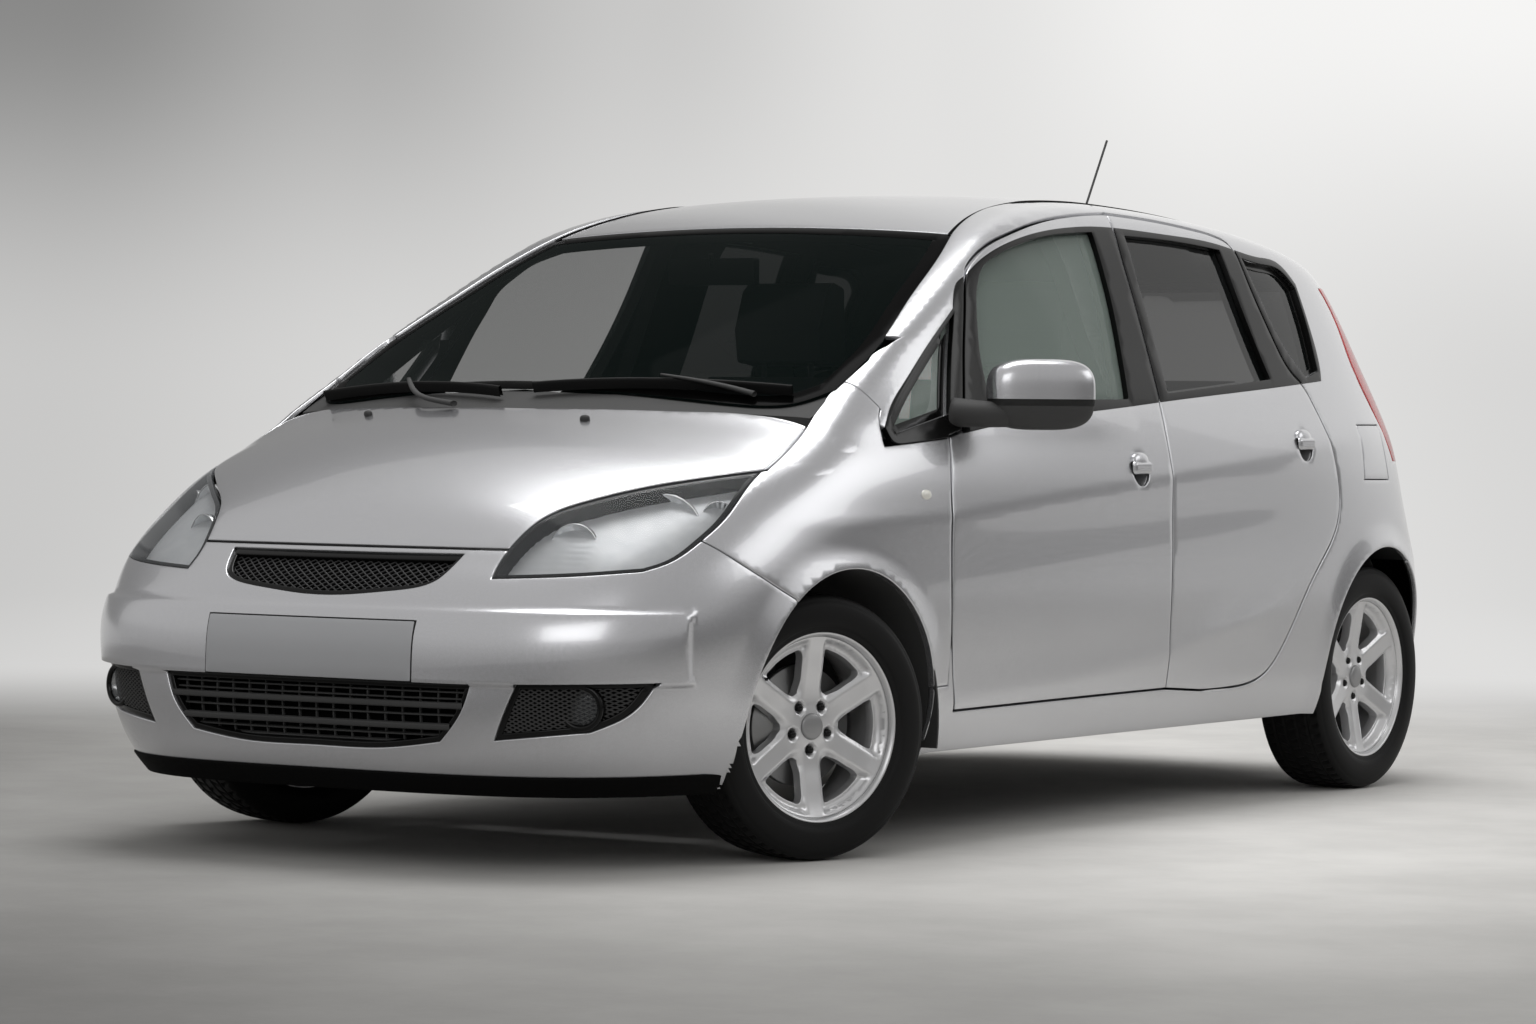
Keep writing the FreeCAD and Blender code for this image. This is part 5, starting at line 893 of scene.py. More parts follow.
def side_loop(runs, offset=0.0):
    return loop_of(runs, side_pair, offset)


def end_loop(runs, offset=0.0):
    return loop_of(runs, end_pair, offset)


def plan_loop(runs, offset=0.0):
    return loop_of(runs, plan_pair, offset)


SKIN_LIFT = 0.0012
SHOULDER = np.array([(-1.5, 0.722), (-1.2, 0.712), (-0.738, 0.722), (-0.285, 0.76), (0.226, 0.7985),
                     (0.987, 0.868), (1.5, 0.905)])
LOW_LINE = np.array([(-0.74, 0.318), (-0.164, 0.349), (0.234, 0.384), (0.81, 0.484)])


def ridge(distance, high, width, soft=0.006):
    """A rounded fold: high * (1 - sqrt(d^2 + soft^2) / width)^2, nothing beyond its width."""
    return high * np.clip(1 - np.sqrt(distance ** 2 + soft ** 2) / width, 0, 1) ** 2


def pillar_lift(p):
    """Height that carries the skin clear of the solids at the front pillars."""
    return (0.0058 * np.clip((p[:, 2] - 0.885) / 0.05, 0, 1)
            * np.clip((0.12 - p[:, 1]) / 0.2, 0, 1) * np.clip((p[:, 1] + 1.2) / 0.1, 0, 1))


def body_lines(p):
    """Folds of the sides: the shoulder, the low crease of the doors and the arches' flares."""
    x, y, z = np.abs(p[:, 0]), p[:, 1], p[:, 2]
    side = np.clip((x - 0.66) / 0.08, 0, 1)
    ends = np.clip((y + 1.45) / 0.3, 0, 1) * np.clip((1.62 - y) / 0.3, 0, 1)
    raised = ridge(z - np.interp(y, *SHOULDER.T), 0.0065, 0.13) * ends
    ends = np.clip((y + 0.8) / 0.1, 0, 1) * np.clip((0.86 - y) / 0.25, 0, 1)
    raised = np.maximum(raised, ridge(z - np.interp(y, *LOW_LINE.T), 0.005, 0.09) * ends)
    for centre, radius in ((FRONT_AXLE_Y - ARCH_SHIFT, ARCH_RADIUS_FRONT),
                           (REAR_AXLE_Y, ARCH_RADIUS_REAR)):
        gap = np.hypot(y - centre, z - TYRE_RADIUS) - radius
        raised = np.maximum(raised, 0.009 * np.clip(1 - gap / 0.065, 0, 1) ** 1.5)
    low = 0.0045 * np.clip((0.28 - z) / 0.04, 0, 1) * (y > 1.2)
    return np.maximum(raised * side + pillar_lift(p), low)


def panels(names, ray_map, s_range, v_range, cutters, material="silver_paint", bodies=None,
           lift=SKIN_LIFT, step=0.014, hem=0.0025, depth=0.008, slot="body_paint", detail=None,
           prefix="skin_"):
    """Builds a panel on the left and, where two names are given, its mirror image."""
    points, faces, normals = panel(ray_map, s_range, v_range, cutters, step, lift, detail)
    whole, triangles, quads = hemmed(points, faces, normals, hem, depth)
    made = []
    for k, name in enumerate(names):
        body = (bodies or ["car_body"] * len(names))[k]
        made.append(build(prefix + name, whole, triangles, quads, material, body, slot,
                          mirror=k == 1))
    return made


BAND_LOW, BAND_HIGH, BAND_END = 0.386, 0.543, 0.765
BAND_RISE, BAND_FALL, BAND_FADE = 0.006, 0.008, 0.01
BAND_HEIGHT, BAND_SWELL, BAND_SWELL_RUN = 0.011, 0.004, 0.05
PLATE_HALF, PLATE_LOW, PLATE_HIGH = 0.268, 0.394, 0.508
FRONT_ARCH = arch_loop(FRONT_AXLE_Y - ARCH_SHIFT, ARCH_RADIUS_FRONT + RIM)
REAR_ARCH = arch_loop(REAR_AXLE_Y, ARCH_RADIUS_REAR + RIM)
NOSE_RUN = FAN_TURN * radians(80)
TAIL_RUN = FAN_TURN * radians(72)


def rising(degrees):
    return FAN_Z + FAN_RISE * radians(degrees)


NOSE_SPAN = (-NOSE_RUN, NOSE_RUN)
BUMPER_HEIGHTS = (HEIGHT * 0.1107, HEIGHT * 0.482)
LAMP_SPAN = (0.1, NOSE_RUN + 0.1)
LAMP_HEIGHTS = (HEIGHT * 0.39, rising(6))
GLASS_HEIGHTS = (HEIGHT * 0.55, rising(ROOF_EDGE_DEG))
SCREEN_SPAN = ((-0.75, 0.75), (-1.4, 0.0))


def run_of(loop, margin=0.02):
    """The stretch of a side outline along the car, with a margin at both ends."""
    return loop[:, 0].min() - margin, loop[:, 0].max() + margin


def body_skins():
    """Every painted panel, from the same outlines as the solids below them."""
    cut = Cutter
    fender = [cut("side", side_loop(FENDER_SHARES, -RIM), True), cut("side", FRONT_ARCH),
              cut("front", end_loop(LAMP_SHARES, RIM)),
              cut("front", end_loop(BONNET_SHARES, BONNET_GAP + RIM))]
    panels(["fender_left", "fender_right"], SIDE,
           (FAN_FRONT - FAN_TURN * radians(50), float(along(0.1688))),
           (HEIGHT * 0.2, rising(20)), fender, detail=body_lines)
    engine_side = np.array([[-2.3, 0], [float(along(0.107)), 0],
                            [float(along(0.107)), HEIGHT * 0.625], [-2.3, HEIGHT * 0.625]])
    frame_cuts = [cut("side", side_loop(FRONT_DOOR, HALF_GAP + RIM)),
                  cut("side", side_loop(REAR_DOOR, HALF_GAP + RIM)),
                  cut("plan", plan_loop(SCREEN_RUNS, RIM)), cut("plan", plan_loop(ROOF_RUNS, RIM)),
                  cut("side", engine_side), cut("side", FRONT_ARCH), cut("side", REAR_ARCH),
                  cut("side", side_loop(WINDOW_LINE, -RIM)),
                  cut("rear", end_loop(GATE_SHARES, BONNET_GAP + RIM)),
                  cut("rear", end_loop(TAIL_LAMP_SHARES, RIM)),
                  cut("side", side_loop(REAR_SEAM_SHARES, RIM)),
                  cut("side", side_loop(FENDER_SHARES, HALF_GAP + RIM)),
                  cut("front", end_loop(BONNET_SHARES, BONNET_GAP + RIM))]
    flap = cut("side", side_loop(FLAP_SHARES, RIM))
    s_range = (float(along(0.05)), FAN_REAR + FAN_TURN * radians(CORNER_DEG))
    v_range = (SILL_Z, rising(ROOF_EDGE_DEG))
    panels(["frame_left"], SIDE, s_range, v_range, frame_cuts + [flap], detail=body_lines)
    right = panels(["frame_right"], SIDE, s_range, v_range, frame_cuts, detail=body_lines)
    right[0].data.transform(Matrix.Diagonal((-1, 1, 1, 1)))
    right[0].data.flip_normals()
    panels(["fuel_flap"], SIDE, (float(along(0.9)), float(along(1.2))),
           (HEIGHT * 0.5, HEIGHT * 0.66),
           [cut("side", side_loop(FLAP_SHARES, -HALF_GAP - RIM), True)],
           bodies=["fuel_flap"], step=0.01, depth=0.004, detail=body_lines)
    for door, runs, _ in DOORS:
        y, z = side_pair(HANDLE_SHARES[door])
        loop = side_loop(runs, -HALF_GAP - RIM)
        panels([door + "_door_left", door + "_door_right"], SIDE,
               (loop[:, 0].min() - 0.02, min(loop[:, 0].max() + 0.02, 1.3)),
               (0.26, rising(ROOF_EDGE_DEG)),
               [cut("side", loop, True), cut("side", side_loop(WINDOW_LINE, -RIM)),
                cut("side", circle(y, z, CUP_RADIUS - RIM / 2))],
               bodies=[door + "_door_left", door + "_door_right"], detail=body_lines)
    panels(["roof"], TOP, (-HALF_WIDTH * 0.7, HALF_WIDTH * 0.7),
           (float(along(0.3)), float(along(1.42))),
           [cut("plan", plan_loop(ROOF_RUNS, -RIM), True)], step=0.02)
    panels(["bonnet"], TOP, (-HALF_WIDTH * 0.93, HALF_WIDTH * 0.93),
           (-1.9, float(along(0.03))),
           [cut("front", end_loop(BONNET_SHARES, -RIM), True),
            cut("plan", plan_loop(both(BONNET_PLAN_SHARES), -RIM), True)], bodies=["bonnet"],
           step=0.016)
    edge = BAND_END - BAND_FADE
    bumper = [Guide(-BAND_END, BAND_END, BAND_LOW, BAND_HIGH),
              Guide(-edge, edge, BAND_LOW + BAND_RISE, BAND_HIGH - BAND_FALL),
              cut("front", end_loop(BONNET_SHARES, BONNET_GAP + RIM)),
              cut("front", end_loop(GRILLE_SHARES, RIM)),
              cut("front", end_loop(INTAKE_SHARES, RIM))]
    for half in (1, -1):
        bumper += [cut("front", end_loop(LAMP_SHARES, RIM), half=half),
                   cut("side", side_loop(FENDER_SHARES, HALF_GAP + RIM), half=half),
                   cut("side", FRONT_ARCH, half=half),
                   cut("front", end_loop(FOG_SHARES, RIM), half=half)]
    panels(["front_bumper"], NOSE_END, NOSE_SPAN, BUMPER_HEIGHTS, bumper,
            step=0.009, detail=lambda p: np.maximum(strip_height(p), body_lines(p)))
    rear = [cut("rear", end_loop(GATE_SHARES, BONNET_GAP + RIM))]
    for half in (1, -1):
        rear += [cut("side", side_loop(REAR_SEAM_SHARES, -HALF_GAP - RIM), True, half),
                 cut("side", REAR_ARCH, half=half)]
    panels(["rear_bumper"], TAIL_END, (-TAIL_RUN, TAIL_RUN), (HEIGHT * 0.112, HEIGHT * 0.46),
           rear, detail=body_lines)
    gate_range = (-FAN_TURN * radians(56), FAN_TURN * radians(56))
    panels(["tailgate"], TAIL_END, gate_range, (HEIGHT * 0.42, rising(46)),
           [cut("rear", end_loop(GATE_SHARES, -RIM), True),
            cut("rear", end_loop(GATE_GLASS_SHARES, RIM)),
            cut("plan", plan_loop(ROOF_RUNS, BONNET_GAP + RIM))], bodies=["tailgate"])


def glass_skins():
    """Window glass set into its frames, and the lamps' outer lenses."""
    cut = Cutter
    for door, _, glass in DOORS:
        look, slot = (("green_glass", "green_glass") if door == "front"
                      else ("dark_glass", "privacy_glass"))
        loop = side_loop(glass, 0.004)
        made = panels([door + "_glass_left", door + "_glass_right"], SIDE, run_of(loop),
                      GLASS_HEIGHTS, [cut("side", loop, True)], material=look,
                      bodies=[door + "_door_left", door + "_door_right"], lift=-GLASS_INSET,
                      depth=0.002, slot=slot, prefix="", step=0.03)
        for made_glass, (_, side) in zip(made, SIDES):
            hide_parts(door + "_door_glass_" + side)
    fixed = [panels([name + "_left", name + "_right"], SIDE, run_of(side_loop(runs)),
                    GLASS_HEIGHTS, [cut("side", side_loop(runs, 0.003), True)], material=look,
                    lift=-GLASS_INSET - 0.001, depth=0.002, slot="privacy_glass", prefix="",
                    step=0.02)
             for name, runs, look in (("quarter_glass", QUARTER_GLASS_SHARES, "dark_glass"),
                                      ("front_corner_glass", SAIL_GLASS_SHARES, "green_glass"))]
    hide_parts("fixed_side_glass")
    screen = panels(["windscreen_glass"], TOP, *SCREEN_SPAN,
                    [cut("plan", plan_loop(SCREEN_RUNS, -0.001), True)],
                    material="screen_glass", lift=0.0, depth=0.004, slot="green_glass",
                    prefix="", step=0.03)
    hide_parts("windscreen")
    gate = panels(["tailgate_window"], TAIL_END, (-FAN_TURN, FAN_TURN),
                  (HEIGHT * 0.55, rising(50)),
                  [cut("rear", end_loop(GATE_GLASS_SHARES, 0.003), True)],
                  material="dark_glass", bodies=["tailgate"], lift=-GLASS_INSET, depth=0.002,
                  slot="privacy_glass", prefix="", step=0.03)
    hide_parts("tailgate_glass")
    lamps = panels(["tail_lamp_left", "tail_lamp_right"], SIDE,
                   (FAN_REAR, FAN_REAR + FAN_TURN * radians(CORNER_DEG + 4)),
                   (HEIGHT * 0.52, rising(44)),
                   [cut("rear", end_loop(TAIL_LAMP_SHARES, -RIM), True),
                    cut("rear", end_loop(GATE_SHARES, BONNET_GAP + RIM))],
                   material="red_glass", slot="red_glass", prefix="", lift=0.002, depth=0.02,
                   step=0.008)
    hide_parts("tail_lamps")
    lenses = panels(["headlamp_lens_left", "headlamp_lens_right"], NOSE_END, LAMP_SPAN,
                    LAMP_HEIGHTS, [cut("front", end_loop(LAMP_SHARES, -RIM - 0.001), True)],
                    material="clear_glass", slot="lamp_glass", prefix="", lift=0.001,
                    depth=0.012, step=0.012)
    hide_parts("headlamps")


def sheet_quads(rows, columns, wrap=False):
    """Quads of a grid of corners; wrap joins the last column to the first."""
    index = np.arange(rows * columns).reshape(rows, columns)
    if wrap:
        index = np.concatenate([index, index[:, :1]], 1)
    return np.stack([index[:-1, :-1], index[:-1, 1:], index[1:, 1:], index[1:, :-1]],
                    -1).reshape(-1, 4)


def frame_of(way, up=(0, 0, 1)):
    """Unit vectors along a way, and two across it, the first of them as near up as can be."""
    way = np.asarray(way, float) / np.linalg.norm(way)
    high = np.asarray(up, float) - way * np.dot(up, way)
    high /= np.linalg.norm(high)
    return way, high, np.cross(way, high)


def revolve(profile, centre, way, count=96, up=(0, 0, 1)):
    """Surface of revolution: each (radius, offset) of the profile turns about the way."""
    way, high, side = frame_of(way, up)
    profile = np.asarray(profile, float)
    angle = np.linspace(0, 2 * pi, count, endpoint=False)
    ring = np.cos(angle)[:, None] * high + np.sin(angle)[:, None] * side
    points = (np.asarray(centre, float) + profile[:, 1][:, None, None] * way
              + profile[:, 0][:, None, None] * ring[None])
    return points.reshape(-1, 3), None, sheet_quads(len(profile), count, True)


def blob(centre, axes, halves, powers=(2.5, 2.5), rows=24, columns=48):
    """Squared ball: cos and sin of both angles are raised to 2/power and keep their signs."""
    lat = np.linspace(-QUARTER, QUARTER, rows)
    lon = np.linspace(0, 2 * pi, columns, endpoint=False)
    lat, lon = np.meshgrid(lat, lon, indexing="ij")

    def soft(value, power):
        return np.sign(value) * np.abs(value) ** (2 / power)
    a = soft(np.cos(lat), powers[0]) * soft(np.cos(lon), powers[1])
    b = soft(np.cos(lat), powers[0]) * soft(np.sin(lon), powers[1])
    c = soft(np.sin(lat), powers[0])
    axes = np.asarray(axes, float)
    points = (np.asarray(centre, float) + a[..., None] * halves[0] * axes[0]
              + b[..., None] * halves[1] * axes[1] + c[..., None] * halves[2] * axes[2])
    return points.reshape(-1, 3), None, sheet_quads(rows, columns, True)


def tube(path, radius, count=10, flat=1.0, up=(0, 0, 1)):
    """Round or flattened bar along a path, its section turned with the path's direction."""
    path = np.asarray(path, float)
    way = np.gradient(path, axis=0)
    way /= np.linalg.norm(way, axis=1, keepdims=True)
    high = np.asarray(up, float) - way * (way @ np.asarray(up, float))[:, None]
    high /= np.linalg.norm(high, axis=1, keepdims=True) + 1e-9
    side = np.cross(way, high)
    radius = np.broadcast_to(radius, len(path))
    angle = np.linspace(0, 2 * pi, count, endpoint=False)
    ring = (np.cos(angle)[None, :, None] * high[:, None] * flat
            + np.sin(angle)[None, :, None] * side[:, None])
    points = path[:, None] + ring * radius[:, None, None]
    body = points.reshape(-1, 3)
    caps = np.stack([path[0], path[-1]])
    total = len(body)
    around = np.arange(count)
    after = np.roll(around, -1)
    last = total - count
    triangles = np.concatenate([
        np.stack([np.full(count, total), after, around], -1),
        np.stack([np.full(count, total + 1), last + around, last + after], -1)])
    quads = sheet_quads(len(path), count, True)
    return np.concatenate([body, caps]), triangles, quads[:, ::-1]


def moulding(points, normals, width, height, closed=False):
    """Strip along a line on a surface: a low trapezium with rounded shoulders is swept along
    it, upright on the surface's normals."""
    points = np.asarray(points, float)
    way = np.roll(points, -1, 0) - np.roll(points, 1, 0) if closed else np.gradient(points, axis=0)
    way /= np.linalg.norm(way, axis=1, keepdims=True)
    across = np.cross(normals, way)
    across /= np.linalg.norm(across, axis=1, keepdims=True)
    half = width / 2
    section = np.array([(-half, -height), (-half, height * 0.5), (-half * 0.8, height * 0.92),
                        (-half * 0.4, height), (half * 0.4, height), (half * 0.8, height * 0.92),
                        (half, height * 0.5), (half, -height)])
    grid = (points[:, None] + across[:, None] * section[None, :, :1]
            + normals[:, None] * section[None, :, 1:])
    rows, columns = grid.shape[:2]
    if closed:
        grid = np.concatenate([grid, grid[:1]])
        rows += 1
    return grid.reshape(-1, 3), None, sheet_quads(rows, columns)


def outward(made, centre):
    """Turns a closed piece's faces outwards by the sign of the volume they enclose."""
    points, triangles, quads = made
    volume = 0.0
    if quads is not None and len(quads):
        a, b, c, d = (points[quads[:, k]] - centre for k in range(4))
        volume += np.sum(a * np.cross(b, c)) + np.sum(a * np.cross(c, d))
    if triangles is not None and len(triangles):
        a, b, c = (points[triangles[:, k]] - centre for k in range(3))
        volume += np.sum(a * np.cross(b, c))
    if volume < 0:
        triangles = None if triangles is None else triangles[:, ::-1]
        quads = None if quads is None else quads[:, ::-1]
    return points, triangles, quads


def piece(name, parts, material, body="car_body", slot=None, mirror=False, faces_out=True):
    """Builds one piece from several closed forms."""
    if faces_out:
        parts = [outward(p, np.mean(p[0], 0)) for p in parts]
    points, triangles, quads = add(parts)
    return build(name, points, triangles, quads, material, body, slot, mirror)


# Wheels and tyres
TRACK = {"front": 1.42, "rear": 1.41}
KINGPIN_X = 0.655
STEER_DEG = 18.7
SPOKES = 6
NUTS = 5
DISH = smooth([0.0, 0.03, 0.05, 0.075, 0.12, 0.17, 0.188, 0.198],
              [0.047, 0.047, 0.045, 0.046, 0.053, 0.062, 0.067, 0.07])
TYRE_PROFILE = [
    (0.1985, 0.0765), (0.2015, 0.083), (0.207, 0.0855), (0.212, 0.0862), (0.214, 0.0885),
    (0.2165, 0.0905), (0.226, 0.0925), (0.2385, 0.093), (0.25, 0.0922), (0.259, 0.0902),
    (0.2655, 0.0878), (0.2665, 0.0866), (0.2705, 0.0855), (0.2745, 0.0828), (0.2778, 0.0788),
    (0.2795, 0.0745),
]
# Where a rib, a groove or a row of cuts starts or ends, and places between, from the middle
TREAD_ROWS = np.array([3.7, 7.3, 10.9, 11.66, 13.86, 19.14, 21.34, 22.1, 28, 34, 39.9, 41.16,
                       43.36, 48.64, 50.84, 52.9, 53.1, 60, 67, 73.5]) / 1000


def wheel_places():
    """Name, centre, outward direction and body of each wheel."""
    turn = radians(STEER_DEG)
    for sign, side in ((1, "left"), (-1, "right")):
        way = np.array([sign * cos(turn), -sign * sin(turn), 0])
        pin = np.array([sign * KINGPIN_X, FRONT_AXLE_Y, TYRE_RADIUS])
        yield ("front_" + side, pin + way * (TRACK["front"] / 2 - KINGPIN_X), way,
               "front_wheel_" + side)
        yield ("rear_" + side, np.array([sign * TRACK["rear"] / 2, REAR_AXLE_Y, TYRE_RADIUS]),
               np.array([sign, 0.0, 0.0]), "rear_wheel_" + side)


def tyre(centre, way, angles=480):
    """Tread: radius falls as |x|^3 to the shoulders, less the grooves. Four grooves run round;
    slanted cuts cross each shoulder and rib where the angle's saw wave is low."""
    side = np.array(TYRE_PROFILE)
    x = np.concatenate([-TREAD_ROWS[::-1], [0.0], TREAD_ROWS])
    phase = np.linspace(0, 2 * pi, angles, endpoint=False)
    xx, tt = np.meshgrid(x, phase, indexing="ij")
    base = TYRE_RADIUS - 0.0033 * (np.abs(xx) / 0.0735) ** 3
    depth = np.zeros_like(xx)
    for place in (-0.046, -0.0165, 0.0165, 0.046):
        depth = np.maximum(depth, 0.007 * np.clip(2.2 - np.abs(xx - place) / 0.0022, 0, 1))
    for low, high, count, slant, deep in ((0.053, 0.08, 60, 9.0, 0.0055),
                                          (0.022, 0.04, 60, -14.0, 0.004),
                                          (-0.001, 0.011, 60, 10.0, 0.003)):
        wave = np.mod(tt * count / (2 * pi) + np.sign(xx + 1e-9) * np.abs(xx) * slant, 1.0)
        cut = np.clip(3.0 - np.abs(wave - 0.5) / 0.05, 0, 1)
        band = (np.abs(xx) > low) & (np.abs(xx) < high)
        depth = np.maximum(depth, np.where(band, deep * cut, 0))
    way, high, across = frame_of(way)
    ring = np.cos(phase)[:, None] * high + np.sin(phase)[:, None] * across

    def place_of(radius, offset):
        return centre + offset[..., None] * way + radius[..., None] * ring[None]
    tread = place_of(base - depth, xx)
    one = place_of(np.repeat(side[:, :1], angles, 1), np.repeat(side[:, 1:], angles, 1))
    hidden = side[::-2]
    two = place_of(np.repeat(hidden[:, :1], angles, 1), np.repeat(-hidden[:, 1:], angles, 1))
    inner = place_of(np.full((1, angles), 0.192), np.full((1, angles), 0.07))
    back = place_of(np.full((1, angles), 0.192), np.full((1, angles), -0.07))
    whole = np.concatenate([inner, one, tread[::-1], two, back, inner])
    return whole.reshape(-1, 3), None, sheet_quads(whole.shape[0], angles, True)


def window_loop(k):
    """One opening between spokes, in the wheel's plane: two spoke edges, an arc near the rim
    and a rounded end by the hub."""
    middle = 2 * pi * (k + 0.5) / SPOKES
    radii = np.array([0.083, 0.1, 0.13, 0.158, 0.1665])
    half_spoke = np.array([0.030, 0.0268, 0.0268, 0.0285, 0.033])
    edge = pi / SPOKES - np.arcsin(half_spoke / radii)
    right = np.stack([radii, edge], -1)
    arc = np.stack([np.full(9, 0.1685), np.linspace(edge[-1] * 0.93, -edge[-1] * 0.93, 9)], -1)
    left = right[::-1] * np.array([1, -1])
    hub = np.stack([[0.0775, 0.0765, 0.0775], [-edge[0] * 0.6, 0, edge[0] * 0.6]], -1)
    polar = np.concatenate([right, arc, left, hub])
    closed = np.concatenate([polar, polar[:1]])
    flat = np.stack([closed[:, 0] * np.cos(closed[:, 1] + middle),
                     closed[:, 0] * np.sin(closed[:, 1] + middle)], -1)
    return spline(flat, 0.004)[:-1]


def spoke_height(q):
    """Offset of the wheel's face: the dish's curve, a flat along each spoke with sides that
    fall away, and a round hollow about each nut."""
    r = np.hypot(q[:, 0], q[:, 1])
    angle = np.mod(np.arctan2(q[:, 1], q[:, 0]) + pi / SPOKES, 2 * pi / SPOKES) - pi / SPOKES
    off = np.abs(r * np.sin(angle))
    fall = np.clip((off - 0.019) / 0.012, 0, 1) * np.clip((r - 0.055) / 0.03, 0, 1)
    fall *= np.clip((0.187 - r) / 0.012, 0, 1)
    height = DISH(r) - 0.010 * fall ** 1.5
    step = np.clip((0.187 - r) / 0.003, 0, 1) * np.clip((r - 0.165) / 0.01, 0, 1)
    height -= step * 0.006 * np.clip((off - 0.022) / 0.004, 0, 1)
    for k in range(NUTS):
        turn = 2 * pi * (k + 0.5) / NUTS
        gap = np.hypot(q[:, 0] - 0.05 * np.cos(turn), q[:, 1] - 0.05 * np.sin(turn))
        height -= 0.014 * np.clip((0.0145 - gap) / 0.003, 0, 1)
    return height


def wheel_face(centre, way):
    """Spoked face: triangles between the rim circle and the openings, raised by its height
    formula, with deep sides down the openings and a plain back."""
    loops = [circle(0, 0, 0.197, 180)] + [window_loop(k) for k in range(SPOKES)]
    rings = [circle(0.05 * cos(2 * pi * (k + 0.5) / NUTS), 0.05 * sin(2 * pi * (k + 0.5) / NUTS),
                    radius, 28) for k in range(NUTS) for radius in (0.0115, 0.0145)]
    rings += [circle(0, 0, 0.187, 160)]
    lines, edges, count = [], [], 0
    for loop in loops + rings:
        n = len(loop)
        index = np.arange(n) + count
        edges.append(np.stack([index, np.roll(index, -1)], -1))
        lines.append(loop)
        count += n
    border = np.concatenate(lines)
    axis = np.arange(-0.2, 0.2, 0.005)
    grid = np.stack(np.meshgrid(axis, axis), -1).reshape(-1, 2)
    gap = np.abs(grid[:, None] - border[None]).max(-1).min(1)
    grid = grid[(gap > 0.002) & (np.hypot(grid[:, 0], grid[:, 1]) < 0.197)]
    flat = np.concatenate([border, grid])
    made = delaunay_2d_cdt([Vector(q) for q in flat],
                           [tuple(map(int, e)) for e in np.concatenate(edges)], [], 0, 1e-7, False)
    q = np.array([tuple(p) for p in made[0]])
    faces = np.array(made[2])
    middle = q[faces].mean(1)
    keep = inside(loops[0], middle)
    for loop in loops[1:]:
        keep &= ~inside(loop, middle)
    faces = faces[keep]
    way, high, across = frame_of(way)
    top = spoke_height(q)
    points = centre + top[:, None] * way + q[:, :1] * high + q[:, 1:] * across
    a, b, c = (points[faces[:, k]] for k in range(3))
    wrong = np.sum(np.cross(b - a, c - a) * way, 1) < 0
    faces[wrong] = faces[wrong][:, ::-1]
    normals = np.broadcast_to(way, points.shape)
    whole, triangles, quads = hemmed(points, faces, normals, 0.002, 0.022, 3)
    back = points - way * 0.024
    return add([(whole, triangles, quads), (back, triangles[:, ::-1], None)])


def wheels():
    for name, centre, way, body in wheel_places():
        rubber = tyre(centre, way)
        made = piece("tyre_tread_" + name, [rubber], "rubber", body, "tyre")
        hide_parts("tyre_" + name)
        points, triangles, quads = wheel_face(centre, way)
        face = build("wheel_spokes_" + name, points, triangles, quads, "wheel_silver", body,
                     "wheel_alloy")
        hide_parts("wheel_" + name)
        barrel = revolve([(0.2, 0.0775), (0.2035, 0.0785), (0.2035, 0.081), (0.2, 0.0825),
                          (0.1965, 0.0805), (0.1935, 0.072), (0.188, 0.064), (0.184, 0.05),
                          (0.178, 0.03), (0.174, -0.02), (0.184, -0.06), (0.19, -0.074),
                          (0.197, -0.081), (0.203, -0.0825), (0.203, -0.0775), (0.194, -0.07),
                          (0.188, -0.06), (0.179, -0.02), (0.184, 0.03), (0.189, 0.06),
                          (0.2, 0.0775)], centre, way, 180)
        piece("wheel_barrel_" + name, [barrel], "wheel_silver", body, "wheel_alloy")
        disc = revolve([(0, 0.02), (0.066, 0.02), (0.066, 0.008), (0.128, 0.008),
                        (0.129, 0.006), (0.129, -0.008), (0.128, -0.01), (0.066, -0.01),
                        (0.066, -0.035), (0, -0.035)], centre, way, 96)
        piece("brake_disc_" + name, [disc], "bright_iron" if "front" in name else "grey_iron",
              body, "wheel_alloy")
        way, high, across = frame_of(way)
        nuts = []
        for k in range(NUTS):
            turn = 2 * pi * (k + 0.5) / NUTS
            spot = centre + 0.05 * (np.cos(turn) * high + np.sin(turn) * across)
            nuts.append(revolve([(0, 0.025), (0.0088, 0.025), (0.0088, 0.042), (0.0078, 0.0455),
                                 (0.005, 0.0475), (0, 0.048)], spot, way, 24))
        piece("wheel_nuts_" + name, nuts, "gloss_black", body, "wheel_alloy")
        cap = revolve([(0, 0.03), (0.0285, 0.03), (0.0285, 0.0485), (0.027, 0.0515),
                       (0.024, 0.0528), (0.012, 0.0538), (0, 0.054)], centre, way, 64)
        piece("wheel_cap_" + name, [cap], "cap_grey", body, "wheel_alloy")
        valve = centre + 0.168 * (np.cos(0.9) * high + np.sin(0.9) * across)
        stem = tube([valve + way * 0.03, valve + way * 0.045, valve + way * 0.062], 0.0035)
        piece("tyre_valve_" + name, [stem], "rubber", body, "tyre")


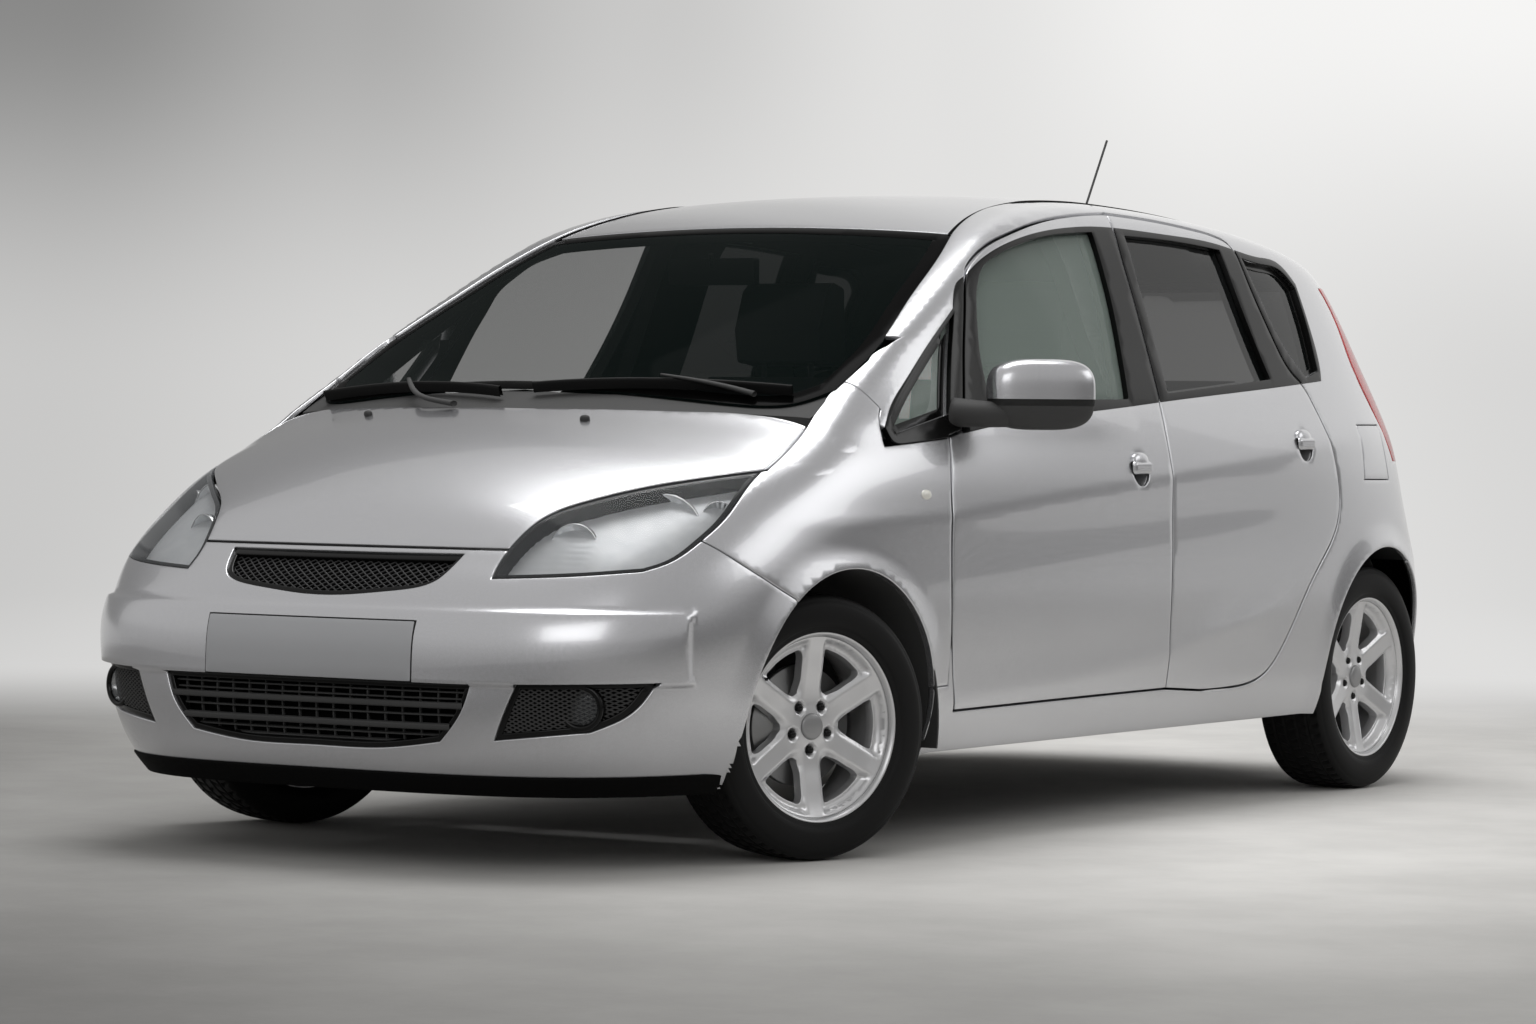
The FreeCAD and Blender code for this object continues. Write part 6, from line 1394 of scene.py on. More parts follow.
def spoiler():
    """Lip over the tailgate's window: at each place across, a curve runs back from the roof's
    end to a rounded tip and returns to the tailgate below it."""
    across = np.linspace(-0.5, 0.5, 81)
    top = cast(across, 1.578, HEIGHT * 0.5, UP)
    low = cast(across, 0.0, top[:, 2] - 0.05, BACK)
    reach = 0.03 * (1 - np.abs(across / 0.505) ** 10)
    tip = np.stack([across, np.maximum(low[:, 1], top[:, 1]) + reach, top[:, 2] - 0.016], -1)
    tip[:, 1] = np.minimum(tip[:, 1], 1.6 + 0.1 * (1 - np.abs(across / 0.5) ** 2.2))
    rows = [top - np.array([0, 0, 0.004]), top + np.array([0, 0.001, 0.0015])]
    for t in np.linspace(0.15, 0.95, 8):
        rows.append(top * (1 - t) + tip * t + np.array([0, 0, 0.0015 + 0.006 * t * (1 - t)]))
    for a in np.linspace(60, -120, 8):
        rows.append(tip + 0.005 * np.array([0, cos(radians(a)), sin(radians(a))]))
    for t in np.linspace(0.1, 1, 6):
        rows.append(tip * (1 - t) + (low - np.array([0, 0.006, 0])) * t
                    - np.array([0, 0, 0.005 * (1 - t)]))
    grid = np.stack(rows)
    made = grid.reshape(-1, 3), None, sheet_quads(len(rows), 81)[:, ::-1]
    build("roof_spoiler", made[0], None, made[2], "silver_paint", "tailgate", "body_paint")


def black_trim(name, ray_map, span, heights, cutters, **changes):
    """A black panel or, on the side, a pair of them."""
    names = [name + "_left", name + "_right"] if ray_map is SIDE else [name]
    values = {"material": "gloss_black", "slot": "black_plastic", "prefix": "", "step": 0.02}
    return panels(names, ray_map, span, heights, cutters, **{**values, **changes})


def window_trim():
    """Black pillar covers and mouldings: what lies inside the window line but isn't glass."""
    cut = Cutter
    line = cut("side", side_loop(WINDOW_LINE), True)
    reach = (HEIGHT * 0.56, rising(ROOF_EDGE_DEG))
    proud = {"lift": SKIN_LIFT + 0.0012, "hem": 0.0012, "depth": 0.012, "detail": pillar_lift}
    for door, runs, glass in DOORS:
        loop = side_loop(runs, -HALF_GAP - RIM)
        black_trim(door + "_window_frame", SIDE, run_of(loop), reach,
                   [line, cut("side", loop, True), cut("side", side_loop(glass, 0.0))],
                   bodies=[door + "_door_left", door + "_door_right"], **proud)
    black_trim("pillar_trim", SIDE, (float(along(0.07)), float(along(0.96))), reach,
               [line, cut("side", side_loop(FRONT_DOOR, HALF_GAP + RIM)),
                cut("side", side_loop(REAR_DOOR, HALF_GAP + RIM)),
                cut("side", side_loop(QUARTER_GLASS_SHARES, 0.0)),
                cut("side", side_loop(SAIL_GLASS_SHARES, 0.0))], **proud)
    for name, runs, border in (("quarter_border", QUARTER_GLASS_SHARES, 0.014),
                               ("corner_border", SAIL_GLASS_SHARES, 0.02)):
        loop = side_loop(runs, 0.004)
        black_trim(name, SIDE, run_of(loop), reach,
                   [cut("side", loop, True), cut("side", side_loop(runs, -border))],
                   lift=-GLASS_INSET + 0.001, hem=0.0008, depth=0.002)


def on_plan(pairs, spacing=0.01):
    """Points and normals of the form under a line drawn in plan."""
    line = spline([plan_pair(q) for q in pairs], spacing)
    points = cast(line[:, 0], line[:, 1], INSIDE_Z, UP)
    return points, slope(points)


def roof_trim():
    """Black strips in the roof's ditches and the dark band round the windscreen."""
    points, normals = on_plan(ROOF_SIDE_SHARES)
    for mirror, side in SIDES:
        piece("roof_strip_" + side, [moulding(points, normals, 0.026, 0.0035)],
              "matte_black_and_painted_shade",
              slot="black_plastic", mirror=mirror, faces_out=False)
    black_trim("screen_border", TOP, *SCREEN_SPAN,
               [Cutter("plan", plan_loop(SCREEN_RUNS, -0.001), True),
                Cutter("plan", plan_loop(SCREEN_RUNS, -0.04))],
               material="screen_black", lift=0.0006, hem=0.0004, depth=0.002, step=0.03)


# Lamps and grilles at the front
def lamp_ribs(p):
    """Fine level ribs towards the lamp's inner end: a cosine of the height."""
    fade = np.clip((0.56 - np.abs(p[:, 0])) / 0.05, 0, 1)
    return 0.0016 * fade * np.cos(p[:, 2] * 2 * pi / 0.0125)


def kept_inside(centre, way, radius, depth):
    """Moves a ring back along its axis until all of it lies that deep in the form."""
    ring = revolve([(radius, 0.004)], (0, 0, 0), way, 24)[0]
    way = frame_of(way)[0]
    for _ in range(6):
        centre = centre - way * max(0.0, outside(ring + centre).max() + depth)
    return centre


def lamp_insides():
    """Bowls, bulbs and dark bezel behind each headlamp's lens. A bowl is a paraboloid,
    depth = d(1 - r²/R²), its wall rippled by the cosine of the angle."""
    cut = Cutter
    panels(["headlamp_back_left", "headlamp_back_right"], NOSE_END, LAMP_SPAN, LAMP_HEIGHTS,
           [cut("front", end_loop(LAMP_SHARES, -0.006), True)], material="lamp_silver",
           slot="lamp_glass", prefix="", lift=-0.035, hem=0.001, depth=-0.03, step=0.006,
           detail=lamp_ribs)
    panels(["headlamp_border_left", "headlamp_border_right"], NOSE_END, LAMP_SPAN, LAMP_HEIGHTS,
           [cut("front", end_loop(LAMP_SHARES, -0.002), True),
            cut("front", end_loop(LAMP_SHARES, -0.008))], material="gloss_black",
           slot="black_plastic", prefix="", lift=-0.001, hem=0.0008, depth=0.04, step=0.012)
    bowls = {"main": ((0.655, -1.618, 0.702), 0.08, 0.06, (0.42, -0.9, 0.08)),
             "turn": ((0.512, -1.73, 0.666), 0.05, 0.045, (0.3, -0.95, 0.05)),
             "side": ((0.735, -1.5, 0.733), 0.034, 0.025, (0.55, -0.8, 0.12))}
    for half, side in SIDES:
        for name, (centre, radius, deep, way) in bowls.items():
            r = np.linspace(1, 0.0, 26)
            centre = kept_inside(np.array(centre), way, radius * 1.06, 0.012)
            rim = [(1.06 * radius, -0.012), (1.06 * radius, 0.002), (1.02 * radius, 0.004)]
            profile = np.array(rim + [(radius * k, -deep * (1 - k * k)) for k in r])
            points, _, quads = revolve(profile, (0, 0, 0), way, 144)
            axis, high, across = frame_of(way)
            turn = np.arctan2(points @ across, points @ high)
            reach = np.hypot(points @ across, points @ high) / radius
            ripple = 0.0016 * np.cos(turn * 18) * np.clip(reach, 0, 1) ** 2 * (reach < 1)
            points = points + axis * ripple[:, None] + np.array(centre)
            build("lamp_bowl_" + name + "_" + side, points, None, quads, "lamp_chrome", "car_body",
                  "lamp_glass", mirror=half)
            if name != "side":
                bulb = revolve([(0, -deep), (0.008, -deep), (0.012, -deep * 0.6),
                                (0.0125, -deep * 0.35), (0.008, -deep * 0.12), (0, -deep * 0.05)],
                               centre, way, 32)
                piece("lamp_bulb_" + name + "_" + side, [bulb],
                      "lamp_chrome" if name == "main" else "amber", slot="lamp_glass",
                      mirror=half)


def mesh_bars(loop, pitch, lift, thick):
    """Crossed slanting bars over an opening: two families of lines in front view, laid on the
    form, cut where they leave the opening."""
    parts = []
    low, high = loop.min(0), loop.max(0)
    for slant in (0.55, -0.55):
        reach = (high[1] - low[1]) / abs(slant)
        for start in np.arange(low[0] - reach, high[0] + reach, pitch):
            z = np.linspace(low[1], high[1], 40)
            x = start + (z - low[1]) / slant if slant > 0 else start + reach + (z - low[1]) / slant
            good = inside(loop, np.stack([x, z], -1))
            if good.sum() < 3:
                continue
            points = cast(x[good], INSIDE_Y, z[good], AHEAD, NOSE_REACH)
            normals = slope(points)
            parts.append(moulding(points + normals * lift, normals, thick, thick * 0.6))
    return parts


def front_trim():
    """Grille mesh, intake bars, bumper lip and fog lamps."""
    cut = Cutter
    backs = [("grille", GRILLE_SHARES, 1), ("intake", INTAKE_SHARES, 1),
             ("fog_left", FOG_SHARES, 1), ("fog_right", FOG_SHARES, -1)]
    for name, runs, half in backs:
        # Near-black sheet set deep behind each opening: painted shade for the dark space behind the
        # grille, intake and fog lamps.
        deep = 0.03 if name in ("grille", "intake") else 0.012
        back = black_trim(name + "_back", NOSE_END, NOSE_SPAN, BUMPER_HEIGHTS,
                          [cut("front", end_loop(runs, 0.004), True, half)],
                          material="matte_black_and_painted_shade", lift=-deep, hem=0.001, depth=-deep + 0.002)[0]
        black_trim(name + "_rim", NOSE_END, NOSE_SPAN, BUMPER_HEIGHTS,
                   [cut("front", end_loop(runs, 0.0), True, half),
                    cut("front", end_loop(runs, -0.009), half=half)],
                   lift=-0.004, hem=0.003, depth=0.012)
        if name == "grille":
            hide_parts("front_grilles")
    piece("grille_mesh", mesh_bars(end_loop(GRILLE_SHARES, 0.0), 0.021, -0.014, 0.0028),
          "mesh_grey", slot="black_plastic", faces_out=False)
    for half, side in ((1, "left"), (-1, "right")):
        loop = end_loop(FOG_SHARES, 0.0) * np.array([half, 1.0])
        piece("fog_mesh_" + side, mesh_bars(loop, 0.016, -0.009, 0.0028), "black_plastic",
              slot="black_plastic", faces_out=False)
    edge = np.array([(-PLATE_HALF, PLATE_HIGH), (PLATE_HALF, PLATE_HIGH),
                     (PLATE_HALF, PLATE_LOW), (-PLATE_HALF, PLATE_LOW)])
    for name, grow, lift, look in (("plate_gap", 0.0035, 0.0165, "gloss_black"),
                                   ("plate", 0.0, 0.0185, "plate_grey")):
        sides = [edge[k] + np.sign(edge[k] - (0, 0.45)) * grow for k in range(4)]
        runs = [np.linspace(sides[k], sides[(k + 1) % 4], 60)[:-1] for k in range(4)]
        black_trim(name, NOSE_END, (-0.4, 0.4), (0.36, 0.54),
                   [cut("front", np.concatenate(runs), True)], material=look, lift=lift,
                   hem=0.0015, depth=0.004)
    intake = end_loop(INTAKE_SHARES, 0.0)
    bars = []
    for z, thick, lift in ((0.345, 0.013, -0.006), (0.3, 0.013, -0.006), (0.372, 0.004, -0.02),
                           (0.358, 0.004, -0.02), (0.323, 0.004, -0.02), (0.28, 0.004, -0.02),
                           (0.264, 0.004, -0.02)):
        x = np.linspace(-0.42, 0.42, 160)
        good = inside(intake, np.stack([x, np.full_like(x, z)], -1))
        points = cast(x[good], INSIDE_Y, z, AHEAD, NOSE_REACH)
        normals = slope(points)
        bars.append(moulding(points + normals * lift, normals, thick, 0.006))
    for x0 in np.arange(-0.36, 0.37, 0.045):
        z = np.linspace(0.25, 0.39, 40)
        good = inside(intake, np.stack([np.full_like(z, x0), z], -1))
        points = cast(x0, INSIDE_Y, z[good], AHEAD, NOSE_REACH)
        normals = slope(points)
        bars.append(moulding(points + normals * -0.022, normals, 0.004, 0.003))
    piece("intake_bars", bars, "black_plastic", slot="black_plastic", faces_out=False)
    for half, side in SIDES:
        way = np.array([0.32, -0.947, 0])
        centre = cast(0.617, 0, 0.347, AHEAD)[0] - way * 0.012
        ring = revolve([(0.034, -0.03), (0.048, -0.03), (0.048, 0.004), (0.045, 0.008),
                        (0.039, 0.008), (0.036, 0.004), (0.034, -0.01), (0.034, -0.03)],
                       centre, way, 72)
        piece("fog_ring_" + side, [ring], "gloss_black", slot="black_plastic", mirror=half)
        bowl = revolve([(0.035, 0.0), (0.03, -0.012), (0.02, -0.022), (0.0, -0.027)], centre, way,
                       72)
        build("fog_bowl_" + side, bowl[0], None, bowl[2], "lamp_chrome", "car_body", "lamp_glass",
              mirror=half)
        lens = revolve([(0.0355, -0.006), (0.0355, 0.001), (0.03, 0.0035), (0.018, 0.006),
                        (0, 0.007)], centre, way, 72)
        cover = build("fog_lens_" + side, lens[0], None, lens[2], "clear_glass", "car_body",
                      "lamp_glass", mirror=half)
        if not half:
            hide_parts("fog_lamps")
    black_trim("bumper_lip", NOSE_END, (-NOSE_RUN * 0.93, NOSE_RUN * 0.93),
               (HEIGHT * 0.111, HEIGHT * 0.136),
               [cut("side", FRONT_ARCH, half=1), cut("side", FRONT_ARCH, half=-1)],
               material="dark_under", lift=0.006, hem=0.003, depth=0.012, step=0.012)


def strip_height(p):
    """Bumper band: it stands proud between two heights and ends before the corners."""
    rise = (np.clip((p[:, 2] - BAND_LOW) / BAND_RISE, 0, 1)
            * np.clip((BAND_HIGH - p[:, 2]) / BAND_FALL, 0, 1))
    ends = np.clip((BAND_END - np.abs(p[:, 0])) / BAND_FADE, 0, 1)
    top = BAND_HIGH - BAND_FALL
    round_top = BAND_SWELL * np.clip((top - p[:, 2]) / BAND_SWELL_RUN, 0, 1) ** 0.5
    return np.minimum(rise, ends) * (BAND_HEIGHT + round_top)


# Mirrors, handles and other fittings
MIRROR_CENTRE = np.array([0.93, -0.527, 0.99])
MIRROR_HALVES = (0.122, 0.054, 0.079)
MIRROR_AXES = np.array([(0.62, 0.785, 0.0), (0.785, -0.62, 0.0), (0, 0, 1.0)])
MIRROR_SPLIT_Z = 0.976
MIRROR_FOOT = [(0.79, -0.665, 0.95), (0.835, -0.648, 0.947), (0.88, -0.6, 0.945),
               (0.93, -0.54, 0.945)]


def mirrors():
    """Door mirrors: a squared ball swept back, cut into a painted cap and a black base, on a
    foot that joins the door's front corner."""
    centre = MIRROR_CENTRE
    for half, side in SIDES:
        body = "front_door_" + side
        points, _, quads = blob(centre, MIRROR_AXES, MIRROR_HALVES, (3.4, 3.4), 56, 96)
        top = points[quads].mean(1)[:, 2] > MIRROR_SPLIT_Z
        cap = outward((points, None, quads), centre)[2]
        cover = build("mirror_cap_" + side, points, None, cap[top], "silver_paint", body,
                      "body_paint", mirror=half)
        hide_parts("door_mirror_" + side)
        inner = centre + (points - centre) * 0.985
        build("mirror_base_" + side, inner, None, cap[~top], "black_plastic", body,
              "black_plastic", mirror=half)
        edge = np.abs(inner[quads].mean(1)[:, 2] - MIRROR_SPLIT_Z) < 0.012
        build("mirror_seam_" + side, inner, None, cap[edge], "black_plastic", body,
              "black_plastic", mirror=half)
        path = spline(MIRROR_FOOT, 0.01)
        foot = tube(path, np.linspace(0.04, 0.03, len(path)), 20, 0.8)
        piece("mirror_foot_" + side, [foot], "black_plastic", body, "black_plastic", mirror=half)


PULL_HALVES = (0.036, 0.0125, 0.022)
REPEATER = (-0.848, 0.771)
REPEATER_HALVES = (0.019, 0.0085, 0.0115)


def handles():
    """Round cups pressed into the doors with a pull across each, and the side repeaters."""
    for door, pair in HANDLE_SHARES.items():
        y, z = side_pair(pair)
        spot = cast(0, y, z, LEFT)
        way = slope(spot)[0]
        spot = spot[0] + way * SKIN_LIFT
        r = np.linspace(1, 0, 16)
        profile = ([(CUP_RADIUS + 0.001, -0.001), (CUP_RADIUS, 0.0003),
                    (CUP_RADIUS - 0.002, 0.0)]
                   + [((CUP_RADIUS - 0.002) * k, -0.024 * (1 - k * k)) for k in r[1:]])
        cup = revolve(profile, spot, way, 96)
        axis, high, across = frame_of(way)
        bar = blob(spot + way * 0.002 + high * 0.0185, (across, axis, high), PULL_HALVES,
                   (2.4, 2.6), 32, 56)
        for half, side in SIDES:
            body = door + "_door_" + side
            build(door + "_handle_cup_" + side, cup[0], None, cup[2], "silver_paint", body,
                  "body_paint", mirror=half)
            piece(door + "_handle_bar_" + side, [bar], "silver_paint", body, "body_paint",
                  mirror=half)
    spot = cast(0, *REPEATER, LEFT)
    way = slope(spot)[0]
    axis, high, across = frame_of(way)
    lens = blob(spot[0] + way * 0.001, (across, axis, high), REPEATER_HALVES, (2.2, 2.6), 20, 40)
    for half, side in SIDES:
        piece("side_repeater_" + side, [lens], "lamp_white", slot="lamp_glass", mirror=half)


WIPERS = (("left", (0.552, -1.095), (0.5, -1.1), (0.62, -1.05), (0.05, -1.21)),
          ("right", (-0.1, -1.3), (-0.2, -1.27), (-0.02, -1.235), (-0.62, -1.09)))
WASHER_JETS = ((-0.344, -1.293), (0.274, -1.333))


def wipers():
    """Two wiper arms and blades at the windscreen's foot, and the bonnet's washer jets."""
    for name, pivot, elbow, low, high in WIPERS:
        ends = np.array([low, high])
        t = np.linspace(0, 1, 40)[:, None]
        line = ends[0] * (1 - t) + ends[1] * t
        points = cast(line[:, 0], line[:, 1], INSIDE_Z, UP)
        normals = slope(points)
        blade = moulding(points + normals * 0.014, normals, 0.008, 0.012)
        stem = np.array([[*pivot, 0.0], [*elbow, 0.0], [*(0.5 * (ends[0] + ends[1])), 0.0]])
        stem = spline(stem, 0.015)
        path = cast(stem[:, 0], stem[:, 1], INSIDE_Z, UP)
        path = path + slope(path) * np.linspace(0.012, 0.034, len(path))[:, None]
        arm = tube(path, np.linspace(0.011, 0.005, len(path)), 12, 0.6)
        piece("wiper_blade_" + name, [blade], "rubber", slot="black_plastic", faces_out=False)
        piece("wiper_arm_" + name, [arm], "black_plastic", slot="black_plastic")
    jets = []
    for x, y in WASHER_JETS:
        spot = cast(x, y, INSIDE_Z, UP)
        way = slope(spot)[0]
        jets.append(blob(spot[0] + way * 0.004, frame_of(way)[::-1], (0.011, 0.008, 0.009)))
    piece("washer_jets", jets, "black_plastic", "bonnet", "black_plastic")


class CAR_OT_wheels(bpy.types.Operator):
    """Tyres with tread, spoked wheels, discs, nuts and caps"""

    bl_idname = "car.wheels"
    bl_label = "Wheels"

    def execute(self, context):
        wheels()
        return {"FINISHED"}


class CAR_OT_trim(bpy.types.Operator):
    """Black window trim, roof strips and wipers"""

    bl_idname = "car.trim"
    bl_label = "Trim"

    def execute(self, context):
        window_trim()
        roof_trim()
        spoiler()
        wipers()
        return {"FINISHED"}


class CAR_OT_front(bpy.types.Operator):
    """Headlamp insides, grille mesh, intake and fog lamps"""

    bl_idname = "car.front"
    bl_label = "Front"

    def execute(self, context):
        lamp_insides()
        front_trim()
        return {"FINISHED"}


class CAR_OT_fittings(bpy.types.Operator):
    """Door mirrors, door handles and side repeaters"""

    bl_idname = "car.fittings"
    bl_label = "Fittings"

    def execute(self, context):
        mirrors()
        handles()
        return {"FINISHED"}


class CarColours(bpy.types.PropertyGroup):
    paint: bpy.props.FloatVectorProperty(
        name="Body paint", description="Colour of the painted panels", subtype="COLOR",
        default=(0.56, 0.562, 0.582), min=0.0, max=1.0)
    floor: bpy.props.FloatVectorProperty(
        name="Floor", description="Colour of the floor and the backdrop", subtype="COLOR",
        default=(0.72, 0.72, 0.72), min=0.0, max=1.0)


class StageSizes(bpy.types.PropertyGroup):
    lens: bpy.props.FloatProperty(
        name="Lens", description="Focal length of the camera in millimetres",
        default=116.22, min=20.0, max=300.0)


CAMERA_PLACE = (6.46553, -9.96168, 0.9756)
CAMERA_TURN_DEG = 33.5395
CAMERA_DIP_DEG = 1.30644
CAMERA_ROLL_DEG = 0.47853
SENSOR = 36.0


class CAR_OT_stage(bpy.types.Operator):
    """Floor, backdrop, lights and camera"""

    bl_idname = "car.stage"
    bl_label = "Stage"

    def execute(self, context):
        scene = context.scene
        make_camera(scene)
        floor = make_floor(tuple(scene.car_colours.floor))
        make_lights(scene)
        scene.view_settings.view_transform = "Standard"
        return {"FINISHED"}


def make_camera(scene):
    yaw, dip, roll = (radians(a) for a in (CAMERA_TURN_DEG, CAMERA_DIP_DEG, CAMERA_ROLL_DEG))
    back = Vector((sin(yaw) * cos(dip), -cos(yaw) * cos(dip), sin(dip)))
    right = (-back).cross(Vector((0, 0, 1))).normalized()
    up = right.cross(-back)
    turned = right * cos(roll) + up * sin(roll)
    upright = up * cos(roll) - right * sin(roll)
    camera = bpy.data.objects.new("camera", bpy.data.cameras.new("camera"))
    scene.collection.objects.link(camera)
    camera.matrix_world = Matrix((turned, upright, back)).transposed().to_4x4()
    camera.location = CAMERA_PLACE
    camera.data.sensor_width = SENSOR
    camera.data.lens = scene.stage_sizes.lens
    camera.data.clip_end = 200
    scene.camera = camera


def make_floor(colour):
    """Floor that bends up into a wall behind: a flat run, a quarter arc and a straight rise,
    swept straight across, then turned to face the camera."""
    radius, far, high = 6.0, 12.0, 14.0
    angle = np.linspace(0, QUARTER, 24)
    run = np.concatenate([[-30.0], np.linspace(-12, far, 30), far + radius * np.sin(angle),
                          [far + radius]])
    rise = np.concatenate([np.zeros(31), radius * (1 - np.cos(angle)), [high + radius]])
    across = np.linspace(-30, 30, 40)
    u, r = np.meshgrid(across, run)
    points = np.stack([u, r, np.broadcast_to(rise[:, None], u.shape)], -1).reshape(-1, 3)
    yaw = radians(CAMERA_TURN_DEG)
    x = points[:, 0] * cos(yaw) - points[:, 1] * sin(yaw)
    y = points[:, 0] * sin(yaw) + points[:, 1] * cos(yaw)
    points = np.stack([x, y, points[:, 2] - 0.0005], -1)
    mesh = bpy.data.meshes.new("floor")
    mesh.from_pydata(points, [], sheet_quads(*u.shape))
    mesh.shade_smooth()
    floor = bpy.data.objects.new("floor", mesh)
    bpy.context.scene.collection.objects.link(floor)
    mesh.materials.append(studio_ground(colour))
    return floor


def ramp(tree, factor, stops):
    """Colour ramp of greys, eased between its stops."""
    made = node(tree, "ShaderNodeValToRGB")
    made.color_ramp.interpolation = "EASE"
    for k, (place, level) in enumerate(stops):
        stop = made.color_ramp.elements[k] if k < 2 else made.color_ramp.elements.new(place)
        stop.position = place
        stop.color = (*np.array(level) * WALL_TONE, 1)
    tree.links.new(factor, made.inputs["Fac"])
    return made.outputs["Color"]


def dot_with(tree, vector, way):
    made = node(tree, "ShaderNodeVectorMath", operation="DOT_PRODUCT")
    tree.links.new(vector, made.inputs[0])
    made.inputs[1].default_value = way
    return made.outputs["Value"]


def spread_of(tree, value, low, high, smooth_step=False):
    made = node(tree, "ShaderNodeMapRange")
    if smooth_step:
        made.interpolation_type = "SMOOTHSTEP"
    made.inputs["From Min"].default_value, made.inputs["From Max"].default_value = low, high
    tree.links.new(value, made.inputs["Value"])
    return made.outputs["Result"]


def studio_ground(colour):
    """Concrete that fades into a paper wall. Its colour holds painted light and shade: painted
    shade grey at the left, painted light white at the right, painted shade darker towards the
    camera; the fine specks are the concrete's own. The wall glows with painted light to the
    camera, to glossy and to clear rays, with painted shade high up at the left. The floor stays
    lit and shadowed. Seen from outside the room both are clear, so that nothing hides the car
    from behind or from below."""
    material = finish("concrete_with_painted_light", colour, rough=(0.75, 0.9), grain=0.4, size=45.0,
                      vary=1.5, specular=0.2)
    tree = material.node_tree
    shader = tree.nodes["Principled BSDF"]
    place = node(tree, "ShaderNodeTexCoord").outputs["Object"]
    yaw = radians(CAMERA_TURN_DEG)
    across = dot_with(tree, place, (cos(yaw), sin(yaw), 0))
    away = dot_with(tree, place, (-sin(yaw), cos(yaw), 0))
    high = dot_with(tree, place, (0, 0, 1))
    # Painted light and shade in the floor's colour: grey at the left, white at the right.
    painted_light_across = ramp(tree, spread_of(tree, across, -2.6, 2.6),
                [(0.0, 0.26), (1.0, 0.5), (0.2, 0.34), (0.5, 0.58), (0.68, 0.72), (0.85, 0.6)])
    # Painted shade in the floor's colour: darker towards the camera.
    near = ramp(tree, spread_of(tree, away, -4.6, -0.5), [(0.0, 0.5), (1.0, 1.0)])
    grit = node(tree, "ShaderNodeTexNoise", Scale=1.6, Detail=9.0, Roughness=0.65)
    tree.links.new(place, grit.inputs["Vector"])
    specks = ramp(tree, grit.outputs["Fac"], [(0.3, 0.9), (0.72, 1.06)])
    sheets = [painted_light_across, near, specks]
    for sheet in sheets[1:]:
        mixed = node(tree, "ShaderNodeMix", data_type="RGBA", blend_type="MULTIPLY")
        mixed.inputs[0].default_value = 1.0
        tree.links.new(sheets[0], mixed.inputs[6])
        tree.links.new(sheet, mixed.inputs[7])
        sheets[0] = mixed.outputs[2]
    tree.links.new(sheets[0], shader.inputs["Base Color"])
    # Painted light on the wall: it glows dark at the left and bright at the right, with painted
    # shade high up at the left.
    wide = spread_of(tree, across, -4.2, 4.2)
    painted_glow_high = ramp(tree, wide, [(0.0, 0.25), (1.0, 0.92), (0.2, 0.4), (0.4, 0.58), (0.6, 0.76),
                              (0.8, 0.9)])
    painted_glow_low = ramp(tree, wide, [(0.0, 0.58), (1.0, 0.68), (0.25, 0.68), (0.5, 0.76), (0.8, 0.74)])
    mixed = node(tree, "ShaderNodeMix", data_type="RGBA")
    tree.links.new(spread_of(tree, high, 1.0, 3.4, True), mixed.inputs[0])
    tree.links.new(painted_glow_low, mixed.inputs[6])
    tree.links.new(painted_glow_high, mixed.inputs[7])
    painted_wall_glow = node(tree, "ShaderNodeEmission")
    tree.links.new(mixed.outputs[2], painted_wall_glow.inputs["Color"])
    path = node(tree, "ShaderNodeLightPath")
    seen = path.outputs["Is Camera Ray"]
    for kind in ("Is Glossy Ray", "Is Transmission Ray"):
        either = node(tree, "ShaderNodeMath", operation="MAXIMUM")
        tree.links.new(seen, either.inputs[0])
        tree.links.new(path.outputs[kind], either.inputs[1])
        seen = either.outputs[0]
    share = node(tree, "ShaderNodeMath", operation="MULTIPLY")
    tree.links.new(seen, share.inputs[0])
    tree.links.new(spread_of(tree, away, 2.0, 6.0, True), share.inputs[1])
    mix = node(tree, "ShaderNodeMixShader")
    tree.links.new(share.outputs[0], mix.inputs[0])
    tree.links.new(shader.outputs[0], mix.inputs[1])
    tree.links.new(painted_wall_glow.outputs[0], mix.inputs[2])
    inner = node(tree, "ShaderNodeMixShader")
    tree.links.new(node(tree, "ShaderNodeNewGeometry").outputs["Backfacing"], inner.inputs[0])
    tree.links.new(mix.outputs[0], inner.inputs[1])
    tree.links.new(node(tree, "ShaderNodeBsdfTransparent").outputs[0], inner.inputs[2])
    tree.links.new(inner.outputs[0], tree.nodes["Material Output"].inputs["Surface"])
    return material


WALL_TONE = (1.0, 0.995, 0.985)
LAMPS = (("top", (-0.3, 0.5, 7.5), (0, 0.3, 0), (5.0, 4.5), 330.0),
         ("side", (6.0, 3.6, 4.0), (0, -1.2, 0.7), (5.0, 2.4), 60.0),
         ("front", (4.5, -9.5, 5.0), (0, 0, 0.6), (6.0, 4.0), 130.0))


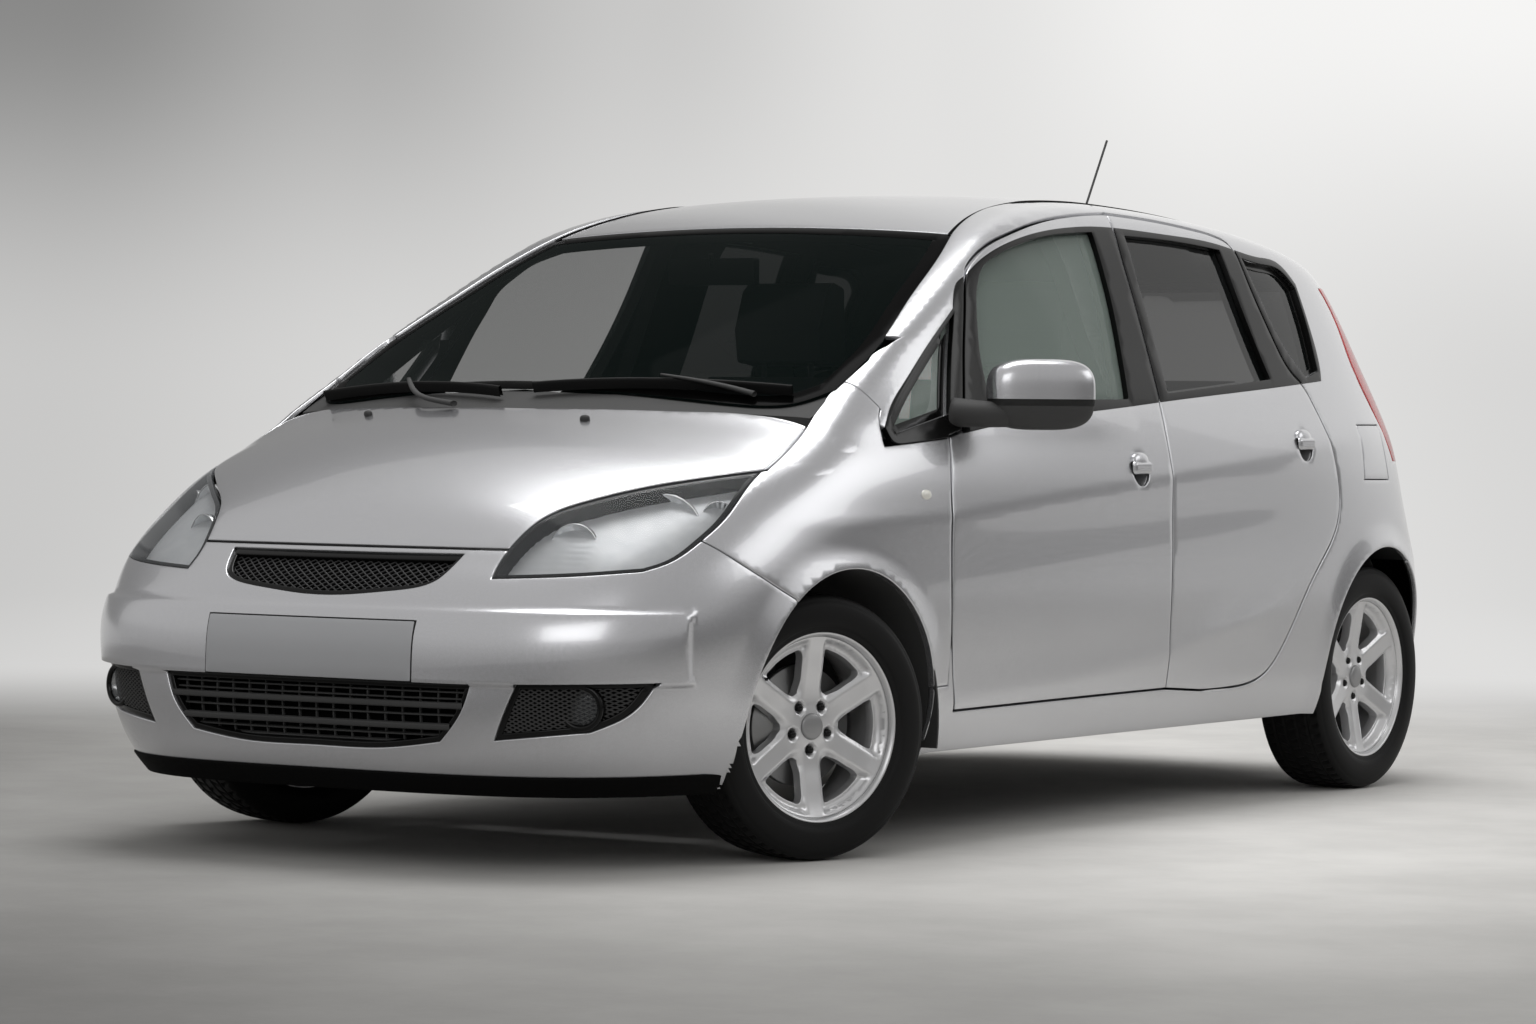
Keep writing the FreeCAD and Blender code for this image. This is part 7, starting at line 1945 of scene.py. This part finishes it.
def make_lights(scene):
    """Studio room: a darker band at the horizon, darkest behind the car's left side, under an
    even bright ceiling; a large lamp overhead for the shadow, one beside and one in front."""
    world = bpy.data.worlds.new("studio")
    scene.world = world
    world.use_nodes = True
    tree = world.node_tree
    background = tree.nodes["Background"]
    way = node(tree, "ShaderNodeTexCoord").outputs["Generated"]
    turned = dot_with(tree, way, (0.5525, 0.8335, 0))
    band = ramp(tree, spread_of(tree, turned, -1.0, 1.0), [(0.0, 0.55), (1.0, 0.12), (0.55, 0.42),
                                                          (0.85, 0.14)])
    ceiling = ramp(tree, spread_of(tree, turned, -1.0, 1.0), [(0.0, 0.66), (1.0, 0.5)])
    mixed = node(tree, "ShaderNodeMix", data_type="RGBA")
    tree.links.new(spread_of(tree, dot_with(tree, way, (0, 0, 1)), 0.12, 0.19, True),
                   mixed.inputs[0])
    tree.links.new(band, mixed.inputs[6])
    tree.links.new(ceiling, mixed.inputs[7])
    tree.links.new(mixed.outputs[2], background.inputs["Color"])
    background.inputs["Strength"].default_value = 1.0
    for name, place, aim, size, power in LAMPS:
        lamp = bpy.data.lights.new(name, "AREA")
        lamp.shape = "RECTANGLE"
        lamp.size, lamp.size_y = size
        lamp.energy = power
        holder = bpy.data.objects.new(name, lamp)
        scene.collection.objects.link(holder)
        holder.location = place
        holder.rotation_euler = (Vector(aim) - Vector(place)).to_track_quat("-Z", "Y").to_euler()


class CAR_OT_solids(bpy.types.Operator):
    """Finishes of the solids that show as they are"""

    bl_idname = "car.solids"
    bl_label = "Solids"

    def execute(self, context):
        make_finishes(context.scene.car_colours)
        slots = {row["node"]: row["material_slot"] for row in frame["record"]["subparts"]}
        for name, piece in frame["nodes"].items():
            piece.data.materials.clear()
            piece.data.materials.append(bpy.data.materials[CAD_FINISHES[slots[name]]])
        return {"FINISHED"}


class CAR_OT_body(bpy.types.Operator):
    """Painted panels"""

    bl_idname = "car.body"
    bl_label = "Body panels"

    def execute(self, context):
        body_skins()
        return {"FINISHED"}


class CAR_OT_glass(bpy.types.Operator):
    """Windows and lamp lenses"""

    bl_idname = "car.glass"
    bl_label = "Glass"

    def execute(self, context):
        glass_skins()
        return {"FINISHED"}


OPERATORS = (CAR_OT_stage, CAR_OT_solids, CAR_OT_body, CAR_OT_glass, CAR_OT_wheels, CAR_OT_trim,
             CAR_OT_front, CAR_OT_fittings)


class CAR_PT_panel(bpy.types.Panel):
    """Sizes and colours, and one button for each group of pieces"""

    bl_idname = "CAR_PT_panel"
    bl_label = "Hatchback"
    bl_space_type = "VIEW_3D"
    bl_region_type = "UI"
    bl_category = "Hatchback"

    def draw(self, context):
        self.layout.prop(context.scene.car_colours, "paint")
        self.layout.prop(context.scene.car_colours, "floor")
        self.layout.prop(context.scene.stage_sizes, "lens")
        for operator in OPERATORS:
            self.layout.operator(operator.bl_idname)


CLASSES = (CarColours, StageSizes, *OPERATORS, CAR_PT_panel)


def register():
    for item in CLASSES:
        bpy.utils.register_class(item)
    bpy.types.Scene.car_colours = bpy.props.PointerProperty(type=CarColours)
    bpy.types.Scene.stage_sizes = bpy.props.PointerProperty(type=StageSizes)


def unregister():
    del bpy.types.Scene.car_colours
    del bpy.types.Scene.stage_sizes
    for item in reversed(CLASSES):
        bpy.utils.unregister_class(item)


def main():
    register()
    for operator in OPERATORS:
        group, name = operator.bl_idname.split(".")
        getattr(getattr(bpy.ops, group), name)()


if __name__ == "__main__":
    main()
